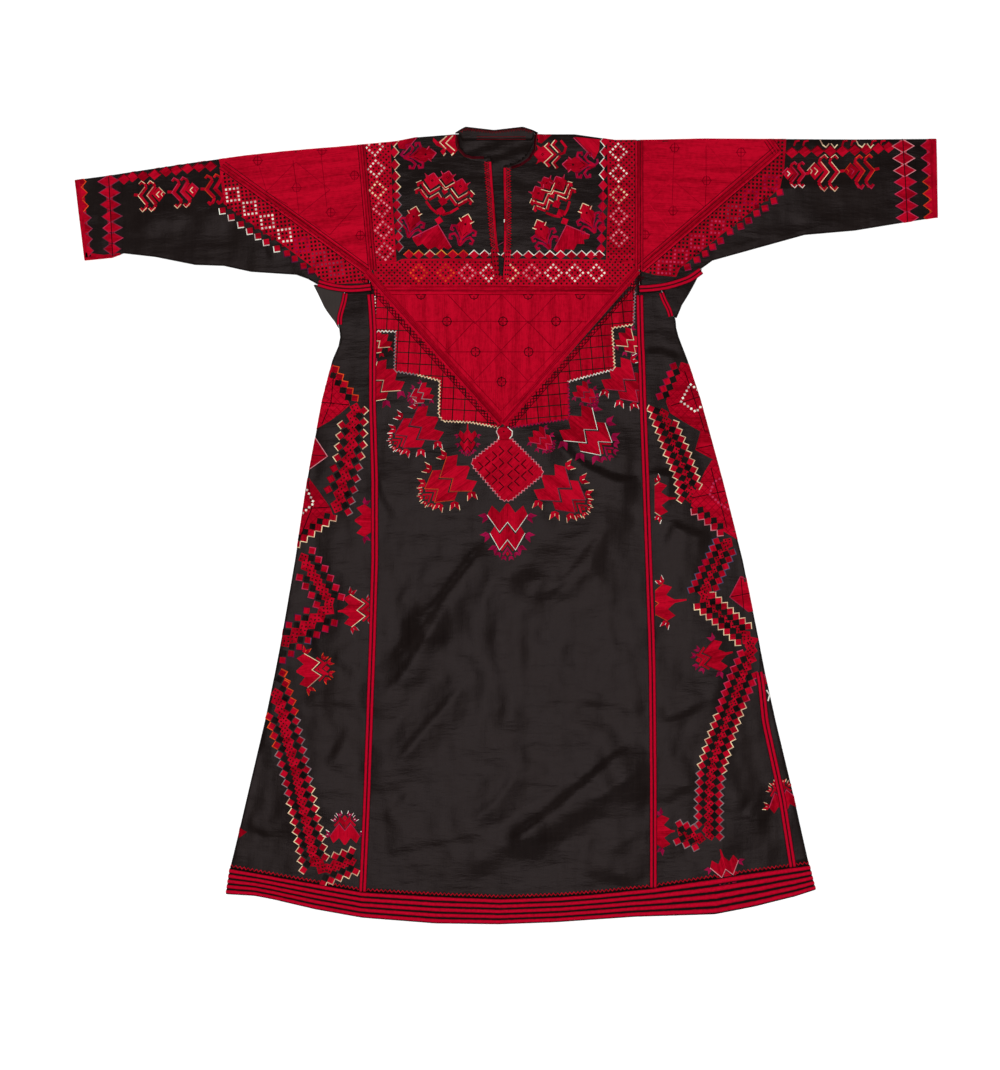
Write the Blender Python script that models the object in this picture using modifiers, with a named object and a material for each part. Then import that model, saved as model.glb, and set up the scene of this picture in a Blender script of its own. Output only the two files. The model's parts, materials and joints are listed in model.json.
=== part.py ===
"""A long embroidered dress of loom-width cloth, laid flat with its front up.

The dress is a flat ring of cloth: a back layer on the ground, a front layer just above it,
and round folds where the outline turns from one into the other. Every row across the body is
one such ring, and a seam is a place on it. X runs to the wearer's left, Y to the neck, Z up.
Metres. The origin is under the middle of the outline, on the ground.
"""

import bpy
import bmesh
from collections import namedtuple
from math import ceil, cos, hypot, pi, sin

# --- cloth and clearances ---------------------------------------------------------------
WALL = 0.0012                # thickness of the cloth
SEAM_GAP = 0.0004            # between two pieces at a seam
FOLD_SEAM_GAP = 0.0012       # the same where the seam runs round a fold
TRIM_LIFT = 0.0007           # between the cloth and what is sewn on it
BACK_LEVEL = WALL / 2        # middle of the back layer
FRONT_LEVEL = 0.0070         # middle of the front layer where it lies lowest
FOLD_R = (FRONT_LEVEL - BACK_LEVEL) / 2
QUARTER = FOLD_R * pi / 2    # length of cloth in a quarter of a fold
HALF_TURN = FOLD_R * pi
FOLD_OUT = FOLD_R + WALL / 2  # how far a fold's outside stands past the fold's centre

# --- how finely the cloth is divided ------------------------------------------------------
PITCH = 0.036                # largest spacing of rows
PANEL_CELLS = 13             # across the front panel
GORE_CELLS = 5               # across a front gore
BACK_CELLS = 4               # across a back gore
EDGE_CELLS = 3               # round a quarter of a fold
EDGE_MIN = 0.003             # least cloth kept for those cells

# --- the soft rise of the front layer ----------------------------------------------------
SWELL = 0.0022               # air under the front layer, away from edges and seams
SWELL_WAVE = 0.0005          # how unevenly it swells
WAVE_X = 0.041
WAVE_Y = 0.053
EDGE_FLAT = 0.035            # the layer lies low this near the outline
EDGE_FADE = 0.070

# --- the rows of the body ----------------------------------------------------------------
HEM_V = -0.620               # the row that follows the top of the hem band
HEM_BEND = -0.477            # rows below this bend towards it
ARM_V = 0.405                # the row that follows the armhole seams
ARM_BEND = 0.337             # rows above this bend towards it
YOKE_BEND = 0.564            # rows above this bend towards the shoulder line
TOP_V = 0.680

# y, then x of the right outline, right seam, left seam and left outline. A gusset or a wrap
# is how far from the outline the seam at that side runs on the front, 0 where it is at the fold.
Row = namedtuple("Row", "y right_edge right_gusset right_seam left_seam left_seam_in left_edge")
ROWS = [
    Row(-0.620, -0.4775, 0.0, -0.2470, 0.2570, 0.0290, 0.5280),
    Row(-0.477, -0.4495, 0.0, -0.2400, 0.2570, 0.0220, 0.5030),
    Row(-0.339, -0.4170, 0.0, -0.2350, 0.2560, 0.0190, 0.4700),
    Row(-0.255, -0.3995, 0.0, -0.2320, 0.2550, 0.0090, 0.4515),
    Row(-0.200, -0.3890, 0.0, -0.2300, 0.2540, 0.0, 0.4410),
    Row(-0.061, -0.3650, 0.0, -0.2260, 0.2490, 0.0, 0.4130),
    Row(0.078, -0.3440, 0.0, -0.2260, 0.2440, 0.0, 0.3780),
    Row(0.217, -0.3180, 0.0, -0.2300, 0.2390, 0.0, 0.3400),
    Row(0.287, -0.3000, 0.0, -0.2300, 0.2370, 0.0, 0.3170),
    Row(0.318, -0.2865, 0.0, -0.2290, 0.2355, 0.0, 0.3050),
    Row(0.337, -0.2870, 0.0, -0.2290, 0.2350, 0.0, 0.2980),
    Row(0.3525, -0.2960, 0.0060, -0.2300, 0.2345, 0.0, 0.2965),
    Row(0.372, -0.3130, 0.0274, -0.2310, 0.2340, 0.0257, 0.3075),
    Row(0.405, -0.3330, 0.0552, -0.2342, 0.2335, 0.0715, 0.3420),
    Row(0.451, -0.40, 0.0, -0.2367, 0.2327, 0.0, 0.40),
    Row(0.564, -0.90, 0.0, -0.2428, 0.2308, 0.0, 0.90),
    Row(0.680, -2.00, 0.0, -0.2478, 0.2291, 0.0, 2.00),
]

# Lines across the dress: x, then y.
Line = namedtuple("Line", "x y")
SHOULDER = [Line(-0.748, 0.5995), Line(-0.711, 0.6040), Line(-0.573, 0.6250), Line(-0.434, 0.6440),
            Line(-0.295, 0.6570), Line(-0.191, 0.6665), Line(-0.156, 0.6735), Line(-0.087, 0.6790),
            Line(0.087, 0.6790), Line(0.121, 0.6790), Line(0.191, 0.6690), Line(0.260, 0.6695),
            Line(0.338, 0.6715), Line(0.607, 0.6700), Line(0.748, 0.6710)]
UNDERARM = [Line(-0.748, 0.4590), Line(-0.642, 0.4700), Line(-0.573, 0.4590), Line(-0.434, 0.4375),
            Line(-0.333, 0.4215), Line(-0.296, 0.3525), Line(-0.280, 0.2000), Line(-0.260, -1.0),
            Line(0.260, -1.0), Line(0.285, 0.2500), Line(0.2965, 0.3525), Line(0.352, 0.4565),
            Line(0.4265, 0.4775), Line(0.520, 0.5035), Line(0.607, 0.5110), Line(0.748, 0.5335)]
HEM_TOP = [Line(-0.480, -0.594), Line(-0.356, -0.616), Line(-0.248, -0.635), Line(-0.130, -0.642),
           Line(-0.009, -0.647), Line(0.095, -0.643), Line(0.165, -0.638), Line(0.257, -0.628),
           Line(0.338, -0.6155), Line(0.425, -0.602), Line(0.530, -0.5885)]
HEM_FOOT = [Line(-0.485, -0.640), Line(-0.434, -0.6430), Line(-0.399, -0.6495), Line(-0.330, -0.6660),
            Line(-0.248, -0.6805), Line(-0.121, -0.6905), Line(-0.009, -0.6920), Line(0.095, -0.6880),
            Line(0.226, -0.6790), Line(0.364, -0.6745), Line(0.434, -0.6610), Line(0.503, -0.6440),
            Line(0.540, -0.6320)]
HEM_SPREAD_RIGHT = 0.0068    # how much wider the dress is at the band's foot than at its top
HEM_SPREAD_LEFT = 0.0110

# --- sleeves: the ends of each section across them, from the cuff to the body -------------
# turn is how far the lower edge is folded: 1 where the sleeve is a closed tube, 0 where its
# front and back are sewn to the body's.
Across = namedtuple("Across", "top_x top_y foot_x foot_y turn")
SLEEVE_RIGHT = [
    Across(-0.7465, 0.5995, -0.7280, 0.4595, 1), Across(-0.6870, 0.6075, -0.6820, 0.4640, 1),
    Across(-0.6630, 0.6113, -0.6620, 0.4715, 1), Across(-0.6070, 0.6199, -0.6070, 0.4653, 1),
    Across(-0.5400, 0.6300, -0.5380, 0.4515, 1), Across(-0.4950, 0.6361, -0.4880, 0.4498, 1),
    Across(-0.4500, 0.6423, -0.4410, 0.4395, 1), Across(-0.3800, 0.6498, -0.3620, 0.4343, 1),
    Across(-0.3600, 0.6514, -0.3420, 0.4270, 1), Across(-0.3440, 0.6530, -0.3250, 0.4180, 0),
    Across(-0.3180, 0.6550, -0.3000, 0.4105, 0), Across(-0.2960, 0.6567, -0.2780, 0.4075, 0),
    Across(-0.2720, 0.6590, -0.2560, 0.4073, 0), Across(-0.2480, 0.6612, -0.2344, 0.4090, 0),
]
SLEEVE_LEFT = [
    Across(0.7440, 0.6710, 0.7465, 0.5335, 1), Across(0.6920, 0.6706, 0.6920, 0.5250, 1),
    Across(0.6070, 0.6700, 0.6070, 0.5110, 1), Across(0.5030, 0.6706, 0.5200, 0.5035, 1),
    Across(0.3990, 0.6711, 0.4265, 0.4775, 1), Across(0.3480, 0.6714, 0.3600, 0.4590, 1),
    Across(0.3320, 0.6712, 0.3400, 0.4450, 0), Across(0.3120, 0.6707, 0.3200, 0.4330, 0),
    Across(0.2920, 0.6702, 0.3000, 0.4225, 0), Across(0.2720, 0.6697, 0.2800, 0.4145, 0),
    Across(0.2520, 0.6694, 0.2580, 0.4095, 0), Across(0.2290, 0.6692, 0.2335, 0.4075, 0),
]
CUFF_SECTIONS = 2            # the first sections of each table are the cuff piece
ARMHOLE = [Line(row.foot_x, row.foot_y) for row in SLEEVE_RIGHT + SLEEVE_LEFT if row.turn == 0]
ARMHOLE_GAP = 0.0010         # between the sleeves and the gores and gussets, under the braid

# --- folds of the front layer --------------------------------------------------------------
Crease = namedtuple("Crease", "x0 y0 x1 y1 height reach")
CREASES = [
    Crease(-0.045, -0.070, -0.135, -0.183, 0.0045, 0.050), Crease(-0.135, -0.183, -0.205, -0.300, 0.0040, 0.050),
    Crease(-0.066, -0.265, -0.205, -0.425, 0.0035, 0.050), Crease(0.147, -0.069, 0.042, -0.118, 0.0035, 0.045),
    Crease(0.177, 0.005, 0.047, -0.100, 0.0040, 0.050), Crease(0.060, 0.150, 0.200, 0.120, 0.0040, 0.045),
    Crease(0.021, -0.428, -0.057, -0.515, 0.0035, 0.045), Crease(0.225, -0.425, 0.042, -0.539, 0.0050, 0.050),
    Crease(0.042, -0.539, -0.082, -0.588, 0.0035, 0.045), Crease(0.000, -0.130, 0.004, -0.400, 0.0030, 0.045),
    Crease(0.151, -0.364, 0.225, -0.455, 0.0030, 0.045), Crease(0.290, -0.320, 0.370, -0.285, 0.0030, 0.045),
    Crease(0.300, -0.440, 0.400, -0.470, 0.0030, 0.050), Crease(-0.300, -0.420, -0.380, -0.500, 0.0030, 0.050),
    Crease(-0.500, 0.540, -0.380, 0.520, 0.0030, 0.045), Crease(0.400, 0.580, 0.560, 0.590, 0.0030, 0.045),
]
# Where the front layer is pressed flat: a line, how wide, and how far the pressing fades.
Pressed = namedtuple("Pressed", "x0 y0 x1 y1 flat fade")
PRESSED = [
    Pressed(-0.345, 0.415, -0.225, 0.390, 0.055, 0.050), Pressed(0.225, 0.390, 0.350, 0.440, 0.055, 0.050),
    Pressed(-0.013, 0.680, -0.006, 0.425, 0.055, 0.050),
]

# --- neck -------------------------------------------------------------------------------------
# The cut edge of the neck and slit, from the right shoulder down and up to the left one, and
# the width of the binding beside it.
Bound = namedtuple("Bound", "x y width")
NECK_RIGHT = [
    Bound(-0.0800, 0.6720, 0.006), Bound(-0.0785, 0.6580, 0.006), Bound(-0.0700, 0.6450, 0.006),
    Bound(-0.0560, 0.6385, 0.006), Bound(-0.0380, 0.6380, 0.008), Bound(-0.0240, 0.6370, 0.011),
    Bound(-0.0213, 0.5920, 0.012), Bound(-0.0187, 0.5640, 0.012), Bound(-0.0150, 0.5100, 0.012),
    Bound(-0.0125, 0.4640, 0.011), Bound(-0.0085, 0.4300, 0.009),
]
NECK_LEFT = [
    Bound(0.0520, 0.6720, 0.006), Bound(0.0450, 0.6545, 0.006), Bound(0.0345, 0.6390, 0.006),
    Bound(0.0190, 0.6290, 0.006), Bound(0.0080, 0.6250, 0.008), Bound(-0.0030, 0.6220, 0.011),
    Bound(-0.0028, 0.5920, 0.011), Bound(-0.0020, 0.5640, 0.011), Bound(-0.0019, 0.5100, 0.011),
    Bound(-0.0022, 0.4640, 0.010), Bound(-0.0048, 0.4300, 0.008),
]
NECK_CLEAR_Y = 0.72          # the neck cutter reaches past the shoulders
BINDING = 0.0012             # thickness of the bound edge
# The thick bound edge of the back neck: its ends lie past the shoulder folds.
Collar = namedtuple("Collar", "x foot top")
COLLAR = [
    Collar(-0.0865, 0.6803, 0.6815), Collar(-0.0790, 0.6803, 0.6865), Collar(-0.0760, 0.6680, 0.6882),
    Collar(-0.0690, 0.6680, 0.6920), Collar(-0.0190, 0.6680, 0.6862), Collar(0.0310, 0.6680, 0.6920),
    Collar(0.0480, 0.6680, 0.6863), Collar(0.0510, 0.6803, 0.6850), Collar(0.0575, 0.6803, 0.6815),
]
COLLAR_THICK = 0.0030

# --- trims ---------------------------------------------------------------------------------------
BRAID_HALF = 0.0065          # half the width of a pair of couched cords
# Across a braid: how far across, from -1 to 1, and how thick it is there.
Ridge = namedtuple("Ridge", "across thick")
BRAID = [Ridge(-1.0, 0.0006), Ridge(-0.55, 0.0018), Ridge(0.0, 0.0008), Ridge(0.55, 0.0018), Ridge(1.0, 0.0006)]
HEM_CORDS = 5
HEM_CORD_RISE = 0.0014
# A place along the hem: x, and how far it turns round the fold, -1 at the right to 1 at the left.
Station = namedtuple("Station", "x turn")
BRAID_END_Y = 0.3975         # the front braids stop under the armhole braids
SIDE_BRAID_TOP = -0.255

# colour, roughness
CLOTH_FINISH = ("black_satin", (0.020, 0.016, 0.016, 1.0), 0.50)
GUSSET_FINISH = ("gusset_cloth", (0.060, 0.048, 0.045, 1.0), 0.65)
CORD_FINISH = ("red_cord", (0.450, 0.004, 0.020, 1.0), 0.55)
HEM_FINISH = ("red_hem_cord", (0.400, 0.004, 0.018, 1.0), 0.55)


# --- small tools -----------------------------------------------------------------------------
def clear_scene():
    """Remove every object, so the script can be run again."""
    for old in list(bpy.data.objects):
        bpy.data.objects.remove(old, do_unlink=True)


def lookup(table, key, value, column):
    """Read a column of a table at a value of its key column, in a straight line between rows."""
    rows = sorted(table, key=lambda row: getattr(row, key))
    low = rows[0]
    for high in rows[1:]:
        if value <= getattr(high, key):
            break
        low = high
    start, end = getattr(low, key), getattr(high, key)
    part = min(1.0, max(0.0, (value - start) / (end - start))) if end > start else 0.0
    return getattr(low, column) * (1 - part) + getattr(high, column) * part


def line_y(line, x):
    """Height up the dress of a line across it."""
    return lookup(line, "x", x, "y")


def smooth(value):
    """Ease from 0 to 1."""
    value = min(1.0, max(0.0, value))
    return value * value * (3 - 2 * value)


def fine(values, pitch):
    """Divide the steps of a list so that none is longer than the pitch."""
    out = [values[0]]
    for start, end in zip(values, values[1:]):
        steps = max(1, ceil(abs(end - start) / pitch - 1e-6))
        out += [start + (end - start) * step / steps for step in range(1, steps + 1)]
    return out


def spread(start, end, cells):
    """Even steps from start to end."""
    return [start + (end - start) * step / cells for step in range(cells + 1)]


def distance_to(line, x, y):
    """Distance from a point to a line piece with columns x0, y0, x1 and y1."""
    along_x, along_y = line.x1 - line.x0, line.y1 - line.y0
    part = ((x - line.x0) * along_x + (y - line.y0) * along_y) / (along_x ** 2 + along_y ** 2)
    part = min(1.0, max(0.0, part))
    return hypot(x - line.x0 - part * along_x, y - line.y0 - part * along_y)


# --- the form of the dress ----------------------------------------------------------------------
def edge_distance(x, y):
    """How far a point of the front lies from the outline."""
    side = min(x - lookup(ROWS, "y", y, "right_edge"), lookup(ROWS, "y", y, "left_edge") - x)
    return min(side, line_y(SHOULDER, x) - y, y - line_y(UNDERARM, x))


def rise(x, y):
    """Height of the middle of the front layer."""
    height = SWELL + SWELL_WAVE * sin(x / WAVE_X) * cos(y / WAVE_Y)
    for crease in CREASES:
        near = max(0.0, 1 - distance_to(crease, x, y) / crease.reach)
        height += crease.height * smooth(near)
    height *= smooth((edge_distance(x, y) - EDGE_FLAT) / EDGE_FADE)
    for press in PRESSED:
        height *= smooth((distance_to(press, x, y) - press.flat) / press.fade)
    return FRONT_LEVEL + height


def body_y(v, x):
    """Height up the dress of row v at x: rows bend to meet the hem, armholes and shoulders."""
    if v < HEM_BEND:
        bend = (HEM_BEND - v) / (HEM_BEND - HEM_V)
        return v + bend * (line_y(HEM_TOP, x) - HEM_V)
    if ARM_BEND < v <= ARM_V and not seam("right", v) < x < seam("left", v):
        bend = (v - ARM_BEND) / (ARM_V - ARM_BEND)
        return v + bend * (line_y(ARMHOLE, x) - ARMHOLE_GAP - ARM_V)
    if v > YOKE_BEND:
        bend = (v - YOKE_BEND) / (TOP_V - YOKE_BEND)
        return v + bend * (line_y(SHOULDER, x) - FOLD_OUT - TOP_V)
    return v


def seam(side, v):
    """x of the seam between the front panel and a side."""
    return lookup(ROWS, "y", v, side + "_seam")


def outward(side):
    """Direction in x from the middle of the dress to a side."""
    return -1 if side == "right" else 1


def fold_start(side, v):
    """x where the front layer starts to turn round the outline."""
    return lookup(ROWS, "y", v, side + "_edge") - outward(side) * FOLD_OUT


def ring(start_x, direction, p):
    """A place round a side fold: p is cloth length from its start, less than 0 on the front."""
    if p <= 0:
        return start_x + direction * p, None
    if p < HALF_TURN:
        angle = p / FOLD_R
        return start_x + direction * FOLD_R * sin(angle), BACK_LEVEL + FOLD_R * (1 + cos(angle))
    return start_x - direction * (p - HALF_TURN), BACK_LEVEL


def side_point(side, v, p):
    """A point of the ring of row v, at cloth length p from the start of a side's fold."""
    x, z = ring(fold_start(side, v), outward(side), p)
    y = body_y(v, x)
    return x, y, rise(x, y) if z is None else z


def seam_place(side, v):
    """Cloth length at which the front gore ends: at the fold, or this side of it."""
    column = "right_gusset" if side == "right" else "left_seam_in"
    places = []
    rows = sorted(ROWS, key=lambda row: row.y)
    for row in rows:
        inset = getattr(row, column)
        places.append(QUARTER if inset == 0 else FOLD_OUT - inset)
    for low, high, place_low, place_high in zip(rows, rows[1:], places, places[1:]):
        if v <= high.y:
            part = (v - low.y) / (high.y - low.y)
            return place_low * (1 - part) + place_high * part
    return places[-1]


def back_place(side, v):
    """Cloth length at which the back gore starts: past the gusset, or at the side seam."""
    front = seam_place(side, v)
    if v > ARM_BEND - 0.001:
        return HALF_TURN - front
    return front


# --- making solids ---------------------------------------------------------------------------
def finish(name, mesh, look, wall=None):
    """Make an object of a mesh, dress it and put it with the dress."""
    piece = bpy.data.objects.new(name, mesh)
    slot, colour, roughness = look
    material = bpy.data.materials.new(slot + "_" + name)
    material.use_nodes = True
    shader = material.node_tree.nodes["Principled BSDF"]
    shader.inputs["Base Color"].default_value = colour
    shader.inputs["Roughness"].default_value = roughness
    shader.inputs["Metallic"].default_value = 0.0
    mesh.materials.append(material)
    mesh.shade_smooth()
    dress.objects.link(piece)
    if wall:
        thicken = piece.modifiers.new("wall", "SOLIDIFY")
        thicken.thickness = wall
        thicken.offset = 0.0
        thicken.use_even_offset = True
    return piece


def grid_mesh(name, columns, rows):
    """A flat unit grid, and the column and row of each of its vertices."""
    bm = bmesh.new()
    bmesh.ops.create_grid(bm, x_segments=columns, y_segments=rows, size=0.5)
    places = {vert: (round((vert.co.x + 0.5) * columns), round((vert.co.y + 0.5) * rows)) for vert in bm.verts}
    return bm, places


def sheet(name, look, us, vs, place):
    """A piece of cloth: an open surface through place(u, v), given its wall by Solidify."""
    bm, places = grid_mesh(name, len(us) - 1, len(vs) - 1)
    for vert, (column, row) in places.items():
        vert.co = place(us[column], vs[row])
    bmesh.ops.recalc_face_normals(bm, faces=bm.faces[:])
    mesh = bpy.data.meshes.new(name)
    bm.to_mesh(mesh)
    bm.free()
    return finish(name, mesh, look, WALL)


def slab(name, look, us, vs, place):
    """A trim with its own profile: a closed body whose two faces are place(u, v, 0) and (u, v, 1)."""
    bm, places = grid_mesh(name, len(us) - 1, len(vs) - 1)
    made = bmesh.ops.extrude_face_region(bm, geom=bm.faces[:], use_keep_orig=True)["geom"]
    tops = [item for item in made if isinstance(item, bmesh.types.BMVert)]
    for vert in tops:
        places[vert] = (round((vert.co.x + 0.5) * (len(us) - 1)), round((vert.co.y + 0.5) * (len(vs) - 1)))
    above = set(tops)
    for vert, (column, row) in places.items():
        vert.co = place(us[column], vs[row], 1 if vert in above else 0)
    bmesh.ops.recalc_face_normals(bm, faces=bm.faces[:])
    mesh = bpy.data.meshes.new(name)
    bm.to_mesh(mesh)
    bm.free()
    return finish(name, mesh, look)


# --- body ----------------------------------------------------------------------------------------
def table_rows(low, high):
    """The rows of the body's table between two heights."""
    return [low] + sorted(row.y for row in ROWS if low < row.y < high) + [high]


def gore_front_place(side, u, v):
    """A point of a front gore: u 0 to 1 is the flat part, 1 to 2 the part at its outer edge."""
    end = seam_place(side, v) - FOLD_SEAM_GAP / 2
    edge = min(0.0, end - EDGE_MIN)
    inner = -abs(fold_start(side, v) - seam(side, v)) + SEAM_GAP / 2
    p = inner + (edge - inner) * u if u <= 1 else edge + (end - edge) * (u - 1)
    return side_point(side, v, p)


def gore_back_place(side, u, v):
    """A point of a back gore: 0 to 1 the part on the front, 1 to 2 the fold, 2 to 3 the back."""
    start = back_place(side, v) + FOLD_SEAM_GAP / 2
    turn = max(0.0, start + EDGE_MIN)
    flat = max(HALF_TURN, turn + EDGE_MIN)
    inner = HALF_TURN + abs(fold_start(side, v) - seam(side, v)) - SEAM_GAP / 2
    stops = [start, turn, flat, inner]
    leg = min(2, int(u))
    return side_point(side, v, stops[leg] + (stops[leg + 1] - stops[leg]) * (u - leg))


def gusset_place(side, u, v):
    """A point of a gusset, from its front seam round the fold to its back seam."""
    start = seam_place(side, v) + FOLD_SEAM_GAP / 2
    end = back_place(side, v) - FOLD_SEAM_GAP / 2
    turn = max(0.0, start + (end - start) / 4)
    flat = min(HALF_TURN, end - (end - start) / 4)
    stops = [start, turn, flat, end]
    leg = min(2, int(u))
    return side_point(side, v, stops[leg] + (stops[leg + 1] - stops[leg]) * (u - leg))


def panel_x(share, v):
    """x at a share of the way across the front or back panel."""
    low = seam("right", v) + SEAM_GAP / 2
    high = seam("left", v) - SEAM_GAP / 2
    return low + (high - low) * share


def panel_front_place(share, v):
    """A point of the front panel; past TOP_V, v counts round the shoulder fold."""
    x = panel_x(share, min(v, TOP_V))
    y = body_y(min(v, TOP_V), x)
    if v <= TOP_V:
        return x, y, rise(x, y)
    angle = (v - TOP_V) / FOLD_R
    return x, y + FOLD_R * sin(angle), BACK_LEVEL + FOLD_R * (1 + cos(angle))


def panel_back_place(share, v):
    """A point of the back panel; past TOP_V it turns up to meet the front, but not at the neck."""
    x = panel_x(share, min(v, TOP_V))
    y = body_y(min(v, TOP_V), x)
    if v <= TOP_V:
        return x, y, BACK_LEVEL
    out = v - TOP_V
    if NECK_RIGHT[0].x < x < NECK_LEFT[0].x:
        return x, y + out, BACK_LEVEL
    angle = out / FOLD_R
    return x, y + FOLD_R * sin(angle), BACK_LEVEL + FOLD_R * (1 - cos(angle))


def front_height(v, x):
    """Height of the front layer's facets at row v, between the columns of its pieces."""
    columns = [gore_front_place("right", step / GORE_CELLS, v)[0] for step in range(GORE_CELLS + 1)]
    columns += [panel_x(step / PANEL_CELLS, v) for step in range(PANEL_CELLS + 1)]
    columns += [gore_front_place("left", step / GORE_CELLS, v)[0] for step in range(GORE_CELLS + 1)]
    columns.sort()
    low = max([column for column in columns if column <= x], default=columns[0])
    high = min([column for column in columns if column > x], default=columns[-1])
    low_z, high_z = rise(low, body_y(v, low)), rise(high, body_y(v, high))
    if high - low < SEAM_GAP * 2:
        return max(low_z, high_z)
    return low_z + (high_z - low_z) * (x - low) / (high - low)


def back_shares():
    """The columns of the back panel, with close ones where the neck opening ends."""
    width = panel_x(1, TOP_V) - panel_x(0, TOP_V)
    low, high = [(edge.x - panel_x(0, TOP_V)) / width for edge in (NECK_RIGHT[0], NECK_LEFT[0])]
    step = 0.004
    return [0, low / 3, low * 2 / 3, low - step, low + step, (low + high) / 2, high - step, high + step,
            (1 + 2 * high) / 3, (2 + high) / 3, 1]


def make_body():
    """The panels, gores and gussets."""
    body_rows = fine(table_rows(HEM_V, ARM_V), PITCH)
    panel_rows = fine(table_rows(HEM_V, TOP_V), PITCH) + spread(TOP_V, TOP_V + QUARTER - FOLD_SEAM_GAP / 2, EDGE_CELLS)[1:]
    front = sheet("front_panel", CLOTH_FINISH, spread(0, 1, PANEL_CELLS), panel_rows, panel_front_place)
    cut_neck(front)
    back_rows = table_rows(HEM_V, TOP_V) + spread(TOP_V, TOP_V + QUARTER - FOLD_SEAM_GAP / 2, EDGE_CELLS)[1:]
    sheet("back_panel", CLOTH_FINISH, back_shares(), back_rows, panel_back_place)
    flat_then_edge = spread(0, 1, GORE_CELLS) + spread(1, 2, EDGE_CELLS)[1:]
    edge_to_back = spread(0, 1, 2) + spread(1, 2, EDGE_CELLS)[1:] + spread(2, 3, BACK_CELLS)[1:]
    round_gusset = spread(0, 1, GORE_CELLS) + spread(1, 2, 2 * EDGE_CELLS)[1:] + spread(2, 3, GORE_CELLS)[1:]
    for side in ("right", "left"):
        tip = 0.3425 if side == "right" else 0.356
        gusset_rows = fine([tip] + table_rows(0.3525 if side == "right" else 0.372, ARM_V)[1:], PITCH / 2)
        sheet("front_gore_" + side, CLOTH_FINISH, flat_then_edge, body_rows,
              lambda u, v, side=side: gore_front_place(side, u, v))
        sheet("back_gore_" + side, CLOTH_FINISH, edge_to_back, body_rows,
              lambda u, v, side=side: gore_back_place(side, u, v))
        sheet("gusset_" + side, GUSSET_FINISH if side == "right" else CLOTH_FINISH, round_gusset, gusset_rows,
              lambda u, v, side=side: gusset_place(side, u, v))


def cut_neck(front):
    """Cut the neck and the chest slit through the front panel."""
    outline = [(edge.x, edge.y) for edge in NECK_RIGHT] + [(edge.x, edge.y) for edge in reversed(NECK_LEFT)]
    outline = [(NECK_RIGHT[0].x, NECK_CLEAR_Y)] + outline + [(NECK_LEFT[0].x, NECK_CLEAR_Y)]
    curve = bpy.data.curves.new("neck_outline", "CURVE")
    curve.dimensions = "2D"
    curve.fill_mode = "BOTH"
    curve.extrude = 0.05
    spline = curve.splines.new("POLY")
    spline.points.add(len(outline) - 1)
    for point, (x, y) in zip(spline.points, outline):
        point.co = (x, y, 0, 1)
    spline.use_cyclic_u = True
    shape = bpy.data.objects.new("neck_outline", curve)
    cutters.objects.link(shape)
    bpy.context.view_layer.update()
    solid = bpy.data.meshes.new_from_object(shape.evaluated_get(bpy.context.evaluated_depsgraph_get()))
    bpy.data.objects.remove(shape, do_unlink=True)
    bm = bmesh.new()
    bm.from_mesh(solid)
    bmesh.ops.remove_doubles(bm, verts=bm.verts[:], dist=0.00001)
    bmesh.ops.recalc_face_normals(bm, faces=bm.faces[:])
    bm.to_mesh(solid)
    bm.free()
    cutter = bpy.data.objects.new("neck_cutter", solid)
    cutter.display_type = "WIRE"
    cutter.hide_render = True
    cutters.objects.link(cutter)
    cut = front.modifiers.new("neck", "BOOLEAN")
    cut.operation = "DIFFERENCE"
    cut.solver = "EXACT"
    cut.object = cutter


# --- sleeves -----------------------------------------------------------------------------------
def between(sections, place):
    """The section at a whole or part place along a sleeve's table."""
    low = min(len(sections) - 2, int(place))
    part = place - low
    return Across(*[a * (1 - part) + b * part for a, b in zip(sections[low], sections[low + 1])])


def sleeve_place(sections, place, u):
    """A point round a sleeve: 0 to 1 turns up from the front's lower edge, 1 to 2 is the front,
    2 to 3 the fold along the top, 3 to 4 the back, and 4 to 5 turns up to the lower edge."""
    section = between(sections, place)
    length = hypot(section.top_x - section.foot_x, section.top_y - section.foot_y)
    along_x, along_y = (section.top_x - section.foot_x) / length, (section.top_y - section.foot_y) / length
    edge = QUARTER - SEAM_GAP / 2
    turn = max(section.turn, 0.001)
    radius = FOLD_R / turn
    foot = radius * sin(edge / radius) + WALL / 2 * section.turn
    top = length - FOLD_OUT
    if u <= 1 or u >= 4:
        cloth = edge * (1 - u if u <= 1 else u - 4)
        run = foot - radius * sin(cloth / radius)
        drop = radius * (1 - cos(cloth / radius))
        level = FRONT_LEVEL - drop if u <= 1 else BACK_LEVEL + drop
    elif u <= 2:
        run = foot + (top - foot) * (u - 1)
        level = None
    elif u < 3:
        angle = pi * (u - 2)
        run = top + FOLD_R * sin(angle)
        level = BACK_LEVEL + FOLD_R * (1 + cos(angle))
    else:
        run = top + (foot - top) * (u - 3)
        level = BACK_LEVEL
    x, y = section.foot_x + along_x * run, section.foot_y + along_y * run
    return x, y, rise(x, y) if level is None else level


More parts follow.
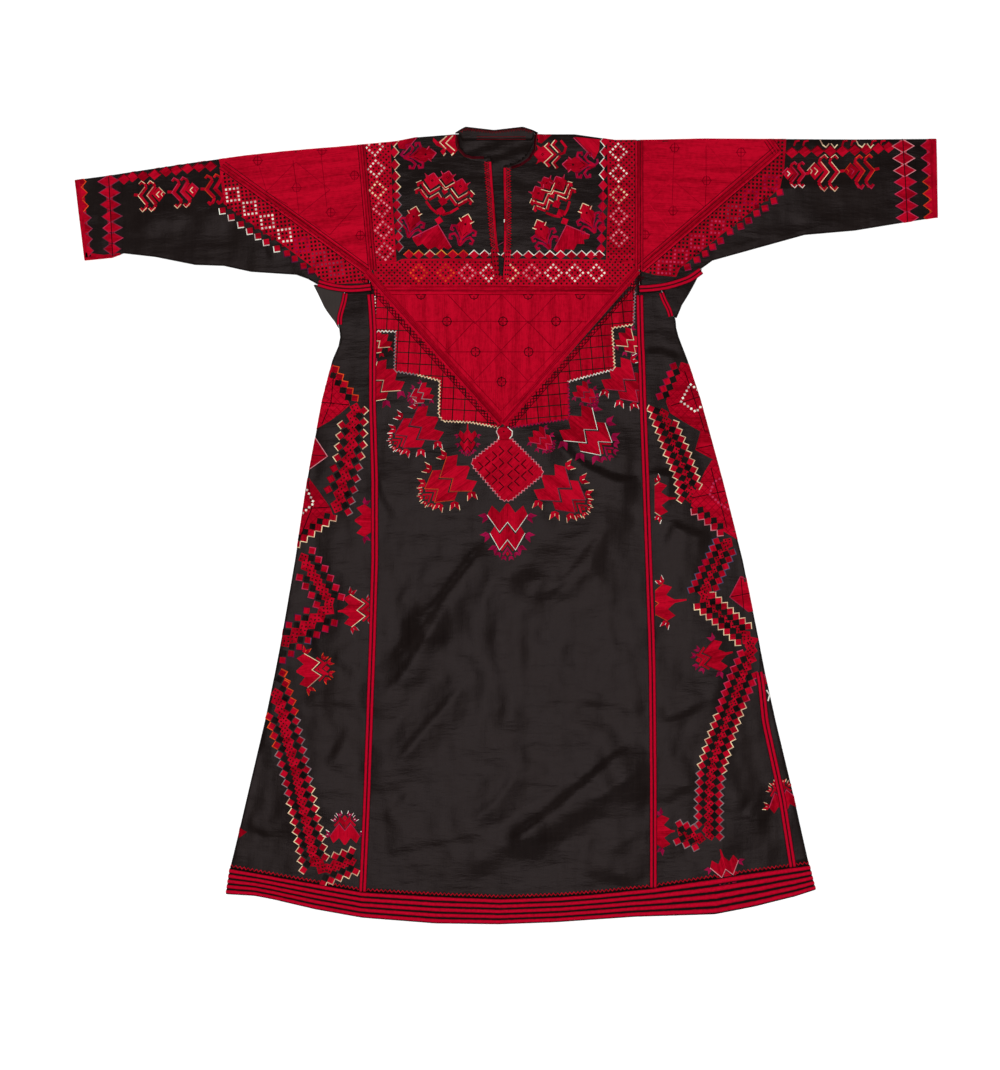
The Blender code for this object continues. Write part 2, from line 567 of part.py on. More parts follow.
def make_sleeve(side, sections):
    """A sleeve and the cuff piece sewn to its end."""
    across = (spread(0, 1, EDGE_CELLS) + spread(1, 2, 5)[1:] + spread(2, 3, 2 * EDGE_CELLS)[1:]
              + spread(3, 4, 2)[1:] + spread(4, 5, EDGE_CELLS)[1:])
    join = CUFF_SECTIONS - 1
    gap = SEAM_GAP / 2 / hypot(sections[join + 1].foot_x - sections[join].foot_x, 0.01)
    inner = len(sections) - 1
    body_gap = SEAM_GAP / abs(sections[-1].foot_x - sections[-2].foot_x)
    pieces = {"cuff_": [0, join - gap], "sleeve_": [join + gap] + list(range(join + 1, inner)) + [inner - body_gap]}
    for name, whole in pieces.items():
        stops = whole[:1]
        for low, high in zip(whole, whole[1:]):
            length = abs(between(sections, high).top_x - between(sections, low).top_x)
            stops += spread(low, high, ceil(length / PITCH))[1:]
        sheet(name + side, CLOTH_FINISH, across, stops, lambda u, place: sleeve_place(sections, place, u))


# --- trims on the cloth -------------------------------------------------------------------------
def braid_along_body(name, stops, centre):
    """A pair of cords along a seam of the body that runs up it, at x = centre(v)."""
    def place(ridge, v, above):
        x = centre(v) + ridge.across * BRAID_HALF
        floor = front_height(v, x) + WALL / 2 + TRIM_LIFT
        return x, body_y(v, x), floor + (ridge.thick if above else 0)
    slab(name, CORD_FINISH, BRAID, stops, place)


def braid_along_path(name, path, half=BRAID_HALF):
    """A pair of cords along a line on the flat cloth round an armhole."""
    stops = list(range(len(path)))

    def place(ridge, stop, above):
        before, after = path[max(0, stop - 1)], path[min(len(path) - 1, stop + 1)]
        length = hypot(after.x - before.x, after.y - before.y)
        side_x, side_y = (after.y - before.y) / length, -(after.x - before.x) / length
        floor = FRONT_LEVEL + WALL / 2 + TRIM_LIFT
        return (path[stop].x + side_x * ridge.across * half, path[stop].y + side_y * ridge.across * half,
                floor + (ridge.thick if above else 0))
    slab(name, CORD_FINISH, BRAID, stops, place)


ARMHOLE_RIGHT = [Line(-0.3240, 0.4200), Line(-0.3020, 0.4140), Line(-0.2780, 0.4105), Line(-0.2560, 0.4105),
                 Line(-0.2330, 0.4130)]
ARMHOLE_LEFT = [Line(0.3400, 0.4415), Line(0.3220, 0.4290), Line(0.3050, 0.4220), Line(0.2830, 0.4155),
                Line(0.2580, 0.4115), Line(0.2330, 0.4100)]
GUSSET_RIGHT = [Line(-0.2770, 0.4022), Line(-0.2795, 0.3880), Line(-0.2840, 0.3720), Line(-0.2868, 0.3600),
                Line(-0.2870, 0.3480)]
GUSSET_LEFT = [Line(0.2710, 0.4030), Line(0.2760, 0.3900), Line(0.2840, 0.3740), Line(0.2875, 0.3620)]
GUSSET_BRAID_HALF = 0.0050


def make_braids():
    """The couched double cords on the seams."""
    stops = fine(table_rows(HEM_V, BRAID_END_Y), PITCH)
    for side in ("right", "left"):
        braid_along_body("seam_braid_front_" + side, stops, lambda v, side=side: seam(side, v))
    braid_along_path("seam_braid_armhole_right", ARMHOLE_RIGHT)
    braid_along_path("seam_braid_armhole_left", ARMHOLE_LEFT)
    braid_along_path("seam_braid_gusset_right", GUSSET_RIGHT, GUSSET_BRAID_HALF)
    braid_along_path("seam_braid_gusset_left", GUSSET_LEFT, GUSSET_BRAID_HALF)
    side_stops = fine(table_rows(HEM_V, SIDE_BRAID_TOP), PITCH)
    braid_along_body("seam_braid_side_left", side_stops,
                     lambda v: min(lookup(ROWS, "y", v, "left_edge") - lookup(ROWS, "y", v, "left_seam_in"),
                                   fold_start("left", v) - BRAID_HALF - 0.0005))


def hem_place(front, station, s, lift):
    """A point of the hem band: a station along it, s down it, lift out of its middle surface."""
    right, left = fold_start("right", HEM_V), fold_start("left", HEM_V)
    share = (station.x - right) / (left - right)
    tilt = station.turn * (pi / 2 - SEAM_GAP / 2 / FOLD_R)
    x = station.x + s * (share * HEM_SPREAD_LEFT - (1 - share) * HEM_SPREAD_RIGHT) + FOLD_R * sin(tilt)
    top = body_y(HEM_V, station.x + FOLD_R * sin(tilt)) - SEAM_GAP
    y = top + (line_y(HEM_FOOT, x) - top) * s
    drop = FOLD_R * (1 - cos(tilt))
    if front:
        z = (rise(x, y) if tilt == 0 else FRONT_LEVEL) - drop
        return x + lift * sin(tilt), y, z + lift * cos(tilt)
    return x, y, BACK_LEVEL + drop


def make_hem():
    """The corded band round the foot of the dress, front and back, on the columns of its cloth."""
    right, left = fold_start("right", HEM_V), fold_start("left", HEM_V)
    turns = spread(0, 1, EDGE_CELLS)[1:]

    def stations(xs):
        inside = sorted(x for x in xs if right + EDGE_MIN < x < left - EDGE_MIN)
        flat = [Station(x, 0) for x in [right] + inside + [left]]
        return [Station(right, -turn) for turn in reversed(turns)] + flat + [Station(left, turn) for turn in turns]

    front_xs = [panel_x(step / PANEL_CELLS, HEM_V) for step in range(PANEL_CELLS + 1)]
    back_xs = [panel_x(share, HEM_V) for share in back_shares()]
    for side in ("right", "left"):
        front_xs += [gore_front_place(side, step / GORE_CELLS, HEM_V)[0] for step in range(1, GORE_CELLS + 1)]
        back_xs += [gore_back_place(side, 2 + step / BACK_CELLS, HEM_V)[0] for step in range(BACK_CELLS)]
    steps = spread(0, 1, 2 * HEM_CORDS)

    def front(station, s, above):
        cord = round(s * 2 * HEM_CORDS) % 2
        return hem_place(True, station, s, WALL / 2 + HEM_CORD_RISE * cord if above else -WALL / 2)
    slab("hem_band_front", HEM_FINISH, stations(front_xs), steps, front)
    sheet("hem_band_back", HEM_FINISH, stations(back_xs), [0, 1],
          lambda station, s: hem_place(False, station, s, 0))


def make_neck():
    """The bound edges of the neck and slit, and the thick back neck edge."""
    across = [0, 0.5, 1]
    for side, edges in (("right", NECK_RIGHT), ("left", NECK_LEFT)):
        away = outward(side)

        def place(share, stop, above, edges=edges, away=away):
            before, after = edges[max(0, stop - 1)], edges[min(len(edges) - 1, stop + 1)]
            length = hypot(after.x - before.x, after.y - before.y)
            side_x, side_y = away * -(after.y - before.y) / length, away * (after.x - before.x) / length
            run = SEAM_GAP + share * edges[stop].width
            floor = FRONT_LEVEL + WALL / 2 + TRIM_LIFT
            crown = BINDING * (1.0 if share == 0.5 else 0.6)
            return edges[stop].x + side_x * run, edges[stop].y + side_y * run, floor + (crown if above else 0)
        slab("neck_binding_" + side, CLOTH_FINISH, across, list(range(len(edges))), place)

    def collar(x, share, above):
        foot, top = (lookup(COLLAR, "x", x, column) for column in ("foot", "top"))
        floor = WALL + TRIM_LIFT
        return x, foot + (top - foot) * share, floor + (COLLAR_THICK * (0.45 + 0.55 * share) if above else 0)
    slab("collar_back", CLOTH_FINISH, fine([row.x for row in COLLAR], 0.017), [0, 0.5, 0.85, 1], collar)


clear_scene()
dress = bpy.data.collections.new("embroidered_dress")
cutters = bpy.data.collections.new("cutters")
bpy.context.scene.collection.children.link(dress)
bpy.context.scene.collection.children.link(cutters)
make_body()
make_sleeve("right", SLEEVE_RIGHT)
make_sleeve("left", SLEEVE_LEFT)
make_braids()
make_hem()
make_neck()
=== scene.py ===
"""A long black satin dress with counted silk embroidery, laid flat with its front up.

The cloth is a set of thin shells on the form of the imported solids, the cords and bands are
ridged strips on the seams, and the embroidery is thin raised patches that follow the cloth.
X runs to the wearer's left, Y to the neck and Z up, in metres. The places of the embroidery
and of the finer folds are given in squares of a chart that lies over the whole dress.
"""

import json
import logging
from dataclasses import dataclass, field
from enum import Enum
from math import atan2, ceil, cos, hypot, pi, radians, sin
from typing import Callable, Iterable, NamedTuple, Sequence

import bmesh
import bpy
import numpy as np
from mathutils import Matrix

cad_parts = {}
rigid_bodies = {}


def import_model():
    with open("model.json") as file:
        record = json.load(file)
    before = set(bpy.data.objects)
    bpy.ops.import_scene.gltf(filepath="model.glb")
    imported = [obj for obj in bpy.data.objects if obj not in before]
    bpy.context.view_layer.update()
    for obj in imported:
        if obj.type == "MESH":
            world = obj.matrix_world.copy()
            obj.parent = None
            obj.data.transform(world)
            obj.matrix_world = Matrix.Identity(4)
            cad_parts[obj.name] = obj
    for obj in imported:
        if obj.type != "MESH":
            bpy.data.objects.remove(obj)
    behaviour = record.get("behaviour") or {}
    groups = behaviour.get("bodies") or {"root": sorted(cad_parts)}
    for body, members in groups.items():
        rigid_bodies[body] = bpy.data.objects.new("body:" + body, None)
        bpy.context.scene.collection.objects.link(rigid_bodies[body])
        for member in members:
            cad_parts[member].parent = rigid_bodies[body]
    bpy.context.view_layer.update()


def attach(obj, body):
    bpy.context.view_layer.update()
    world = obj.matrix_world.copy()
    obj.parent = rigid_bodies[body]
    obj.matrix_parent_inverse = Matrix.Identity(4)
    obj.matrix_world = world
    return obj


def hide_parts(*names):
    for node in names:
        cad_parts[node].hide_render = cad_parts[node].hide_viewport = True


log = logging.getLogger("dress")

Array = np.ndarray
Point = tuple[float, float]
Mesh = bmesh.types.BMesh
Faces = list[bmesh.types.BMFace]
Piece = bpy.types.Object

# --- cloth, as in the solids ----------------------------------------------------------------------
WALL = 0.0012                # thickness of the solids' cloth
SHELL = 0.0006               # thickness of the shells made here, on the same middle surface
SEAM_GAP = 0.0004
FOLD_SEAM_GAP = 0.0012
BACK_LEVEL = WALL / 2
FRONT_LEVEL = 0.0070
FOLD_R = (FRONT_LEVEL - BACK_LEVEL) / 2
QUARTER = FOLD_R * pi / 2
HALF_TURN = FOLD_R * pi
FOLD_OUT = FOLD_R + WALL / 2
EDGE_MIN = 0.003
SWELL = 0.0022
SWELL_WAVE = 0.0005
WAVE_X = 0.041
WAVE_Y = 0.053
EDGE_FLAT = 0.035
EDGE_FADE = 0.070
HEM_V = -0.620
HEM_BEND = -0.477
ARM_V = 0.405
ARM_BEND = 0.337
YOKE_BEND = 0.564
TOP_V = 0.680
HEM_SPREAD_RIGHT = 0.0068
HEM_SPREAD_LEFT = 0.0110
ARMHOLE_GAP = 0.0010
BRAID_HALF = 0.0065
GUSSET_BRAID_HALF = 0.0050
BRAID_END_Y = 0.3975
SIDE_BRAID_TOP = -0.255
LOOM_WIDTH = 0.48
GORE_WIDTH = 0.2
GUSSET_TIPS = {"right": 0.3425, "left": 0.356}
BACK_THREAD_SHARE = 0.35     # how much of its thickness embroidery keeps under the dress


class Row(NamedTuple):
    """A row across the body: outline, seams and how far the side seams run in from the fold."""

    y: float
    right_edge: float
    right_gusset: float
    right_seam: float
    left_seam: float
    left_seam_in: float
    left_edge: float


class Line(NamedTuple):
    """A point of a line across the dress."""

    x: float
    y: float


class Across(NamedTuple):
    """A section across a sleeve, and whether its lower edge is folded."""

    top_x: float
    top_y: float
    foot_x: float
    foot_y: float
    turn: float


class Crease(NamedTuple):
    """A broad soft fold of the front: its ends, height and reach."""

    x0: float
    y0: float
    x1: float
    y1: float
    height: float
    reach: float


class Pressed(NamedTuple):
    """A line where the front lies flat."""

    x0: float
    y0: float
    x1: float
    y1: float
    flat: float
    fade: float


class Bound(NamedTuple):
    """A point of the neck's cut edge and the width of the binding there."""

    x: float
    y: float
    width: float


class Collar(NamedTuple):
    """A place along the back neck edge, and the foot and top of its roll."""

    x: float
    foot: float
    top: float


ROWS = [
    Row(-0.620, -0.4775, 0.0, -0.2470, 0.2570, 0.0290, 0.5280),
    Row(-0.477, -0.4495, 0.0, -0.2400, 0.2570, 0.0220, 0.5030),
    Row(-0.339, -0.4170, 0.0, -0.2350, 0.2560, 0.0190, 0.4700),
    Row(-0.255, -0.3995, 0.0, -0.2320, 0.2550, 0.0090, 0.4515),
    Row(-0.200, -0.3890, 0.0, -0.2300, 0.2540, 0.0, 0.4410),
    Row(-0.061, -0.3650, 0.0, -0.2260, 0.2490, 0.0, 0.4130),
    Row(0.078, -0.3440, 0.0, -0.2260, 0.2440, 0.0, 0.3780),
    Row(0.217, -0.3180, 0.0, -0.2300, 0.2390, 0.0, 0.3400),
    Row(0.287, -0.3000, 0.0, -0.2300, 0.2370, 0.0, 0.3170),
    Row(0.318, -0.2865, 0.0, -0.2290, 0.2355, 0.0, 0.3050),
    Row(0.337, -0.2870, 0.0, -0.2290, 0.2350, 0.0, 0.2980),
    Row(0.3525, -0.2960, 0.0060, -0.2300, 0.2345, 0.0, 0.2965),
    Row(0.372, -0.3130, 0.0274, -0.2310, 0.2340, 0.0257, 0.3075),
    Row(0.405, -0.3330, 0.0552, -0.2342, 0.2335, 0.0715, 0.3420),
    Row(0.451, -0.40, 0.0, -0.2367, 0.2327, 0.0, 0.40),
    Row(0.564, -0.90, 0.0, -0.2428, 0.2308, 0.0, 0.90),
    Row(0.680, -2.00, 0.0, -0.2478, 0.2291, 0.0, 2.00),
]
SHOULDER = [Line(-0.748, 0.5995), Line(-0.711, 0.6040), Line(-0.573, 0.6250), Line(-0.434, 0.6440),
            Line(-0.295, 0.6570), Line(-0.191, 0.6665), Line(-0.156, 0.6735), Line(-0.087, 0.6790),
            Line(0.087, 0.6790), Line(0.121, 0.6790), Line(0.191, 0.6690), Line(0.260, 0.6695),
            Line(0.338, 0.6715), Line(0.607, 0.6700), Line(0.748, 0.6710)]
UNDERARM = [Line(-0.748, 0.4590), Line(-0.642, 0.4700), Line(-0.573, 0.4590), Line(-0.434, 0.4375),
            Line(-0.333, 0.4215), Line(-0.296, 0.3525), Line(-0.280, 0.2000), Line(-0.260, -1.0),
            Line(0.260, -1.0), Line(0.285, 0.2500), Line(0.2965, 0.3525), Line(0.352, 0.4565),
            Line(0.4265, 0.4775), Line(0.520, 0.5035), Line(0.607, 0.5110), Line(0.748, 0.5335)]
HEM_TOP = [Line(-0.480, -0.594), Line(-0.356, -0.616), Line(-0.248, -0.635), Line(-0.130, -0.642),
           Line(-0.009, -0.647), Line(0.095, -0.643), Line(0.165, -0.638), Line(0.257, -0.628),
           Line(0.338, -0.6155), Line(0.425, -0.602), Line(0.530, -0.5885)]
HEM_FOOT = [Line(-0.485, -0.640), Line(-0.434, -0.6430), Line(-0.399, -0.6495), Line(-0.330, -0.6660),
            Line(-0.248, -0.6805), Line(-0.121, -0.6905), Line(-0.009, -0.6920), Line(0.095, -0.6880),
            Line(0.226, -0.6790), Line(0.364, -0.6745), Line(0.434, -0.6610), Line(0.503, -0.6440),
            Line(0.540, -0.6320)]
SLEEVE_RIGHT = [
    Across(-0.7465, 0.5995, -0.7280, 0.4595, 1), Across(-0.6870, 0.6075, -0.6820, 0.4640, 1),
    Across(-0.6630, 0.6113, -0.6620, 0.4715, 1), Across(-0.6070, 0.6199, -0.6070, 0.4653, 1),
    Across(-0.5400, 0.6300, -0.5380, 0.4515, 1), Across(-0.4950, 0.6361, -0.4880, 0.4498, 1),
    Across(-0.4500, 0.6423, -0.4410, 0.4395, 1), Across(-0.3800, 0.6498, -0.3620, 0.4343, 1),
    Across(-0.3600, 0.6514, -0.3420, 0.4270, 1), Across(-0.3440, 0.6530, -0.3250, 0.4180, 0),
    Across(-0.3180, 0.6550, -0.3000, 0.4105, 0), Across(-0.2960, 0.6567, -0.2780, 0.4075, 0),
    Across(-0.2720, 0.6590, -0.2560, 0.4073, 0), Across(-0.2480, 0.6612, -0.2344, 0.4090, 0),
]
SLEEVE_LEFT = [
    Across(0.7440, 0.6710, 0.7465, 0.5335, 1), Across(0.6920, 0.6706, 0.6920, 0.5250, 1),
    Across(0.6070, 0.6700, 0.6070, 0.5110, 1), Across(0.5030, 0.6706, 0.5200, 0.5035, 1),
    Across(0.3990, 0.6711, 0.4265, 0.4775, 1), Across(0.3480, 0.6714, 0.3600, 0.4590, 1),
    Across(0.3320, 0.6712, 0.3400, 0.4450, 0), Across(0.3120, 0.6707, 0.3200, 0.4330, 0),
    Across(0.2920, 0.6702, 0.3000, 0.4225, 0), Across(0.2720, 0.6697, 0.2800, 0.4145, 0),
    Across(0.2520, 0.6694, 0.2580, 0.4095, 0), Across(0.2290, 0.6692, 0.2335, 0.4075, 0),
]
ARMHOLE = [Line(s.foot_x, s.foot_y) for s in SLEEVE_RIGHT + SLEEVE_LEFT if s.turn == 0]
CREASES = [
    Crease(-0.045, -0.070, -0.135, -0.183, 0.0045, 0.050),
    Crease(-0.135, -0.183, -0.205, -0.300, 0.0040, 0.050),
    Crease(-0.066, -0.265, -0.205, -0.425, 0.0035, 0.050),
    Crease(0.147, -0.069, 0.042, -0.118, 0.0035, 0.045), Crease(0.177, 0.005, 0.047, -0.100, 0.0040, 0.050),
    Crease(0.060, 0.150, 0.200, 0.120, 0.0040, 0.045), Crease(0.021, -0.428, -0.057, -0.515, 0.0035, 0.045),
    Crease(0.225, -0.425, 0.042, -0.539, 0.0050, 0.050), Crease(0.042, -0.539, -0.082, -0.588, 0.0035, 0.045),
    Crease(0.000, -0.130, 0.004, -0.400, 0.0030, 0.045), Crease(0.151, -0.364, 0.225, -0.455, 0.0030, 0.045),
    Crease(0.290, -0.320, 0.370, -0.285, 0.0030, 0.045), Crease(0.300, -0.440, 0.400, -0.470, 0.0030, 0.050),
    Crease(-0.300, -0.420, -0.380, -0.500, 0.0030, 0.050),
    Crease(-0.500, 0.540, -0.380, 0.520, 0.0030, 0.045), Crease(0.400, 0.580, 0.560, 0.590, 0.0030, 0.045),
]
PRESSED = [
    Pressed(-0.345, 0.415, -0.225, 0.390, 0.055, 0.050), Pressed(0.225, 0.390, 0.350, 0.440, 0.055, 0.050),
    Pressed(-0.013, 0.680, -0.006, 0.425, 0.055, 0.050),
]
NECK_RIGHT = [
    Bound(-0.0800, 0.6720, 0.006), Bound(-0.0785, 0.6580, 0.006), Bound(-0.0700, 0.6450, 0.006),
    Bound(-0.0560, 0.6385, 0.006), Bound(-0.0380, 0.6380, 0.008), Bound(-0.0240, 0.6370, 0.011),
    Bound(-0.0213, 0.5920, 0.012), Bound(-0.0187, 0.5640, 0.012), Bound(-0.0150, 0.5100, 0.012),
    Bound(-0.0125, 0.4640, 0.011), Bound(-0.0085, 0.4300, 0.009),
]
NECK_LEFT = [
    Bound(0.0520, 0.6720, 0.006), Bound(0.0450, 0.6545, 0.006), Bound(0.0345, 0.6390, 0.006),
    Bound(0.0190, 0.6290, 0.006), Bound(0.0080, 0.6250, 0.008), Bound(-0.0030, 0.6220, 0.011),
    Bound(-0.0028, 0.5920, 0.011), Bound(-0.0020, 0.5640, 0.011), Bound(-0.0019, 0.5100, 0.011),
    Bound(-0.0022, 0.4640, 0.010), Bound(-0.0048, 0.4300, 0.008),
]
COLLAR = [
    Collar(-0.0865, 0.6803, 0.6815), Collar(-0.0790, 0.6803, 0.6865), Collar(-0.0760, 0.6680, 0.6882),
    Collar(-0.0690, 0.6680, 0.6920), Collar(-0.0190, 0.6680, 0.6862), Collar(0.0310, 0.6680, 0.6920),
    Collar(0.0480, 0.6680, 0.6863), Collar(0.0510, 0.6803, 0.6850), Collar(0.0575, 0.6803, 0.6815),
]
ABOVE_NECK = 0.72            # past the top of the cloth
COLLAR_LEVEL = WALL + 0.0007
BINDING_RISE = 0.0015        # from the cloth to the top of a binding
COLLAR_PROFILE = [(-1.0, 0.0012), (-0.4, 0.0018), (0.2, 0.0024), (0.55, 0.0029), (0.8, 0.0029), (1.0, 0.0022)]
ARMHOLE_BRAID_RIGHT = [Line(-0.3240, 0.4200), Line(-0.3020, 0.4140), Line(-0.2780, 0.4105),
                       Line(-0.2560, 0.4105), Line(-0.2330, 0.4130)]
ARMHOLE_BRAID_LEFT = [Line(0.3400, 0.4415), Line(0.3220, 0.4290), Line(0.3050, 0.4220), Line(0.2830, 0.4155),
                      Line(0.2580, 0.4115), Line(0.2330, 0.4100)]
GUSSET_BRAID_RIGHT = [Line(-0.2770, 0.4022), Line(-0.2795, 0.3880), Line(-0.2840, 0.3720),
                      Line(-0.2868, 0.3600), Line(-0.2870, 0.3480)]
GUSSET_BRAID_LEFT = [Line(0.2710, 0.4030), Line(0.2760, 0.3900), Line(0.2840, 0.3740), Line(0.2875, 0.3620)]

# --- how finely the shells are divided ------------------------------------------------------------
CELL = 0.0055                # on the front, where folds show
BACK_CELL = 0.016
TRIM_STEP = 0.0035
EDGE_CELLS = 6
HALVINGS = 24                # steps that find a place along a sleeve
TRIM_LIFT = 0.0002           # gap under the cords and bindings


# --- the chart ------------------------------------------------------------------------------------
class Chart:
    """The chart: columns count to the wearer's left, rows down the dress. A square isn't a stitch."""

    SQUARE = 0.001735
    MIDDLE_COLUMN = 505.1
    MIDDLE_ROW = 525.2

    @classmethod
    def x(cls, column: Array) -> Array:
        """Metres across the dress of a column."""
        return (column - cls.MIDDLE_COLUMN) * cls.SQUARE

    @classmethod
    def y(cls, row: Array) -> Array:
        """Metres up the dress of a row."""
        return (cls.MIDDLE_ROW - row) * cls.SQUARE


class Fold(NamedTuple):
    """A finer fold of the front: its path in chart squares, its height in millimetres and, in squares, the
    reach of its steep side, which lies along the path with the higher cloth on the left."""

    path: list[Point]
    height: float
    reach: float


FOLDS = [
    Fold([(495, 522), (481, 546), (434, 606), (403, 647), (379, 670)], 3.6, 5.0),
    Fold([(452, 589), (423, 638), (402, 672), (379, 699)], 2.6, 5.0),
    Fold([(408, 583), (397, 604)], 1.6, 4.0),
    Fold([(614, 518), (591, 546), (565, 578), (536, 595)], 3.0, 4.0),
    Fold([(600, 552), (568, 586), (538, 612)], 2.0, 4.5),
    Fold([(469, 676), (423, 728), (388, 771)], 3.0, 5.0), Fold([(417, 786), (382, 818)], 1.8, 5.0),
    Fold([(515, 569), (518, 725)], 0.8, 3.5), Fold([(515, 771), (495, 800), (466, 823)], 2.2, 4.5),
    Fold([(573, 699), (620, 708), (643, 719)], 1.8, 5.0),
    Fold([(649, 738), (619, 751), (585, 780), (550, 809), (515, 835), (489, 847)], 3.6, 5.0),
    Fold([(643, 760), (613, 783), (585, 800)], 2.2, 5.0),
    Fold([(648, 823), (619, 838), (585, 844), (544, 847)], 2.4, 5.0),
    Fold([(368, 852), (408, 847), (460, 838), (492, 835)], 2.2, 6.0),
    Fold([(579, 870), (614, 875), (643, 887)], 2.2, 6.0),
    Fold([(648, 481), (616, 478), (591, 467), (574, 456), (550, 432)], 6.4, 5.0),
    Fold([(560, 478), (600, 497), (640, 505)], 2.6, 5.0),
    Fold([(376, 470), (384, 500), (398, 520)], 2.6, 5.0), Fold([(605, 542), (575, 570)], 1.6, 4.0),
    Fold([(682, 358), (661, 350), (640, 351)], 2.8, 4.0),
    Fold([(712, 537), (690, 531), (668, 521)], 4.4, 4.5),
    Fold([(678, 474), (655, 471), (640, 475)], 4.4, 4.5),
    Fold([(655, 721), (680, 715), (710, 700)], 2.8, 5.0), Fold([(304, 702), (361, 704)], 2.2, 6.0),
    Fold([(352, 720), (326, 770)], 2.6, 6.0), Fold([(660, 806), (682, 790), (700, 786)], 2.4, 5.0),
    Fold([(742, 812), (764, 826)], 2.2, 5.0), Fold([(330, 655), (345, 668), (362, 672)], 1.8, 5.0),
    Fold([(243, 822), (276, 839)], 2.4, 5.0), Fold([(130, 235), (190, 225)], 2.0, 7.0),
    Fold([(262, 238), (274, 262)], 2.6, 4.0), Fold([(740, 225), (830, 215)], 1.8, 7.0),
    Fold([(277, 247), (300, 262)], 1.6, 5.0),
]
# Slow unevenness of cloth that has been folded away: wavelength and height in metres.
RIPPLES = [(0.150, 0.00055), (0.085, 0.00038), (0.048, 0.00020), (0.030, 0.00010)]
RIPPLE_SEED = 11
FOLD_TAIL = 4.0              # a fold falls away on its other side over this many times its reach
FOLD_END = 4.0               # its ends take up one part in this many of its length
FOLD_EDGE = 0.012            # fine folds die away this close to the outline
CRUMPLE_MIDDLE = 0.0012      # creases of the back inside the neck: middle, waves, and where they start
CRUMPLE_BROAD = 0.0007
CRUMPLE_FINE = 0.0005
CRUMPLE_FOOT = 0.60
CRUMPLE_FADE = 0.03


def column_of(table: Sequence[NamedTuple], key: str, value: Array, column: str) -> Array:
    """Read a column of a table at values of its key column, in straight lines between rows.

    Args:
        table: rows that share their column names.
        key: the column that is looked up.
        value: where it is looked up.
        column: the column that is read.

    Returns:
        The column's values.
    """
    rows = sorted(table, key=lambda row: getattr(row, key))
    return np.interp(value, [getattr(row, key) for row in rows], [getattr(row, column) for row in rows])


def smooth(value: Array) -> Array:
    """Ease from 0 to 1."""
    value = np.clip(value, 0.0, 1.0)
    return value * value * (3 - 2 * value)


def beside(path: Sequence[Point], x: Array, y: Array) -> tuple[Array, Array]:
    """How points lie to a path.

    Args:
        path: its corners.
        x: the points' x.
        y: the points' y.

    Returns:
        Their distance from it, less than 0 on its right, and the share of its length that they lie beside.
    """
    lengths = [apart(start, end) for start, end in zip(path, path[1:])]
    best, share, run = np.full_like(x, np.inf), np.zeros_like(x), 0.0
    for (start, end), length in zip(zip(path, path[1:]), lengths):
        along_x, along_y = (end[0] - start[0]) / length, (end[1] - start[1]) / length
        part = np.clip((x - start[0]) * along_x + (y - start[1]) * along_y, 0.0, length)
        far = np.hypot(x - start[0] - part * along_x, y - start[1] - part * along_y)
        side = np.where((y - start[1]) * along_x < (x - start[0]) * along_y, -1.0, 1.0)
        near = far < abs(best)
        best, share = np.where(near, far * side, best), np.where(near, (run + part) / sum(lengths), share)
        run += length
    return best, share


def distance_to(start: Point, end: Point, x: Array, y: Array) -> Array:
    """Distance from points to a line piece.

    Args:
        start: one end of the piece.
        end: its other end.
        x: the points' x.
        y: the points' y.

    Returns:
        The distances.
    """
    along_x, along_y = end[0] - start[0], end[1] - start[1]
    part = ((x - start[0]) * along_x + (y - start[1]) * along_y) / (along_x ** 2 + along_y ** 2)
    part = np.clip(part, 0.0, 1.0)
    return np.hypot(x - start[0] - part * along_x, y - start[1] - part * along_y)


def outward(side: str) -> int:
    """Direction in x from the middle of the dress to a side."""
    return -1 if side == "right" else 1


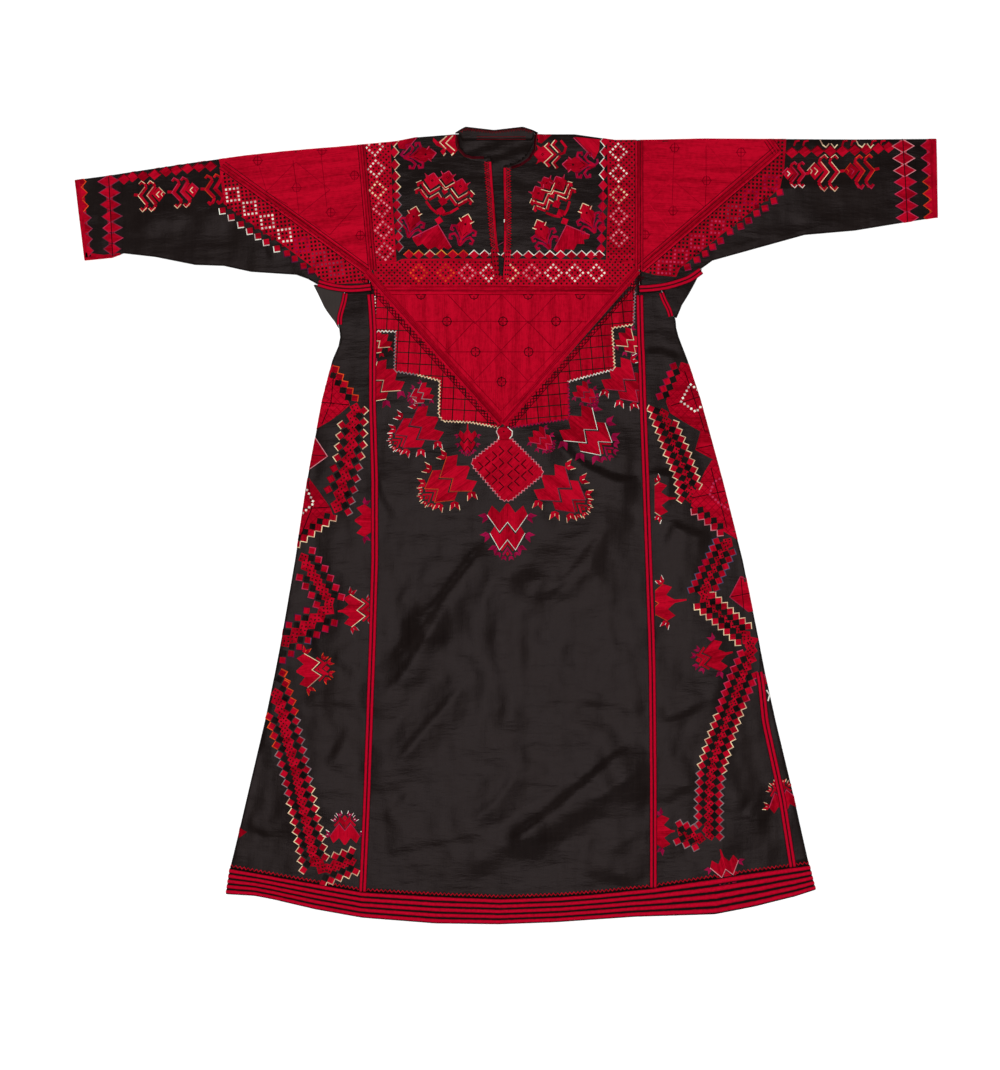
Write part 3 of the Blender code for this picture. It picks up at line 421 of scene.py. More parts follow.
class DressForm:
    """The form that every shell, cord and stitch lies on."""

    def __init__(self) -> None:
        """Draw the slow ripples of the cloth."""
        draw = np.random.default_rng(RIPPLE_SEED)
        self.waves = []
        for wavelength, height in RIPPLES:
            for _ in range(5):
                turn, phase = draw.uniform(0, pi), draw.uniform(0, 2 * pi)
                self.waves.append((cos(turn) * 2 * pi / wavelength, sin(turn) * 2 * pi / wavelength,
                                   phase, height * draw.uniform(0.5, 1.0) / 2))

    def edge_distance(self, x: Array, y: Array) -> Array:
        """How far points of the front lie from the outline.

        Args:
            x: metres across the dress.
            y: metres up the dress.

        Returns:
            The distances, less than 0 outside it.
        """
        side = np.minimum(x - column_of(ROWS, "y", y, "right_edge"), column_of(ROWS, "y", y, "left_edge") - x)
        under = np.where(y < ARM_BEND, np.inf, y - column_of(UNDERARM, "x", x, "y"))
        return np.minimum(side, np.minimum(column_of(SHOULDER, "x", x, "y") - y, under))

    def height(self, x: Array, y: Array) -> Array:
        """Height of the middle of the front layer, with its folds.

        Args:
            x: metres across the dress.
            y: metres up the dress.

        Returns:
            Height above the ground.
        """
        lift = SWELL + SWELL_WAVE * np.sin(x / WAVE_X) * np.cos(y / WAVE_Y)
        for crease in CREASES:
            far = distance_to((crease.x0, crease.y0), (crease.x1, crease.y1), x, y)
            lift = lift + crease.height * smooth(1 - far / crease.reach)
        edge = self.edge_distance(x, y)
        lift = lift * smooth((edge - EDGE_FLAT) / EDGE_FADE)
        for press in PRESSED:
            far = distance_to((press.x0, press.y0), (press.x1, press.y1), x, y)
            calm = smooth((far - press.flat) / press.fade)
            lift = lift * calm
        return FRONT_LEVEL + lift + self.fine(x, y) * calm * smooth(edge / FOLD_EDGE)

    def fine(self, x: Array, y: Array) -> Array:
        """Height of the finer folds and ripples.

        Args:
            x: metres across the dress.
            y: metres up the dress.

        Returns:
            What the folds and ripples add to the height.
        """
        lift = np.zeros_like(x)
        for fold in FOLDS:
            reach = fold.reach * Chart.SQUARE
            far, share = beside([(Chart.x(column), Chart.y(row)) for column, row in fold.path], x, y)
            ends = smooth(np.minimum(share, 1 - share) * FOLD_END)
            fall = np.exp(-np.maximum(far, 0) / (FOLD_TAIL * reach))
            lift = lift + fold.height / 1000 * ends * smooth((far / reach + 1) / 2) * fall
        for along_x, along_y, phase, tall in self.waves:
            lift = lift + tall * np.sin(x * along_x + y * along_y + phase)
        return lift

    def seam(self, side: str, v: Array) -> Array:
        """Where the front panel ends at a side, on row v."""
        return column_of(ROWS, "y", v, side + "_seam")

    def body_y(self, v: Array, x: Array) -> Array:
        """Height up the dress of row v: rows bend to meet the hem, armholes and shoulders.

        Args:
            v: the rows.
            x: metres across the dress.

        Returns:
            Metres up the dress.
        """
        hem = (HEM_BEND - v) / (HEM_BEND - HEM_V) * (column_of(HEM_TOP, "x", x, "y") - HEM_V)
        arm = (v - ARM_BEND) / (ARM_V - ARM_BEND) * (column_of(ARMHOLE, "x", x, "y") - ARMHOLE_GAP - ARM_V)
        top = (v - YOKE_BEND) / (TOP_V - YOKE_BEND) * (column_of(SHOULDER, "x", x, "y") - FOLD_OUT - TOP_V)
        inside = (self.seam("right", v) < x) & (x < self.seam("left", v))
        at_arm = (v > ARM_BEND) & (v <= ARM_V) & ~inside
        return v + np.where(v < HEM_BEND, hem, 0) + np.where(at_arm, arm, 0) + np.where(v > YOKE_BEND, top, 0)

    def row_at(self, x: Array, y: Array) -> Array:
        """The row that passes a point below the armholes.

        Args:
            x: metres across the dress.
            y: metres up the dress.

        Returns:
            The rows.
        """
        reach = HEM_BEND - HEM_V
        bend = column_of(HEM_TOP, "x", x, "y") - HEM_V
        bent = (y - HEM_BEND * bend / reach) / (1 - bend / reach)
        return np.where(y < HEM_BEND, bent, y)

    def fold_start(self, side: str, v: Array) -> Array:
        """x where the front starts to turn round the outline."""
        return column_of(ROWS, "y", v, side + "_edge") - outward(side) * FOLD_OUT

    def side_point(self, side: str, v: Array, p: Array) -> Array:
        """Points of the ring of row v, at cloth length p from the start of a side's fold.

        Args:
            side: "right" or "left".
            v: the rows.
            p: cloth lengths, less than 0 on the front.

        Returns:
            The points, one to a line.
        """
        start, way = self.fold_start(side, v), outward(side)
        angle = np.clip(p, 0, HALF_TURN) / FOLD_R
        x = start + way * np.where(p <= 0, p, np.where(p < HALF_TURN, FOLD_R * np.sin(angle), HALF_TURN - p))
        y = self.body_y(v, x)
        z = np.where(p <= 0, self.height(x, y), BACK_LEVEL + FOLD_R * (1 + np.cos(angle)))
        return np.stack([x, y, z], axis=1)

    def seam_place(self, side: str, v: Array) -> Array:
        """Cloth length at which the front gore ends.

        Args:
            side: "right" or "left".
            v: the rows.

        Returns:
            Cloth lengths from the start of the side's fold.
        """
        column = "right_gusset" if side == "right" else "left_seam_in"
        rows = sorted(ROWS, key=lambda row: row.y)
        insets = [getattr(row, column) for row in rows]
        return np.interp(v, [row.y for row in rows],
                         [QUARTER if inset == 0 else FOLD_OUT - inset for inset in insets])

    def back_place(self, side: str, v: Array) -> Array:
        """Cloth length at which the back gore starts."""
        front = self.seam_place(side, v)
        return np.where(v > ARM_BEND - 0.001, HALF_TURN - front, front)

    def panel_x(self, share: Array, v: Array) -> Array:
        """x at a share of the way across a panel.

        Args:
            share: 0 at the right seam, 1 at the left one.
            v: the rows.

        Returns:
            Metres across the dress.
        """
        low = self.seam("right", v) + SEAM_GAP / 2
        high = self.seam("left", v) - SEAM_GAP / 2
        return low + (high - low) * share


class BodyGround:
    """The front of the body as a ground for trims and stitches, round its folds."""

    def __init__(self, form: DressForm) -> None:
        """Keep the form."""
        self.form = form

    def lay(self, x: Array, y: Array, lift: Array) -> Array:
        """Lay flat points on the cloth: past the outline they go round the fold to the back.

        Args:
            x: metres across, measured along the cloth.
            y: metres up, measured along the cloth.
            lift: how far each point is off the cloth.

        Returns:
            The points, one to a line.
        """
        form = self.form
        out = SHELL / 2 + lift
        under = SHELL / 2 + lift * BACK_THREAD_SHARE
        row = form.row_at(x, y)
        sides = np.where(x < 0, -1.0, 1.0)
        start = np.where(x < 0, form.fold_start("right", row), form.fold_start("left", row))
        past = (x - start) * sides
        angle = np.clip(past, 0, HALF_TURN) / FOLD_R
        round_x = start + sides * (FOLD_R + out) * np.sin(angle)
        round_z = BACK_LEVEL + FOLD_R + (FOLD_R + np.where(angle > pi / 2, under, out)) * np.cos(angle)
        behind = past >= HALF_TURN
        new_x = np.where(past > 0, np.where(behind, start - sides * (past - HALF_TURN), round_x), x)
        top_start = column_of(SHOULDER, "x", x, "y") - FOLD_OUT
        over = y - top_start
        turn = np.clip(over, 0, HALF_TURN) / FOLD_R
        new_y = np.where(over > 0, top_start + (FOLD_R + out) * np.sin(turn), y)
        z = form.height(x, y) + out
        z = np.where(past > 0, np.where(behind, BACK_LEVEL - under, round_z), z)
        z = np.where(over > 0, BACK_LEVEL + FOLD_R + (FOLD_R + out) * np.cos(turn), z)
        return np.stack([new_x, new_y, z], axis=1)


class CollarGround:
    """The rolled back neck edge as a ground for stitches."""

    def lay(self, x: Array, y: Array, lift: Array) -> Array:
        """Lay flat points on the roll.

        Args:
            x: metres across the dress.
            y: metres up the dress.
            lift: how far each point is off the roll.

        Returns:
            The points, one to a line.
        """
        foot, top = (column_of(COLLAR, "x", x, column) for column in ("foot", "top"))
        across = (y - foot) / (top - foot) * 2 - 1
        return np.stack([x, y, COLLAR_LEVEL + np.interp(across, *zip(*COLLAR_PROFILE)) + lift], axis=1)


class SleeveGround:
    """A sleeve's tube, as cloth and as a ground for stitches."""

    def __init__(self, form: DressForm, sections: list[Across]) -> None:
        """Keep the form and the sleeve's sections."""
        self.form = form
        self.sections = sections

    def section(self, place: Array) -> Across:
        """The section at whole or part places along the sleeve."""
        steps = range(len(self.sections))
        return Across(*[np.interp(place, steps, [getattr(row, column) for row in self.sections])
                        for column in Across._fields])

    def ring(self, place: Array) -> tuple[Array, ...]:
        """The measures of the ring at places along the sleeve.

        Args:
            place: places along the sleeve's table.

        Returns:
            Foot x and y, direction x and y, radius of the lower turn, and the flat front's start and end.
        """
        row = self.section(place)
        length = np.hypot(row.top_x - row.foot_x, row.top_y - row.foot_y)
        along_x, along_y = (row.top_x - row.foot_x) / length, (row.top_y - row.foot_y) / length
        radius = FOLD_R / np.maximum(row.turn, 0.001)
        edge = QUARTER - SEAM_GAP / 2
        foot = radius * np.sin(edge / radius) + WALL / 2 * row.turn
        return row.foot_x, row.foot_y, along_x, along_y, radius, foot, length - FOLD_OUT

    def tube(self, place: Array, u: Array) -> Array:
        """Points round the sleeve: 0 to 1 turns up from its lower seam, 1 to 2 is the front, 2 to 3
        the fold along the top, 3 to 4 the back and 4 to 5 turns up to the seam.

        Args:
            place: places along the sleeve's table.
            u: places round the ring.

        Returns:
            The points, one to a line.
        """
        foot_x, foot_y, along_x, along_y, radius, foot, top = self.ring(place)
        edge = QUARTER - SEAM_GAP / 2
        cloth = edge * np.where(u <= 1, 1 - u, u - 4)
        drop = radius * (1 - np.cos(cloth / radius))
        angle = pi * (u - 2)
        lower = (u <= 1) | (u >= 4)
        run = np.where(u <= 2, foot + (top - foot) * (u - 1), top + (foot - top) * (u - 3))
        run = np.where((u > 2) & (u < 3), top + FOLD_R * np.sin(angle), run)
        run = np.where(lower, foot - radius * np.sin(cloth / radius), run)
        x, y = foot_x + along_x * run, foot_y + along_y * run
        level = np.where((u > 2) & (u < 3), BACK_LEVEL + FOLD_R * (1 + np.cos(angle)), BACK_LEVEL)
        level = np.where(lower, np.where(u <= 1, FRONT_LEVEL - drop, BACK_LEVEL + drop), level)
        z = np.where((u > 1) & (u <= 2), self.form.height(x, y), level)
        return np.stack([x, y, z], axis=1)

    def place_of(self, x: Array, y: Array) -> Array:
        """Places along the sleeve's table whose sections pass through points, found by halving.

        Args:
            x: metres across the dress.
            y: metres up the dress.

        Returns:
            The places, part of the way between sections.
        """
        low, high = np.zeros_like(x), np.full_like(x, len(self.sections) - 1.0)
        way = 1.0 if self.sections[-1].foot_x > self.sections[0].foot_x else -1.0
        for _ in range(HALVINGS):
            middle = (low + high) / 2
            row = self.section(middle)
            side = (x - row.foot_x) * (row.top_y - row.foot_y) - (y - row.foot_y) * (row.top_x - row.foot_x)
            beyond = side * way > 0
            low, high = np.where(beyond, middle, low), np.where(beyond, high, middle)
        return (low + high) / 2

    def lay(self, x: Array, y: Array, lift: Array) -> Array:
        """Lay flat points on the sleeve: past its outline they go round the folds to the back.

        Args:
            x: metres across, measured along the cloth.
            y: metres up, measured along the cloth.
            lift: how far each point is off the cloth.

        Returns:
            The points, one to a line.
        """
        out = SHELL / 2 + lift
        under = SHELL / 2 + lift * BACK_THREAD_SHARE
        foot_x, foot_y, along_x, along_y, radius, foot, top = self.ring(self.place_of(x, y))
        run = (x - foot_x) * along_x + (y - foot_y) * along_y
        over = run - top
        below = np.where(radius < 1, foot - run, -1.0)
        turn = np.clip(np.maximum(over, below), 0, HALF_TURN) / FOLD_R
        behind = np.maximum(over, below) >= HALF_TURN
        bulge = (FOLD_R + out) * np.sin(turn)
        new_run = np.where(over > 0, top + bulge, np.where(below > 0, foot - bulge, run))
        new_run = np.where(behind, np.where(over > 0, 2 * top - run + HALF_TURN, 2 * foot - run - HALF_TURN),
                           new_run)
        z = self.form.height(x, y) + out
        wall = np.where(turn > pi / 2, under, out)
        z = np.where((over > 0) | (below > 0), BACK_LEVEL + FOLD_R + (FOLD_R + wall) * np.cos(turn), z)
        z = np.where(behind, BACK_LEVEL - under, z)
        return np.stack([x + along_x * (new_run - run), y + along_y * (new_run - run), z], axis=1)


Ground = BodyGround | CollarGround | SleeveGround


# --- shaders --------------------------------------------------------------------------------------
class Wire:
    """A shader value. Arithmetic on it adds Math nodes."""

    def __init__(self, bench: "Bench", socket: bpy.types.NodeSocket) -> None:
        """Keep the tree and the socket."""
        self.bench = bench
        self.socket = socket

    def math(self, operation: str, *values: "Wire | float") -> "Wire":
        """Add a Math node."""
        return self.bench.node("ShaderNodeMath", {"operation": operation}, dict(enumerate(values)))

    def alone(self, operation: str) -> "Wire":
        """Add a Math node that takes this value only."""
        return self.math(operation, self)

    def __add__(self, other: "Wire | float") -> "Wire":
        """Sum."""
        return self.math("ADD", self, other)

    __radd__ = __add__

    def __sub__(self, other: "Wire | float") -> "Wire":
        """Difference."""
        return self.math("SUBTRACT", self, other)

    def __rsub__(self, other: float) -> "Wire":
        """Difference from a number."""
        return self.math("SUBTRACT", other, self)

    def __mul__(self, other: "Wire | float") -> "Wire":
        """Product."""
        return self.math("MULTIPLY", self, other)

    __rmul__ = __mul__

    def clamp(self) -> "Wire":
        """Keep within 0 and 1."""
        return self.bench.node("ShaderNodeClamp", {}, {0: self})

    def step(self, low: float, high: float) -> "Wire":
        """A soft step from 0 at low to 1 at high."""
        return self.bench.node("ShaderNodeMapRange", {"interpolation_type": "SMOOTHSTEP"},
                               {0: self, 1: low, 2: high, 3: 0.0, 4: 1.0})


class Bench:
    """The node tree of one material while it is being made."""

    def __init__(self, name: str) -> None:
        """Start a material.

        Args:
            name: the material's name.
        """
        self.material = bpy.data.materials.new(name)
        self.material.use_nodes = True
        self.tree = self.material.node_tree
        self.shader = self.tree.nodes["Principled BSDF"]

    def node(self, kind: str, settings: dict | None = None, values: dict | None = None,
             out: int | str = 0) -> Wire:
        """Add a node.

        Args:
            kind: its type.
            settings: its properties, set first.
            values: numbers, colours or wires for its sockets, by index or name.
            out: the output that is used.

        Returns:
            The output as a wire.
        """
        made = self.tree.nodes.new(kind)
        for name, value in (settings or {}).items():
            setattr(made, name, value)
        for socket, value in (values or {}).items():
            self.plug(made.inputs[socket], value)
        return Wire(self, made.outputs[out])

    def plug(self, socket: bpy.types.NodeSocket, value: object) -> None:
        """Link a wire to a socket, or set the socket to a value.

        Args:
            socket: the socket.
            value: a wire, a number or a colour.
        """
        if isinstance(value, Wire):
            self.tree.links.new(value.socket, socket)
        else:
            socket.default_value = value

    def set(self, **values: object) -> None:
        """Set the shader's own sockets, by their names with spaces as underscores."""
        for name, value in values.items():
            self.plug(self.shader.inputs[name.replace("_", " ")], value)

    def place(self) -> Wire:
        """Object coordinates."""
        return self.node("ShaderNodeTexCoord", {}, {}, "Object")

    def stitch(self) -> Wire:
        """The UV map that follows the thread: u along it and v across, in metres."""
        return self.node("ShaderNodeUVMap", {"uv_map": "stitch"}, {})

    def stretched(self, vector: Wire, scale: tuple[float, float, float], turn: float = 0.0) -> Wire:
        """Turn a vector about Z, then scale it."""
        return self.node("ShaderNodeMapping", {"vector_type": "POINT"},
                         {"Vector": vector, "Rotation": (0.0, 0.0, turn), "Scale": scale})

    def noise(self, vector: Wire, scale: float, detail: float = 2.0, rough: float = 0.5) -> Wire:
        """Noise from 0 to 1, around 0.5."""
        return self.node("ShaderNodeTexNoise", {}, {"Vector": vector, "Scale": scale, "Detail": detail,
                                                    "Roughness": rough})

    def mix(self, share: "Wire | float", low: object, high: object, blend: str = "MIX") -> Wire:
        """Mix two colours."""
        return self.node("ShaderNodeMix", {"data_type": "RGBA", "blend_type": blend},
                         {0: share, 6: low, 7: high}, 2)

    def bump(self, height: Wire, depth: float, strength: float = 1.0) -> Wire:
        """A normal from a height."""
        return self.node("ShaderNodeBump", {}, {"Strength": strength, "Distance": depth, "Height": height})


def linear(colour: Iterable[float]) -> tuple[float, float, float, float]:
    """A screen colour of 0 to 255 as a linear one.

    Args:
        colour: red, green and blue.

    Returns:
        The linear colour, with an alpha of 1.
    """
    parts = [value / 255 for value in colour]
    parts = [part / 12.92 if part <= 0.04045 else ((part + 0.055) / 1.055) ** 2.4 for part in parts]
    return (*parts, 1.0)


@dataclass(frozen=True)
class Satin:
    """Cotton satin: fine floats along the warp, a soft sheen and faint wear."""

    name: str = "black_satin"
    colour: tuple[int, int, int] = (17, 11, 10)
    worn: tuple[int, int, int] = (34, 26, 24)
    roughness: float = 0.30

    def make(self) -> bpy.types.Material:
        """Make the material.

        Returns:
            The material.
        """
        bench = Bench(self.name)
        place = bench.place()
        floats = bench.noise(bench.stretched(place, (900, 70, 70)), 1.0, 2.0)
        crumple = bench.noise(bench.stretched(place, (22, 10, 10), 38.0), 1.0, 1.5, 0.45)
        crossed = bench.noise(bench.stretched(place, (11, 28, 11), -24.0), 1.0, 1.5, 0.45)
        slubs = bench.noise(bench.stretched(place, (40, 170, 40), -7.0), 1.0, 3.0, 0.55)
        cloudy = bench.noise(place, 9.0, 4.0, 0.6)
        streaks = bench.noise(bench.stretched(place, (260, 14, 14)), 1.0, 2.0)
        share = (cloudy * 0.9 + streaks * 0.5 - 0.35).clamp()
        colour = bench.mix(share, linear(self.colour), linear(self.worn))
        height = floats * 0.018 + streaks * 0.012 + slubs * 0.10 + crumple * 0.6 + crossed * 0.5
        bench.set(Base_Color=colour,
                  Roughness=self.roughness + (streaks - 0.5) * 0.10 + (cloudy - 0.5) * 0.10,
                  Normal=bench.bump(height, 0.0060, 0.90))
        bench.set(Sheen_Weight=0.0, Specular_IOR_Level=0.072, Specular_Tint=(1.0, 0.82, 0.83, 1.0))
        return bench.material


@dataclass(frozen=True)
class Silk:
    """Embroidery silk. Its colour is the piece's own "thread" attribute, with painted highlight and shade
    along the stitch rows.
    """

    name: str = "embroidery_silk"
    roughness: float = 0.50

    def make(self) -> bpy.types.Material:
        """Make the material.

        Returns:
            The material.
        """
        bench = Bench(self.name)
        colour = bench.node("ShaderNodeAttribute", {"attribute_name": "thread"}, {}, "Color")
        shade = bench.node("ShaderNodeAttribute", {"attribute_name": "shade"}, {}, "Fac")
        stitch = bench.stitch()
        strands = bench.noise(bench.stretched(stitch, (120, 1400, 1)), 1.0, 2.0)
        rows = bench.noise(bench.stretched(stitch, (34, 560, 1)), 1.0, 3.0, 0.65)
        strips = bench.noise(bench.stretched(stitch, (5, 75, 1)), 1.0, 1.0)
        patches = bench.noise(bench.place(), 160.0, 2.0)
        # Painted highlight and shade: the silk is lighter on the raised stitch rows and strips and darker
        # between them; the patch noise and the shade attribute add random tone.
        light = 0.50 + (rows - 0.5) * 1.9 + (strips - 0.5) * 1.5
        light = (light + (patches - 0.5) * 0.9 + (shade - 0.5) * 0.7).clamp()
        # Shaded and lit copies of the thread colour, which the painted highlight and shade mix between.
        dark = bench.mix(1.0, colour, (0.52, 0.40, 0.44, 1.0), "MULTIPLY")
        bright = bench.mix(1.0, colour, (1.18, 1.30, 1.24, 1.0), "MULTIPLY")
        bench.set(Base_Color=bench.mix(light, dark, bright), Roughness=self.roughness + (rows - 0.5) * 0.25,
                  Normal=bench.bump(rows * 0.7 + strands * 0.3, 0.0006, 0.8))
        bench.set(Sheen_Weight=0.0, Specular_IOR_Level=0.0)
        return bench.material


@dataclass(frozen=True)
class CordSilk:
    """Cords couched side by side, with a painted highlight along each cord: u runs along them and v across
    the whole trim, from 0 to 1.
    """

    name: str
    cords: int
    groove: float = 0.20
    colour: tuple[int, int, int] = (200, 4, 42)
    dark: tuple[int, int, int] = (26, 15, 16)
    twist: float = 2600.0
    lean: float = 3.2

    def make(self) -> bpy.types.Material:
        """Make the material.

        Returns:
            The material.
        """
        bench = Bench(self.name)
        stitch = bench.stitch()
        parts = bench.tree.nodes.new("ShaderNodeSeparateXYZ")
        bench.plug(parts.inputs[0], stitch)
        along, across = Wire(bench, parts.outputs[0]), Wire(bench, parts.outputs[1])
        middle = ((across * self.cords).alone("FRACT") - 0.5).alone("ABSOLUTE")
        wobble = bench.noise(bench.stretched(stitch, (90, 8, 1)), 1.0, 2.0)
        gap = (middle + (wobble - 0.5) * 0.16).step(0.5 - self.groove, 0.5 - self.groove * 0.5)
        turns = (along * self.twist + across * self.cords * self.lean).alone("SINE")
        uneven = bench.noise(bench.stretched(stitch, (160, 14, 1)), 1.0, 3.0, 0.6)
        # Painted highlight and shade: each cord is lighter along its crown and on its twists and darker
        # toward its sides; the uneven noise adds random tone. The grooves between the cords take the dark
        # colour.
        light = (0.72 + turns * 0.08 + (uneven - 0.5) * 1.3 - middle * 1.3).clamp()
        # Shaded and lit copies of the cord colour, which the painted highlight and shade mix between.
        shaded = linear([part * 0.72 for part in self.colour])
        lit = linear([min(255, part * 1.12) for part in self.colour])
        red = bench.mix(light, shaded, lit)
        bench.set(Base_Color=bench.mix(gap, red, linear(self.dark)), Roughness=0.50 + (uneven - 0.5) * 0.2,
                  Normal=bench.bump(turns * 0.12 + uneven, 0.0004, 0.7))
        bench.set(Sheen_Weight=0.0, Specular_IOR_Level=0.012)
        return bench.material


@dataclass(frozen=True)
class Paper:
    """The pale surface that the dress lies on."""

    name: str = "pale_floor"

    def make(self) -> bpy.types.Material:
        """Make the material.

        Returns:
            The material.
        """
        bench = Bench(self.name)
        cloudy = bench.noise(bench.place(), 2.0, 2.0)
        bench.set(Base_Color=bench.mix(cloudy, (0.94, 0.94, 0.94, 1.0), (0.96, 0.96, 0.96, 1.0)),
                  Roughness=0.9)
        bench.set(Specular_IOR_Level=0.1, Emission_Color=(1.0, 1.0, 1.0, 1.0), Emission_Strength=0.50)
        return bench.material


# --- making meshes --------------------------------------------------------------------------------
def spread(start: float, end: float, pitch: float) -> Array:
    """Even steps from start to end, none longer than the pitch."""
    return np.linspace(start, end, max(1, ceil(abs(end - start) / pitch - 1e-6)) + 1)


def join(*parts: Sequence[float]) -> Array:
    """One list of places from several that meet end to end.

    Args:
        parts: lists, each of which starts where the last one ends.

    Returns:
        The joined list.
    """
    out = list(parts[0])
    for part in parts[1:]:
        out += list(part)[1:]
    return np.array(out)


def hold(name: str, bm: Mesh, material: bpy.types.Material) -> Piece:
    """Make a finished object of a mesh in the making.

    Args:
        name: the object's name.
        bm: the mesh, which is freed.
        material: its finish.

    Returns:
        The object, which rides on the root body.
    """
    mesh = bpy.data.meshes.new(name)
    bm.to_mesh(mesh)
    bm.free()
    mesh.materials.append(material)
    mesh.shade_smooth()
    piece = bpy.data.objects.new(name, mesh)
    bpy.context.scene.collection.objects.link(piece)
    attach(piece, "root")
    return piece


def grid(us: Array, vs: Array) -> tuple[Mesh, Array, Array]:
    """A grid of the given places.

    Args:
        us: places along its columns.
        vs: places along its rows.

    Returns:
        The mesh, and u and v of each of its vertices.
    """
    bm = bmesh.new()
    bmesh.ops.create_grid(bm, x_segments=len(us) - 1, y_segments=len(vs) - 1, size=0.5)
    flat = np.array([vert.co[:2] for vert in bm.verts]) + 0.5
    columns = np.rint(flat[:, 0] * (len(us) - 1)).astype(int)
    rows = np.rint(flat[:, 1] * (len(vs) - 1)).astype(int)
    return bm, us[columns], vs[rows]


def settle(bm: Mesh, points: Array) -> None:
    """Move a mesh's vertices to points."""
    for vert, point in zip(bm.verts, points):
        vert.co = point
    bm.normal_update()


def shell(name: str, us: Array, vs: Array, place: Callable[[Array, Array], Array],
          material: bpy.types.Material, trim: Callable[[Mesh], None] | None = None) -> Piece:
    """A piece of cloth: an open surface given its wall by Solidify.

    Args:
        name: the piece's name.
        us: places across it.
        vs: places along it.
        place: gives the points of places.
        material: its finish.
        trim: cuts the open surface, if given.

    Returns:
        The piece.
    """
    bm, u, v = grid(us, vs)
    settle(bm, place(u, v))
    if trim:
        trim(bm)
    bmesh.ops.recalc_face_normals(bm, faces=bm.faces[:])
    piece = hold(name, bm, material)
    wall = piece.modifiers.new("wall", "SOLIDIFY")
    wall.thickness = SHELL
    wall.offset = 0.0
    wall.use_even_offset = True
    return piece


def ridged(name: str, profile: Sequence[Point], stops: Array, place: Callable[[Array, Array, Array], Array],
           material: bpy.types.Material) -> Piece:
    """A strip of cords: a closed body whose top has a ridged profile.

    Args:
        name: the piece's name.
        profile: how far across, from -1 to 1, and how thick it is there.
        stops: places along it.
        place: gives points from places along, shares across and lifts.
        material: its finish.

    Returns:
        The piece.
    """
    across = np.array([ridge[0] for ridge in profile])
    thick = np.array([ridge[1] for ridge in profile])
    bm, u, v = grid(across, stops)
    made = bmesh.ops.extrude_face_region(bm, geom=bm.faces[:], use_keep_orig=True)["geom"]
    tops = [item for item in made if isinstance(item, bmesh.types.BMVert)]
    flat = np.array([vert.co[:2] for vert in bm.verts]) + 0.5
    u = across[np.rint(flat[:, 0] * (len(across) - 1)).astype(int)]
    v = stops[np.rint(flat[:, 1] * (len(stops) - 1)).astype(int)]
    raised = {vert: True for vert in tops}
    above = np.array([vert in raised for vert in bm.verts])
    lift = np.where(above, np.interp(u, across, thick), 0.0)
    points = place(v, u, lift)
    middle = place(stops, np.zeros_like(stops), np.zeros_like(stops))
    length = np.concatenate([[0], np.cumsum(np.linalg.norm(np.diff(middle, axis=0), axis=1))])
    run = np.interp(v, stops, length) if stops[-1] > stops[0] else np.interp(-v, -stops, length)
    layer = bm.loops.layers.uv.new("stitch")
    where = {vert: (run[index], (u[index] + 1) / 2) for index, vert in enumerate(bm.verts)}
    for face in bm.faces:
        for loop in face.loops:
            loop[layer].uv = where[loop.vert]
    settle(bm, points)
    bmesh.ops.recalc_face_normals(bm, faces=bm.faces[:])
    return hold(name, bm, material)


@dataclass
class Wardrobe:
    """The finishes, made once and shared."""

    satin: bpy.types.Material = field(default_factory=lambda: Satin().make())
    # Satin in much paler colours for the right gusset: painted sheen.
    gusset: bpy.types.Material = field(
        default_factory=lambda: Satin("gusset_cloth", (52, 46, 44), (70, 63, 60), 0.55).make())
    silk: bpy.types.Material = field(default_factory=lambda: Silk().make())
    braid: bpy.types.Material = field(default_factory=lambda: CordSilk("braid_silk", 2).make())
    hem: bpy.types.Material = field(default_factory=lambda: CordSilk("hem_silk", 5, 0.27).make())
    floor: bpy.types.Material = field(default_factory=lambda: Paper().make())


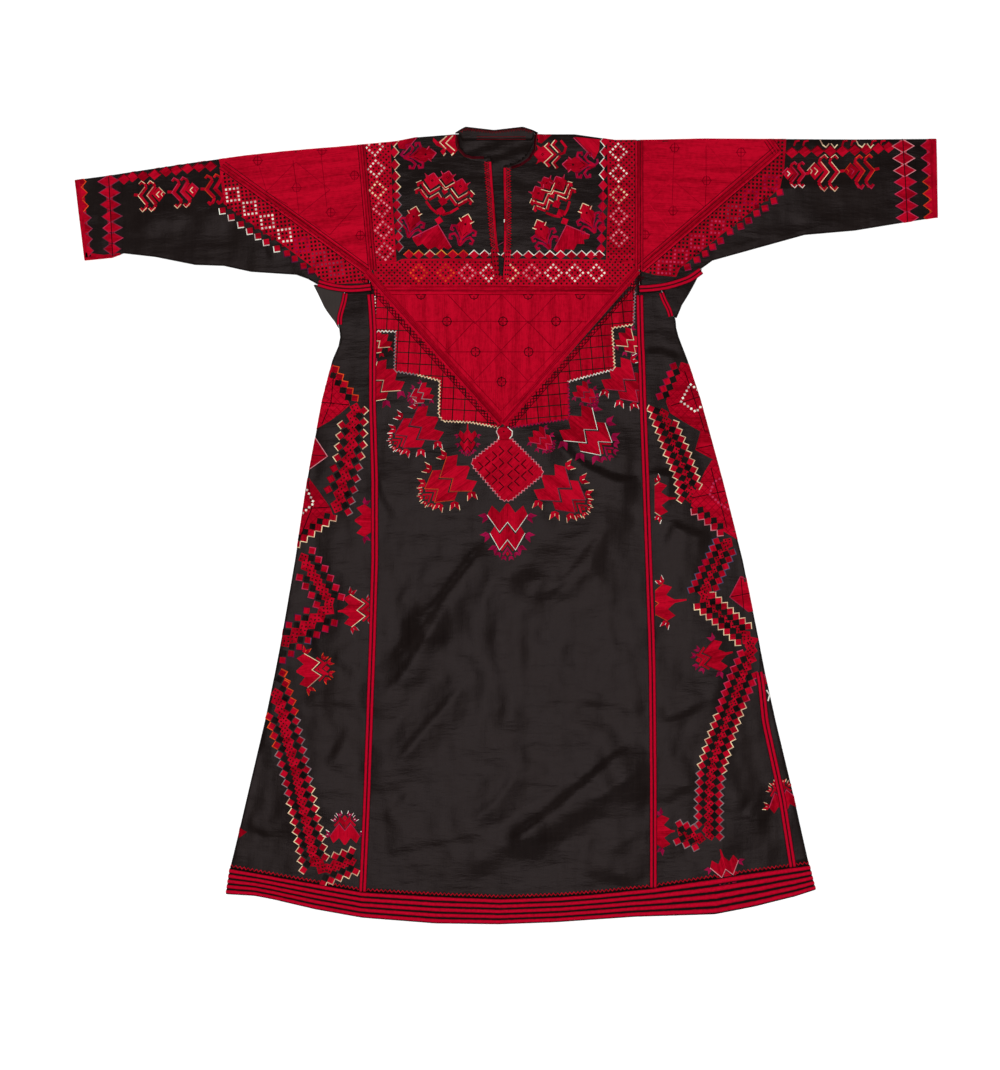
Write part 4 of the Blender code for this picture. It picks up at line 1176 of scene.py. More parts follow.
# --- the cloth ------------------------------------------------------------------------------------
@dataclass
class Body:
    """The panels, gores and gussets."""

    form: DressForm
    wardrobe: Wardrobe
    floor: Piece
    pieces: list[Piece] = field(default_factory=list)

    def front_panel(self, share: Array, v: Array) -> Array:
        """Points of the front panel; past the top row, v counts round the shoulder fold.

        Args:
            share: how far across the panel, 0 to 1.
            v: the rows.

        Returns:
            The points, one to a line.
        """
        form = self.form
        row = np.minimum(v, TOP_V)
        x = form.panel_x(share, row)
        y = form.body_y(row, x)
        angle = np.maximum(v - TOP_V, 0) / FOLD_R
        z = np.where(v <= TOP_V, form.height(x, y), BACK_LEVEL + FOLD_R * (1 + np.cos(angle)))
        return np.stack([x, y + FOLD_R * np.sin(angle), z], axis=1)

    def back_panel(self, share: Array, v: Array) -> Array:
        """Points of the back panel; past the top row it turns up to the front, but not at the neck.

        Args:
            share: how far across the panel, 0 to 1.
            v: the rows.

        Returns:
            The points, one to a line.
        """
        form = self.form
        row = np.minimum(v, TOP_V)
        x = form.panel_x(share, row)
        y = form.body_y(row, x)
        out = np.maximum(v - TOP_V, 0)
        neck = (NECK_RIGHT[0].x < x) & (x < NECK_LEFT[0].x)
        angle = np.where(neck, 0, out / FOLD_R)
        return np.stack([x, y + np.where(neck, out, FOLD_R * np.sin(angle)),
                         BACK_LEVEL + FOLD_R * (1 - np.cos(angle)) + self.crumple(x, y) * neck], axis=1)

    def crumple(self, x: Array, y: Array) -> Array:
        """Small creases of the back where it shows inside the neck.

        Args:
            x: metres across the dress.
            y: metres up the dress.

        Returns:
            What the creases add to the height.
        """
        broad, fine = np.sin(x * 190 + y * 60), np.sin(y * 240 - x * 90)
        lift = CRUMPLE_MIDDLE + CRUMPLE_BROAD * broad + CRUMPLE_FINE * fine
        return lift * smooth((y - CRUMPLE_FOOT) / CRUMPLE_FADE)

    def gore_front(self, side: str, u: Array, v: Array) -> Array:
        """Points of a front gore: u 0 to 1 is its flat part, 1 to 2 its outer edge.

        Args:
            side: "right" or "left".
            u: places across the gore.
            v: the rows.

        Returns:
            The points, one to a line.
        """
        form = self.form
        end = form.seam_place(side, v) - FOLD_SEAM_GAP / 2
        edge = np.minimum(0.0, end - EDGE_MIN)
        inner = -np.abs(form.fold_start(side, v) - form.seam(side, v)) + SEAM_GAP / 2
        return form.side_point(side, v,
                               np.where(u <= 1, inner + (edge - inner) * u, edge + (end - edge) * (u - 1)))

    def along_stops(self, u: Array, stops: list[Array]) -> Array:
        """Cloth lengths at u between four stops.

        Args:
            u: places, with a whole number at each stop.
            stops: the cloth lengths of the stops.

        Returns:
            The cloth lengths.
        """
        leg = np.minimum(2, u.astype(int))
        low = np.choose(leg, stops[:3])
        high = np.choose(leg, stops[1:])
        return low + (high - low) * (u - leg)

    def gore_back(self, side: str, u: Array, v: Array) -> Array:
        """Points of a back gore: 0 to 1 its part on the front, 1 to 2 the fold, 2 to 3 the back.

        Args:
            side: "right" or "left".
            u: places across the gore.
            v: the rows.

        Returns:
            The points, one to a line.
        """
        form = self.form
        start = form.back_place(side, v) + FOLD_SEAM_GAP / 2
        turn = np.maximum(0.0, start + EDGE_MIN)
        flat = np.maximum(HALF_TURN, turn + EDGE_MIN)
        inner = HALF_TURN + np.abs(form.fold_start(side, v) - form.seam(side, v)) - SEAM_GAP / 2
        return form.side_point(side, v, self.along_stops(u, [start, turn, flat, inner]))

    def gusset(self, side: str, u: Array, v: Array) -> Array:
        """Points of a gusset, from its front seam round the fold to its back seam.

        Args:
            side: "right" or "left".
            u: places across the gusset.
            v: the rows.

        Returns:
            The points, one to a line.
        """
        form = self.form
        start = form.seam_place(side, v) + FOLD_SEAM_GAP / 2
        end = form.back_place(side, v) - FOLD_SEAM_GAP / 2
        turn = np.maximum(0.0, start + (end - start) / 4)
        flat = np.minimum(HALF_TURN, end - (end - start) / 4)
        return form.side_point(side, v, self.along_stops(u, [start, turn, flat, end]))

    def cut_neck(self, bm: Mesh) -> None:
        """Cut the neck and the slit out of the front panel, along the edges of their outline.

        Args:
            bm: the open surface of the panel.
        """
        outline = [(edge.x, edge.y) for edge in NECK_RIGHT + NECK_LEFT[::-1]]
        outline = [(NECK_RIGHT[0].x, ABOVE_NECK)] + outline + [(NECK_LEFT[0].x, ABOVE_NECK)]
        for (x0, y0), (x1, y1) in zip(outline, outline[1:]):
            low_x, high_x = min(x0, x1) - CELL, max(x0, x1) + CELL
            low_y, high_y = min(y0, y1) - CELL, max(y0, y1) + CELL
            near = [face for face in bm.faces if low_x < face.calc_center_median().x < high_x
                    and low_y < face.calc_center_median().y < high_y]
            geom = near + list({edge for face in near for edge in face.edges})
            geom += list({vert for face in near for vert in face.verts})
            bmesh.ops.bisect_plane(bm, geom=geom, dist=0.00005, plane_co=(x0, y0, 0),
                                   plane_no=(y1 - y0, x0 - x1, 0))
        gone = [face for face in bm.faces if inside(outline, face.calc_center_median().x,
                                                    face.calc_center_median().y)]
        bmesh.ops.delete(bm, geom=gone, context="FACES")

    def build(self) -> None:
        """Make the pieces and hide the solids that they stand for."""
        satin = self.wardrobe.satin
        top = TOP_V + QUARTER - FOLD_SEAM_GAP / 2
        rows = join(spread(HEM_V, TOP_V, CELL), spread(TOP_V, top, QUARTER / EDGE_CELLS))
        back_rows = join(spread(HEM_V, CRUMPLE_FOOT, BACK_CELL), spread(CRUMPLE_FOOT, TOP_V, CELL),
                         spread(TOP_V, top, QUARTER / EDGE_CELLS))
        front = shell("panel_front", spread(0, 1, CELL / LOOM_WIDTH), rows, self.front_panel, satin,
                      self.cut_neck)
        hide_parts("front_panel")
        back = shell("panel_back", spread(0, 1, 0.02), back_rows, self.back_panel, satin)
        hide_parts("back_panel")
        self.pieces += [front, back]
        body_rows = spread(HEM_V, ARM_V, CELL)
        for side in ("right", "left"):
            gore = shell("gore_front_" + side,
                         join(spread(0, 1, CELL / GORE_WIDTH), spread(1, 2, 1 / EDGE_CELLS)), body_rows,
                         lambda u, v, side=side: self.gore_front(side, u, v), satin)
            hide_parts("front_gore_" + side)
            behind = shell("gore_back_" + side,
                           join(spread(0, 1, 0.2), spread(1, 2, 1 / EDGE_CELLS), spread(2, 3, 0.06)),
                           spread(HEM_V, ARM_V, BACK_CELL),
                           lambda u, v, side=side: self.gore_back(side, u, v), satin)
            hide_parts("back_gore_" + side)
            tip = GUSSET_TIPS[side]
            # The right gusset takes the paler satin, whose colour is painted sheen.
            gusset = shell("gusset_" + side + "_cloth",
                           join(spread(0, 1, 0.1), spread(1, 2, 1 / 12), spread(2, 3, 0.1)),
                           spread(tip, ARM_V, CELL), lambda u, v, side=side: self.gusset(side, u, v),
                           self.wardrobe.gusset if side == "right" else satin)
            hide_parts("gusset_" + side)
            self.pieces += [gore, behind, gusset]
        log.info("body: %d pieces", len(self.pieces))


def inside(outline: Sequence[Point], x: float, y: float) -> bool:
    """Whether a point is inside an outline.

    Args:
        outline: its corners.
        x: the point's x or column.
        y: the point's y or row.

    Returns:
        True if it is.
    """
    crossed = False
    for (x0, y0), (x1, y1) in zip(outline, list(outline[1:]) + [outline[0]]):
        if (y0 > y) != (y1 > y) and x < (x1 - x0) * (y - y0) / (y1 - y0) + x0:
            crossed = not crossed
    return crossed


@dataclass
class Sleeve:
    """A sleeve and the cuff piece sewn to its end."""

    side: str
    ground: SleeveGround
    wardrobe: Wardrobe
    floor: Piece

    def build(self) -> None:
        """Make the two tubes and hide the solids that they stand for."""
        sections = self.ground.sections
        across = join(spread(0, 1, 0.25), spread(1, 2, 1 / 32), spread(2, 3, 1 / 12), spread(3, 4, 0.1),
                      spread(4, 5, 0.25))
        gap = SEAM_GAP / 2 / hypot(sections[2].foot_x - sections[1].foot_x, 0.01)
        inner = len(sections) - 1
        body_gap = SEAM_GAP / abs(sections[-1].foot_x - sections[-2].foot_x)
        for name, start, end, flat in (("cuff", 0.0, 1 - gap, (0.30, 0.06)),
                                       ("sleeve", 1 + gap, inner - body_gap, (0.40, 0.46))):
            whole = [start] + list(range(int(start) + 1, int(end - 1e-9) + 1)) + [end]
            stops = [np.array([start])]
            for low, high in zip(whole, whole[1:]):
                length = abs(float(self.ground.section(high).top_x - self.ground.section(low).top_x))
                stops.append(np.linspace(low, high, max(1, ceil(length / CELL)) + 1))
            piece = shell(f"{name}_{self.side}_cloth", across, join(*stops),
                          lambda u, v: self.ground.tube(v, u), self.wardrobe.satin)
            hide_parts(f"{name}_{self.side}")
        log.info("sleeve %s", self.side)


# --- cords and bands ------------------------------------------------------------------------------
def twin_cords(tall: float) -> list[Point]:
    """The profile of two cords side by side."""
    half = [(0.0, 0.35), (0.10, 0.55), (0.25, 0.88), (0.5, 1.0), (0.75, 0.88), (0.9, 0.6), (1.0, 0.25)]
    return [(-a, t * tall) for a, t in reversed(half[1:])] + [(a, t * tall) for a, t in half]


@dataclass
class Braids:
    """The couched double cords on the seams."""

    form: DressForm
    ground: BodyGround
    wardrobe: Wardrobe
    tall: float = 0.0015

    def lay(self, name: str, node: str, path: Array, half: float) -> None:
        """Lay a braid along a path of points on the flat cloth.

        Args:
            name: the piece's name.
            node: the CAD node that it stands for.
            path: points of its middle line.
            half: half its width.
        """
        steps = np.arange(len(path), dtype=float)
        length = np.concatenate([[0], np.cumsum(np.hypot(*np.diff(path, axis=0).T))])
        fine = np.interp(spread(0, length[-1], TRIM_STEP), length, steps)
        way = np.gradient(path, axis=0)
        way /= np.hypot(way[:, 0], way[:, 1])[:, None]

        def place(stop: Array, across: Array, lift: Array) -> Array:
            """Points of the braid.

            Args:
                stop: places along the path.
                across: shares across, -1 to 1.
                lift: distances off the cloth.

            Returns:
                The points, one to a line.
            """
            x, y = np.interp(stop, steps, path[:, 0]), np.interp(stop, steps, path[:, 1])
            side_x, side_y = np.interp(stop, steps, way[:, 1]), -np.interp(stop, steps, way[:, 0])
            return self.ground.lay(x + side_x * across * half, y + side_y * across * half, lift + TRIM_LIFT)

        piece = ridged(name, twin_cords(self.tall), fine, place, self.wardrobe.braid)
        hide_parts(node)

    def build(self) -> None:
        """Make every braid."""
        rows = spread(HEM_V, BRAID_END_Y, 0.01)
        for side in ("right", "left"):
            x = self.form.seam(side, rows)
            path = np.stack([x, self.form.body_y(rows, x)], axis=1)
            self.lay("braid_front_" + side, "seam_braid_front_" + side, path, BRAID_HALF)
        for name, node, line, half in (
                ("braid_armhole_right", "seam_braid_armhole_right", ARMHOLE_BRAID_RIGHT, BRAID_HALF),
                ("braid_armhole_left", "seam_braid_armhole_left", ARMHOLE_BRAID_LEFT, BRAID_HALF),
                ("braid_gusset_right", "seam_braid_gusset_right", GUSSET_BRAID_RIGHT, GUSSET_BRAID_HALF),
                ("braid_gusset_left", "seam_braid_gusset_left", GUSSET_BRAID_LEFT, GUSSET_BRAID_HALF)):
            self.lay(name, node, curved(np.array(line)), half)
        rows = spread(HEM_V, SIDE_BRAID_TOP, 0.01)
        seam = column_of(ROWS, "y", rows, "left_edge") - column_of(ROWS, "y", rows, "left_seam_in")
        x = np.minimum(seam, self.form.fold_start("left", rows) - BRAID_HALF - 0.0005)
        self.lay("braid_side_left", "seam_braid_side_left", np.stack([x, self.form.body_y(rows, x)], axis=1),
                 BRAID_HALF)
        log.info("braids")


def curved(path: Array, parts: int = 6) -> Array:
    """A smooth curve through the points of a path.

    Args:
        path: the points.
        parts: pieces of curve between two points.

    Returns:
        The curve's points.
    """
    out = [path[0]]
    for index in range(len(path) - 1):
        before, start = path[max(0, index - 1)], path[index]
        end, after = path[index + 1], path[min(len(path) - 1, index + 2)]
        for step in range(1, parts + 1):
            t = step / parts
            square = (2 * before - 5 * start + 4 * end - after) * t ** 2
            cube = (3 * start - before - 3 * end + after) * t ** 3
            out.append(0.5 * (2 * start + (end - before) * t + square + cube))
    return np.array(out)


@dataclass
class Hem:
    """The corded band round the foot of the dress."""

    form: DressForm
    wardrobe: Wardrobe
    floor: Piece
    cords: int = 5
    tall: float = 0.0016
    back_share: float = 0.12

    def place(self, front: bool, x: Array, turn: Array, s: Array, lift: Array) -> Array:
        """Points of the band: x along it, turned round the side fold, s down it.

        Args:
            front: whether it is the front band.
            x: stations along the band.
            turn: how far each turns round the fold, -1 to 1.
            s: shares of the way down.
            lift: distance out of the middle surface.

        Returns:
            The points, one to a line.
        """
        form = self.form
        right, left = (form.fold_start(side, np.array([HEM_V]))[0] for side in ("right", "left"))
        share = (x - right) / (left - right)
        tilt = turn * (pi / 2 - SEAM_GAP / 2 / FOLD_R)
        new_x = x + s * (share * HEM_SPREAD_LEFT - (1 - share) * HEM_SPREAD_RIGHT) + FOLD_R * np.sin(tilt)
        top = form.body_y(np.full_like(x, HEM_V), x + FOLD_R * np.sin(tilt)) - SEAM_GAP
        y = top + (column_of(HEM_FOOT, "x", new_x, "y") - top) * s
        drop = FOLD_R * (1 - np.cos(tilt))
        if front:
            z = np.where(tilt == 0, form.height(new_x, y), FRONT_LEVEL) - drop
            return np.stack([new_x + lift * np.sin(tilt), y, z + lift * np.cos(tilt)], axis=1)
        return np.stack([new_x, y, BACK_LEVEL + drop + lift], axis=1)

    def build(self) -> None:
        """Make the front and back bands."""
        form = self.form
        right, left = (form.fold_start(side, np.array([HEM_V]))[0] for side in ("right", "left"))
        turns = np.linspace(0, 1, EDGE_CELLS + 1)
        xs = np.concatenate([np.full(EDGE_CELLS, right), spread(right, left, CELL),
                             np.full(EDGE_CELLS, left)])
        turn = np.concatenate([-turns[:0:-1], np.zeros(len(xs) - 2 * EDGE_CELLS), turns[1:]])
        stops = np.arange(len(xs), dtype=float)
        profile = []
        for cord in range(self.cords):
            for part, tall in ((0.0, 0.15), (0.12, 0.55), (0.3, 0.9), (0.5, 1.0), (0.7, 0.9), (0.88, 0.55)):
                profile.append(((cord + part) / self.cords * 2 - 1, tall * self.tall))
        profile.append((1.0, 0.15 * self.tall))

        def front(stop: Array, across: Array, lift: Array) -> Array:
            """Points of the front band.

            Args:
                stop: stations along the band.
                across: shares down it, -1 to 1.
                lift: distances off the cloth.

            Returns:
                The points, one to a line.
            """
            index = np.rint(stop).astype(int)
            return self.place(True, xs[index], turn[index], (across + 1) / 2,
                              np.where(lift > 0, SHELL / 2 + lift, -SHELL / 2))

        band = ridged("hem_front_cords", profile, stops, front, self.wardrobe.hem)
        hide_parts("hem_band_front")

        def back(stop: Array, across: Array, lift: Array) -> Array:
            """Points of the back band.

            Args:
                stop: stations along the band.
                across: shares down it, -1 to 1.
                lift: distances off the cloth.

            Returns:
                The points, one to a line.
            """
            index = np.rint(stop).astype(int)
            raised = np.where(lift > 0, -SHELL / 2 - lift * self.back_share, SHELL / 2)
            return self.place(False, xs[index], turn[index], (across + 1) / 2, raised)

        band = ridged("hem_back_cords", profile, stops, back, self.wardrobe.hem)
        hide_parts("hem_band_back")
        log.info("hem")


# --- the neck -------------------------------------------------------------------------------------
@dataclass
class Neck:
    """The bound edges of the neck and slit, and the rolled back neck edge."""

    form: DressForm
    wardrobe: Wardrobe

    def binding(self, side: str, edges: list[Bound]) -> None:
        """Make one bound edge.

        Args:
            side: "right" or "left".
            edges: the cut edge, from the neck down.
        """
        path = curved(np.array([[edge.x, edge.y, edge.width] for edge in edges]), 8)
        steps = np.arange(len(path), dtype=float)
        way = np.gradient(path[:, :2], axis=0)
        way /= np.hypot(way[:, 0], way[:, 1])[:, None]
        away = outward(side)

        def place(stop: Array, across: Array, lift: Array) -> Array:
            """Points of the binding.

            Args:
                stop: places along the edge.
                across: shares across, -1 to 1.
                lift: distances off the cloth.

            Returns:
                The points, one to a line.
            """
            x, y, width = (np.interp(stop, steps, path[:, column]) for column in range(3))
            side_x = -away * np.interp(stop, steps, way[:, 1])
            side_y = away * np.interp(stop, steps, way[:, 0])
            run = SEAM_GAP + (across + 1) / 2 * width
            floor = FRONT_LEVEL + WALL / 2 + TRIM_LIFT
            return np.stack([x + side_x * run, y + side_y * run, floor + lift], axis=1)

        profile = [(-1.0, 0.0006), (-0.8, 0.0011), (-0.4, 0.0013), (0.0, 0.0012), (0.4, 0.0011),
                   (0.8, 0.0009), (1.0, 0.0005)]
        piece = ridged("binding_" + side, profile, steps, place, self.wardrobe.satin)
        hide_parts("neck_binding_" + side)

    def collar(self) -> None:
        """Make the rolled back neck edge."""
        def place(x: Array, across: Array, lift: Array) -> Array:
            """Points of the roll.

            Args:
                x: metres across the dress.
                across: shares up the roll, -1 to 1.
                lift: distances off its middle.

            Returns:
                The points, one to a line.
            """
            foot, top = (column_of(COLLAR, "x", x, column) for column in ("foot", "top"))
            return np.stack([x, foot + (top - foot) * (across + 1) / 2, COLLAR_LEVEL + lift], axis=1)

        piece = ridged("collar_roll", COLLAR_PROFILE, spread(COLLAR[0].x, COLLAR[-1].x, 0.003), place,
                       self.wardrobe.satin)
        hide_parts("collar_back")

    def build(self) -> None:
        """Make the neck's pieces."""
        self.binding("right", NECK_RIGHT)
        self.binding("left", NECK_LEFT)
        self.collar()
        log.info("neck")


# --- stitching ------------------------------------------------------------------------------------
class Thread(Enum):
    """The silks, as screen colours."""

    RED = (190, 8, 37)
    BRIGHT = (204, 8, 42)
    DEEP = (140, 2, 26)
    DARK = (62, 10, 18)
    WINE = (98, 22, 28)
    GROUND = (31, 26, 25)
    WHITE = (255, 248, 236)
    CREAM = (252, 220, 180)
    YELLOW = (236, 160, 66)
    ORANGE = (240, 80, 36)
    PINK = (206, 52, 92)
    ROSE = (228, 138, 150)
    MAGENTA = (158, 16, 66)
    PURPLE = (96, 26, 66)
    MAUVE = (140, 52, 78)
    GREY = (146, 124, 130)
    BLUE = (84, 80, 112)


(RED, BRIGHT, DEEP, DARK, WINE, GROUND, WHITE, CREAM, YELLOW,
 ORANGE, PINK, ROSE, MAGENTA, PURPLE, MAUVE, GREY, BLUE) = Thread


@dataclass(frozen=True)
class Spot:
    """A place on the chart that a motif is drawn from: u to its right, v up, turned and scaled."""

    column: float
    row: float
    turn: float = 0.0
    scale: float = 1.0
    flip: bool = False

    def at(self, u: float, v: float) -> Point:
        """The chart place of a point of the motif.

        Args:
            u: squares to the motif's right.
            v: squares up it.

        Returns:
            Its column and row.
        """
        u = -u if self.flip else u
        c, s = cos(radians(self.turn)), sin(radians(self.turn))
        return self.column + self.scale * (u * c - v * s), self.row - self.scale * (u * s + v * c)

    def all(self, points: Iterable[Point]) -> list[Point]:
        """The chart places of several points."""
        return [self.at(u, v) for u, v in points]

    def spot(self, u: float, v: float, turn: float = 0.0, scale: float = 1.0) -> "Spot":
        """A place drawn from this one."""
        column, row = self.at(u, v)
        return Spot(column, row, self.turn + (-turn if self.flip else turn), self.scale * scale, self.flip)


def along(start: Point, end: Point) -> Spot:
    """A spot at the start of a line, with u along it and v to its left."""
    return Spot(start[0], start[1], np.degrees(atan2(start[1] - end[1], end[0] - start[0])))


def apart(start: Point, end: Point) -> float:
    """Distance between two places of the chart."""
    return hypot(end[0] - start[0], end[1] - start[1])


def left_part(outline: list[Point], start: Point, end: Point) -> list[Point]:
    """Keep the part of an outline to the left of a line.

    Args:
        outline: the outline's corners.
        start: a point of the line.
        end: a later point of the line.

    Returns:
        The corners of what is kept.
    """
    kept: list[Point] = []
    across, up = end[0] - start[0], start[1] - end[1]
    for here, after in zip(outline, outline[1:] + outline[:1]):
        sides = [(start[1] - row) * across - up * (column - start[0]) for column, row in (here, after)]
        if sides[0] >= 0:
            kept.append(here)
        if sides[0] * sides[1] < 0:
            part = sides[0] / (sides[0] - sides[1])
            kept.append((here[0] + part * (after[0] - here[0]), here[1] + part * (after[1] - here[1])))
    return kept


class Patch(NamedTuple):
    """A patch of stitches: its outline in chart squares, thread, layer and stitch direction."""

    outline: list[Point]
    thread: Thread
    layer: int
    grain: float


class Needlework:
    """The stitches on one piece of ground, collected and then made one mesh."""

    FOOT = 0.00004               # gap under the stitches
    FIRST = 0.00028              # how far the first layer stands off the cloth
    LAYER = 0.00011              # how much each further layer adds
    CUT = 0.0065                 # large patches are cut to this size, to follow the cloth
    FOLD_CUT = 0.0018            # and to this where the cloth turns over a fold
    ROUND = 3.2                  # a patch is large if it is longer round its edge than this many cuts
    FOLD_DROP = 0.0005           # a face that falls more than this is on a fold
    TOUCH = 0.000001
    MITRE = 0.35                 # a line's sharpest corner is cut off here
    CREASE = radians(50)         # steeper edges than this stay sharp
    SEED = 5

    def __init__(self, name: str, ground: Ground, material: bpy.types.Material, rise: float = 0.0) -> None:
        """Start with nothing stitched.

        Args:
            name: the piece's name.
            ground: the cloth that is worked on.
            material: the silk.
            rise: thickness of a binding between the cloth and the stitches.
        """
        self.rise = rise
        self.name = name
        self.ground = ground
        self.material = material
        self.patches: list[Patch] = []
        self.limit: tuple[Point, Point] | None = None

    # single stitches and lines
    def patch(self, outline: Sequence[Point], thread: Thread, layer: int = 1, grain: float = 0.0) -> None:
        """Fill an outline, cut at the limit if one is set.

        Args:
            outline: its corners.
            thread: the silk.
            layer: how high it lies.
            grain: the way its stitches run, in degrees.
        """
        outline = [(float(column), float(row)) for column, row in outline]
        if self.limit:
            outline = left_part(outline, *self.limit)
        if len(outline) > 2:
            self.patches.append(Patch(outline, thread, layer, grain))

    def line(self, points: Sequence[Point], width: float, thread: Thread, layer: int = 2,
             closed: bool = False) -> None:
        """Stitch a line with mitred corners.

        Args:
            points: its corners.
            width: its width.
            thread: its silk.
            layer: how high it lies.
            closed: whether its end meets its start.
        """
        path = np.array(list(points) + ([points[0]] if closed else []), dtype=float)
        way = np.diff(path, axis=0)
        way /= np.maximum(np.hypot(way[:, 0], way[:, 1]), 1e-9)[:, None]
        side = np.stack([-way[:, 1], way[:, 0]], axis=1)
        first = side[-1:] if closed else side[:1]
        last = side[:1] if closed else side[-1:]
        before, after = np.concatenate([first, side]), np.concatenate([side, last])
        opening = np.maximum(1 + np.sum(before * after, axis=1), self.MITRE)[:, None]
        mitre = (before + after) / opening * width / 2
        left, right = path + mitre, path - mitre
        for index in range(len(path) - 1):
            grain = np.degrees(atan2(-way[index, 1], way[index, 0]))
            self.patch([left[index], left[index + 1], right[index + 1], right[index]], thread, layer, grain)

    def diamond(self, spot: Spot, half_u: float, half_v: float, thread: Thread, layer: int = 1,
                grain: float = 0.0) -> None:
        """Fill a diamond."""
        self.patch(spot.all([(half_u, 0), (0, half_v), (-half_u, 0), (0, -half_v)]), thread, layer,
                   spot.turn + grain)

    def square(self, spot: Spot, half: float, thread: Thread, layer: int = 1, grain: float = 0.0) -> None:
        """Fill a square."""
        self.patch(spot.all([(half, half), (-half, half), (-half, -half), (half, -half)]), thread, layer,
                   spot.turn + grain)

    def teeth(self, path: Sequence[Point], pitch: float, height: float, fill: Thread | None,
              edge: Thread | None, width: float = 0.9, layer: int = 2, side: int = 1) -> None:
        """Work a row of small triangles along a line, with an edge stitched over them.

        Args:
            path: the line.
            pitch: width of a tooth.
            height: how far a tooth stands out.
            fill: silk of the triangles, or None.
            edge: silk of the zigzag, or None.
            width: width of the zigzag.
            layer: how high the zigzag lies.
            side: 1 if the teeth point to the left of the line, -1 to the right.
        """
        zigzag: list[Point] = []
        for start, end in zip(path, path[1:]):
            run, length = along(start, end), apart(start, end)
            count = max(1, round(length / pitch))
            step = length / count
            for tooth in range(count):
                low, high = run.at(tooth * step, 0), run.at((tooth + 1) * step, 0)
                tip = run.at((tooth + 0.5) * step, side * height)
                if fill:
                    self.patch([low, tip, high], fill, 1, run.turn + 90)
                zigzag += [low, tip]
            zigzag.append(run.at(length, 0))
        if edge:
            self.line([p for i, p in enumerate(zigzag) if i == 0 or apart(p, zigzag[i - 1]) > 0.01], width,
                      edge, layer)

    def ruled(self, outline: Sequence[Point], spot: Spot, pitch_u: float, pitch_v: float, width: float,
              thread: Thread, layer: int = 2) -> None:
        """Rule a grid of lines inside an outline.

        Args:
            outline: the outline.
            spot: a crossing of the grid.
            pitch_u: distance between lines along v, 0 for none.
            pitch_v: distance between lines along u, 0 for none.
            width: width of the lines.
            thread: their silk.
            layer: how high they lie.
        """
        reach = max(apart((spot.column, spot.row), corner) for corner in outline)
        for pitch, across in ((pitch_u, False), (pitch_v, True)):
            if not pitch:
                continue
            for index in range(-int(reach / pitch) - 1, int(reach / pitch) + 2):
                run: list[float] = []
                for step in np.arange(-reach, reach, 0.5):
                    here = spot.at(step, index * pitch) if across else spot.at(index * pitch, step)
                    if inside(outline, *here):
                        run.append(step)
                    if run and (not inside(outline, *here) or step + 0.5 >= reach):
                        if run[-1] - run[0] > 2:
                            ends = [(run[0], index * pitch), (run[-1], index * pitch)]
                            self.line(spot.all(ends if across else [(v, u) for u, v in ends]), width, thread,
                                      layer)
                        run = []

    def net(self, outline: Sequence[Point], spot: Spot, rings: Sequence[tuple[float, float, Thread]] = (),
            thread: Thread = RED, step: float = 2.55, hole: float = 1.4, dot: float = 0.95) -> None:
        """Work an open net: a filled ground with a lattice of small holes, and rings of bright dots.

        Args:
            outline: the net's outline.
            spot: a crossing of the lattice, which turns with it.
            rings: column, row and silk of each ring's middle.
            thread: silk of the ground.
            step: half the distance between holes in a row.
            hole: half a hole's width.
            dot: half a dot's width.
        """
        self.patch(outline, thread, 1, spot.turn)
        reach = int(max(apart((spot.column, spot.row), corner) for corner in outline) / step) + 2
        bright: dict[tuple[int, int], Thread] = {}
        for column, row, silk in rings:
            c, s = cos(radians(spot.turn)), sin(radians(spot.turn))
            du, dv = column - spot.column, spot.row - row
            u, v = (du * c + dv * s) / step, (-du * s + dv * c) / step
            iu, iv = round(u), round(v)
            if (iu + iv) % 2 == 0:
                iu += 1 if u > iu else -1
            for di in range(-3, 4):
                dj = 3 - abs(di)
                bright[(iu + di, iv + dj)] = silk
                bright[(iu + di, iv - dj)] = silk
        for i in range(-reach, reach + 1):
            for j in range(-reach, reach + 1):
                if (i + j) % 2:
                    continue
                here = spot.at(i * step, j * step)
                if not all(inside(outline, here[0] + dx, here[1] + dy) for dx, dy in ((1.1, 0), (-1.1, 0),
                                                                                      (0, 1.1), (0, -1.1))):
                    continue
                silk = bright.get((i, j))
                place = Spot(here[0], here[1], spot.turn)
                if silk:
                    self.square(Spot(here[0], here[1], spot.turn + 45), dot, silk, 3)
                else:
                    self.diamond(place, hole, hole, GROUND, 2)

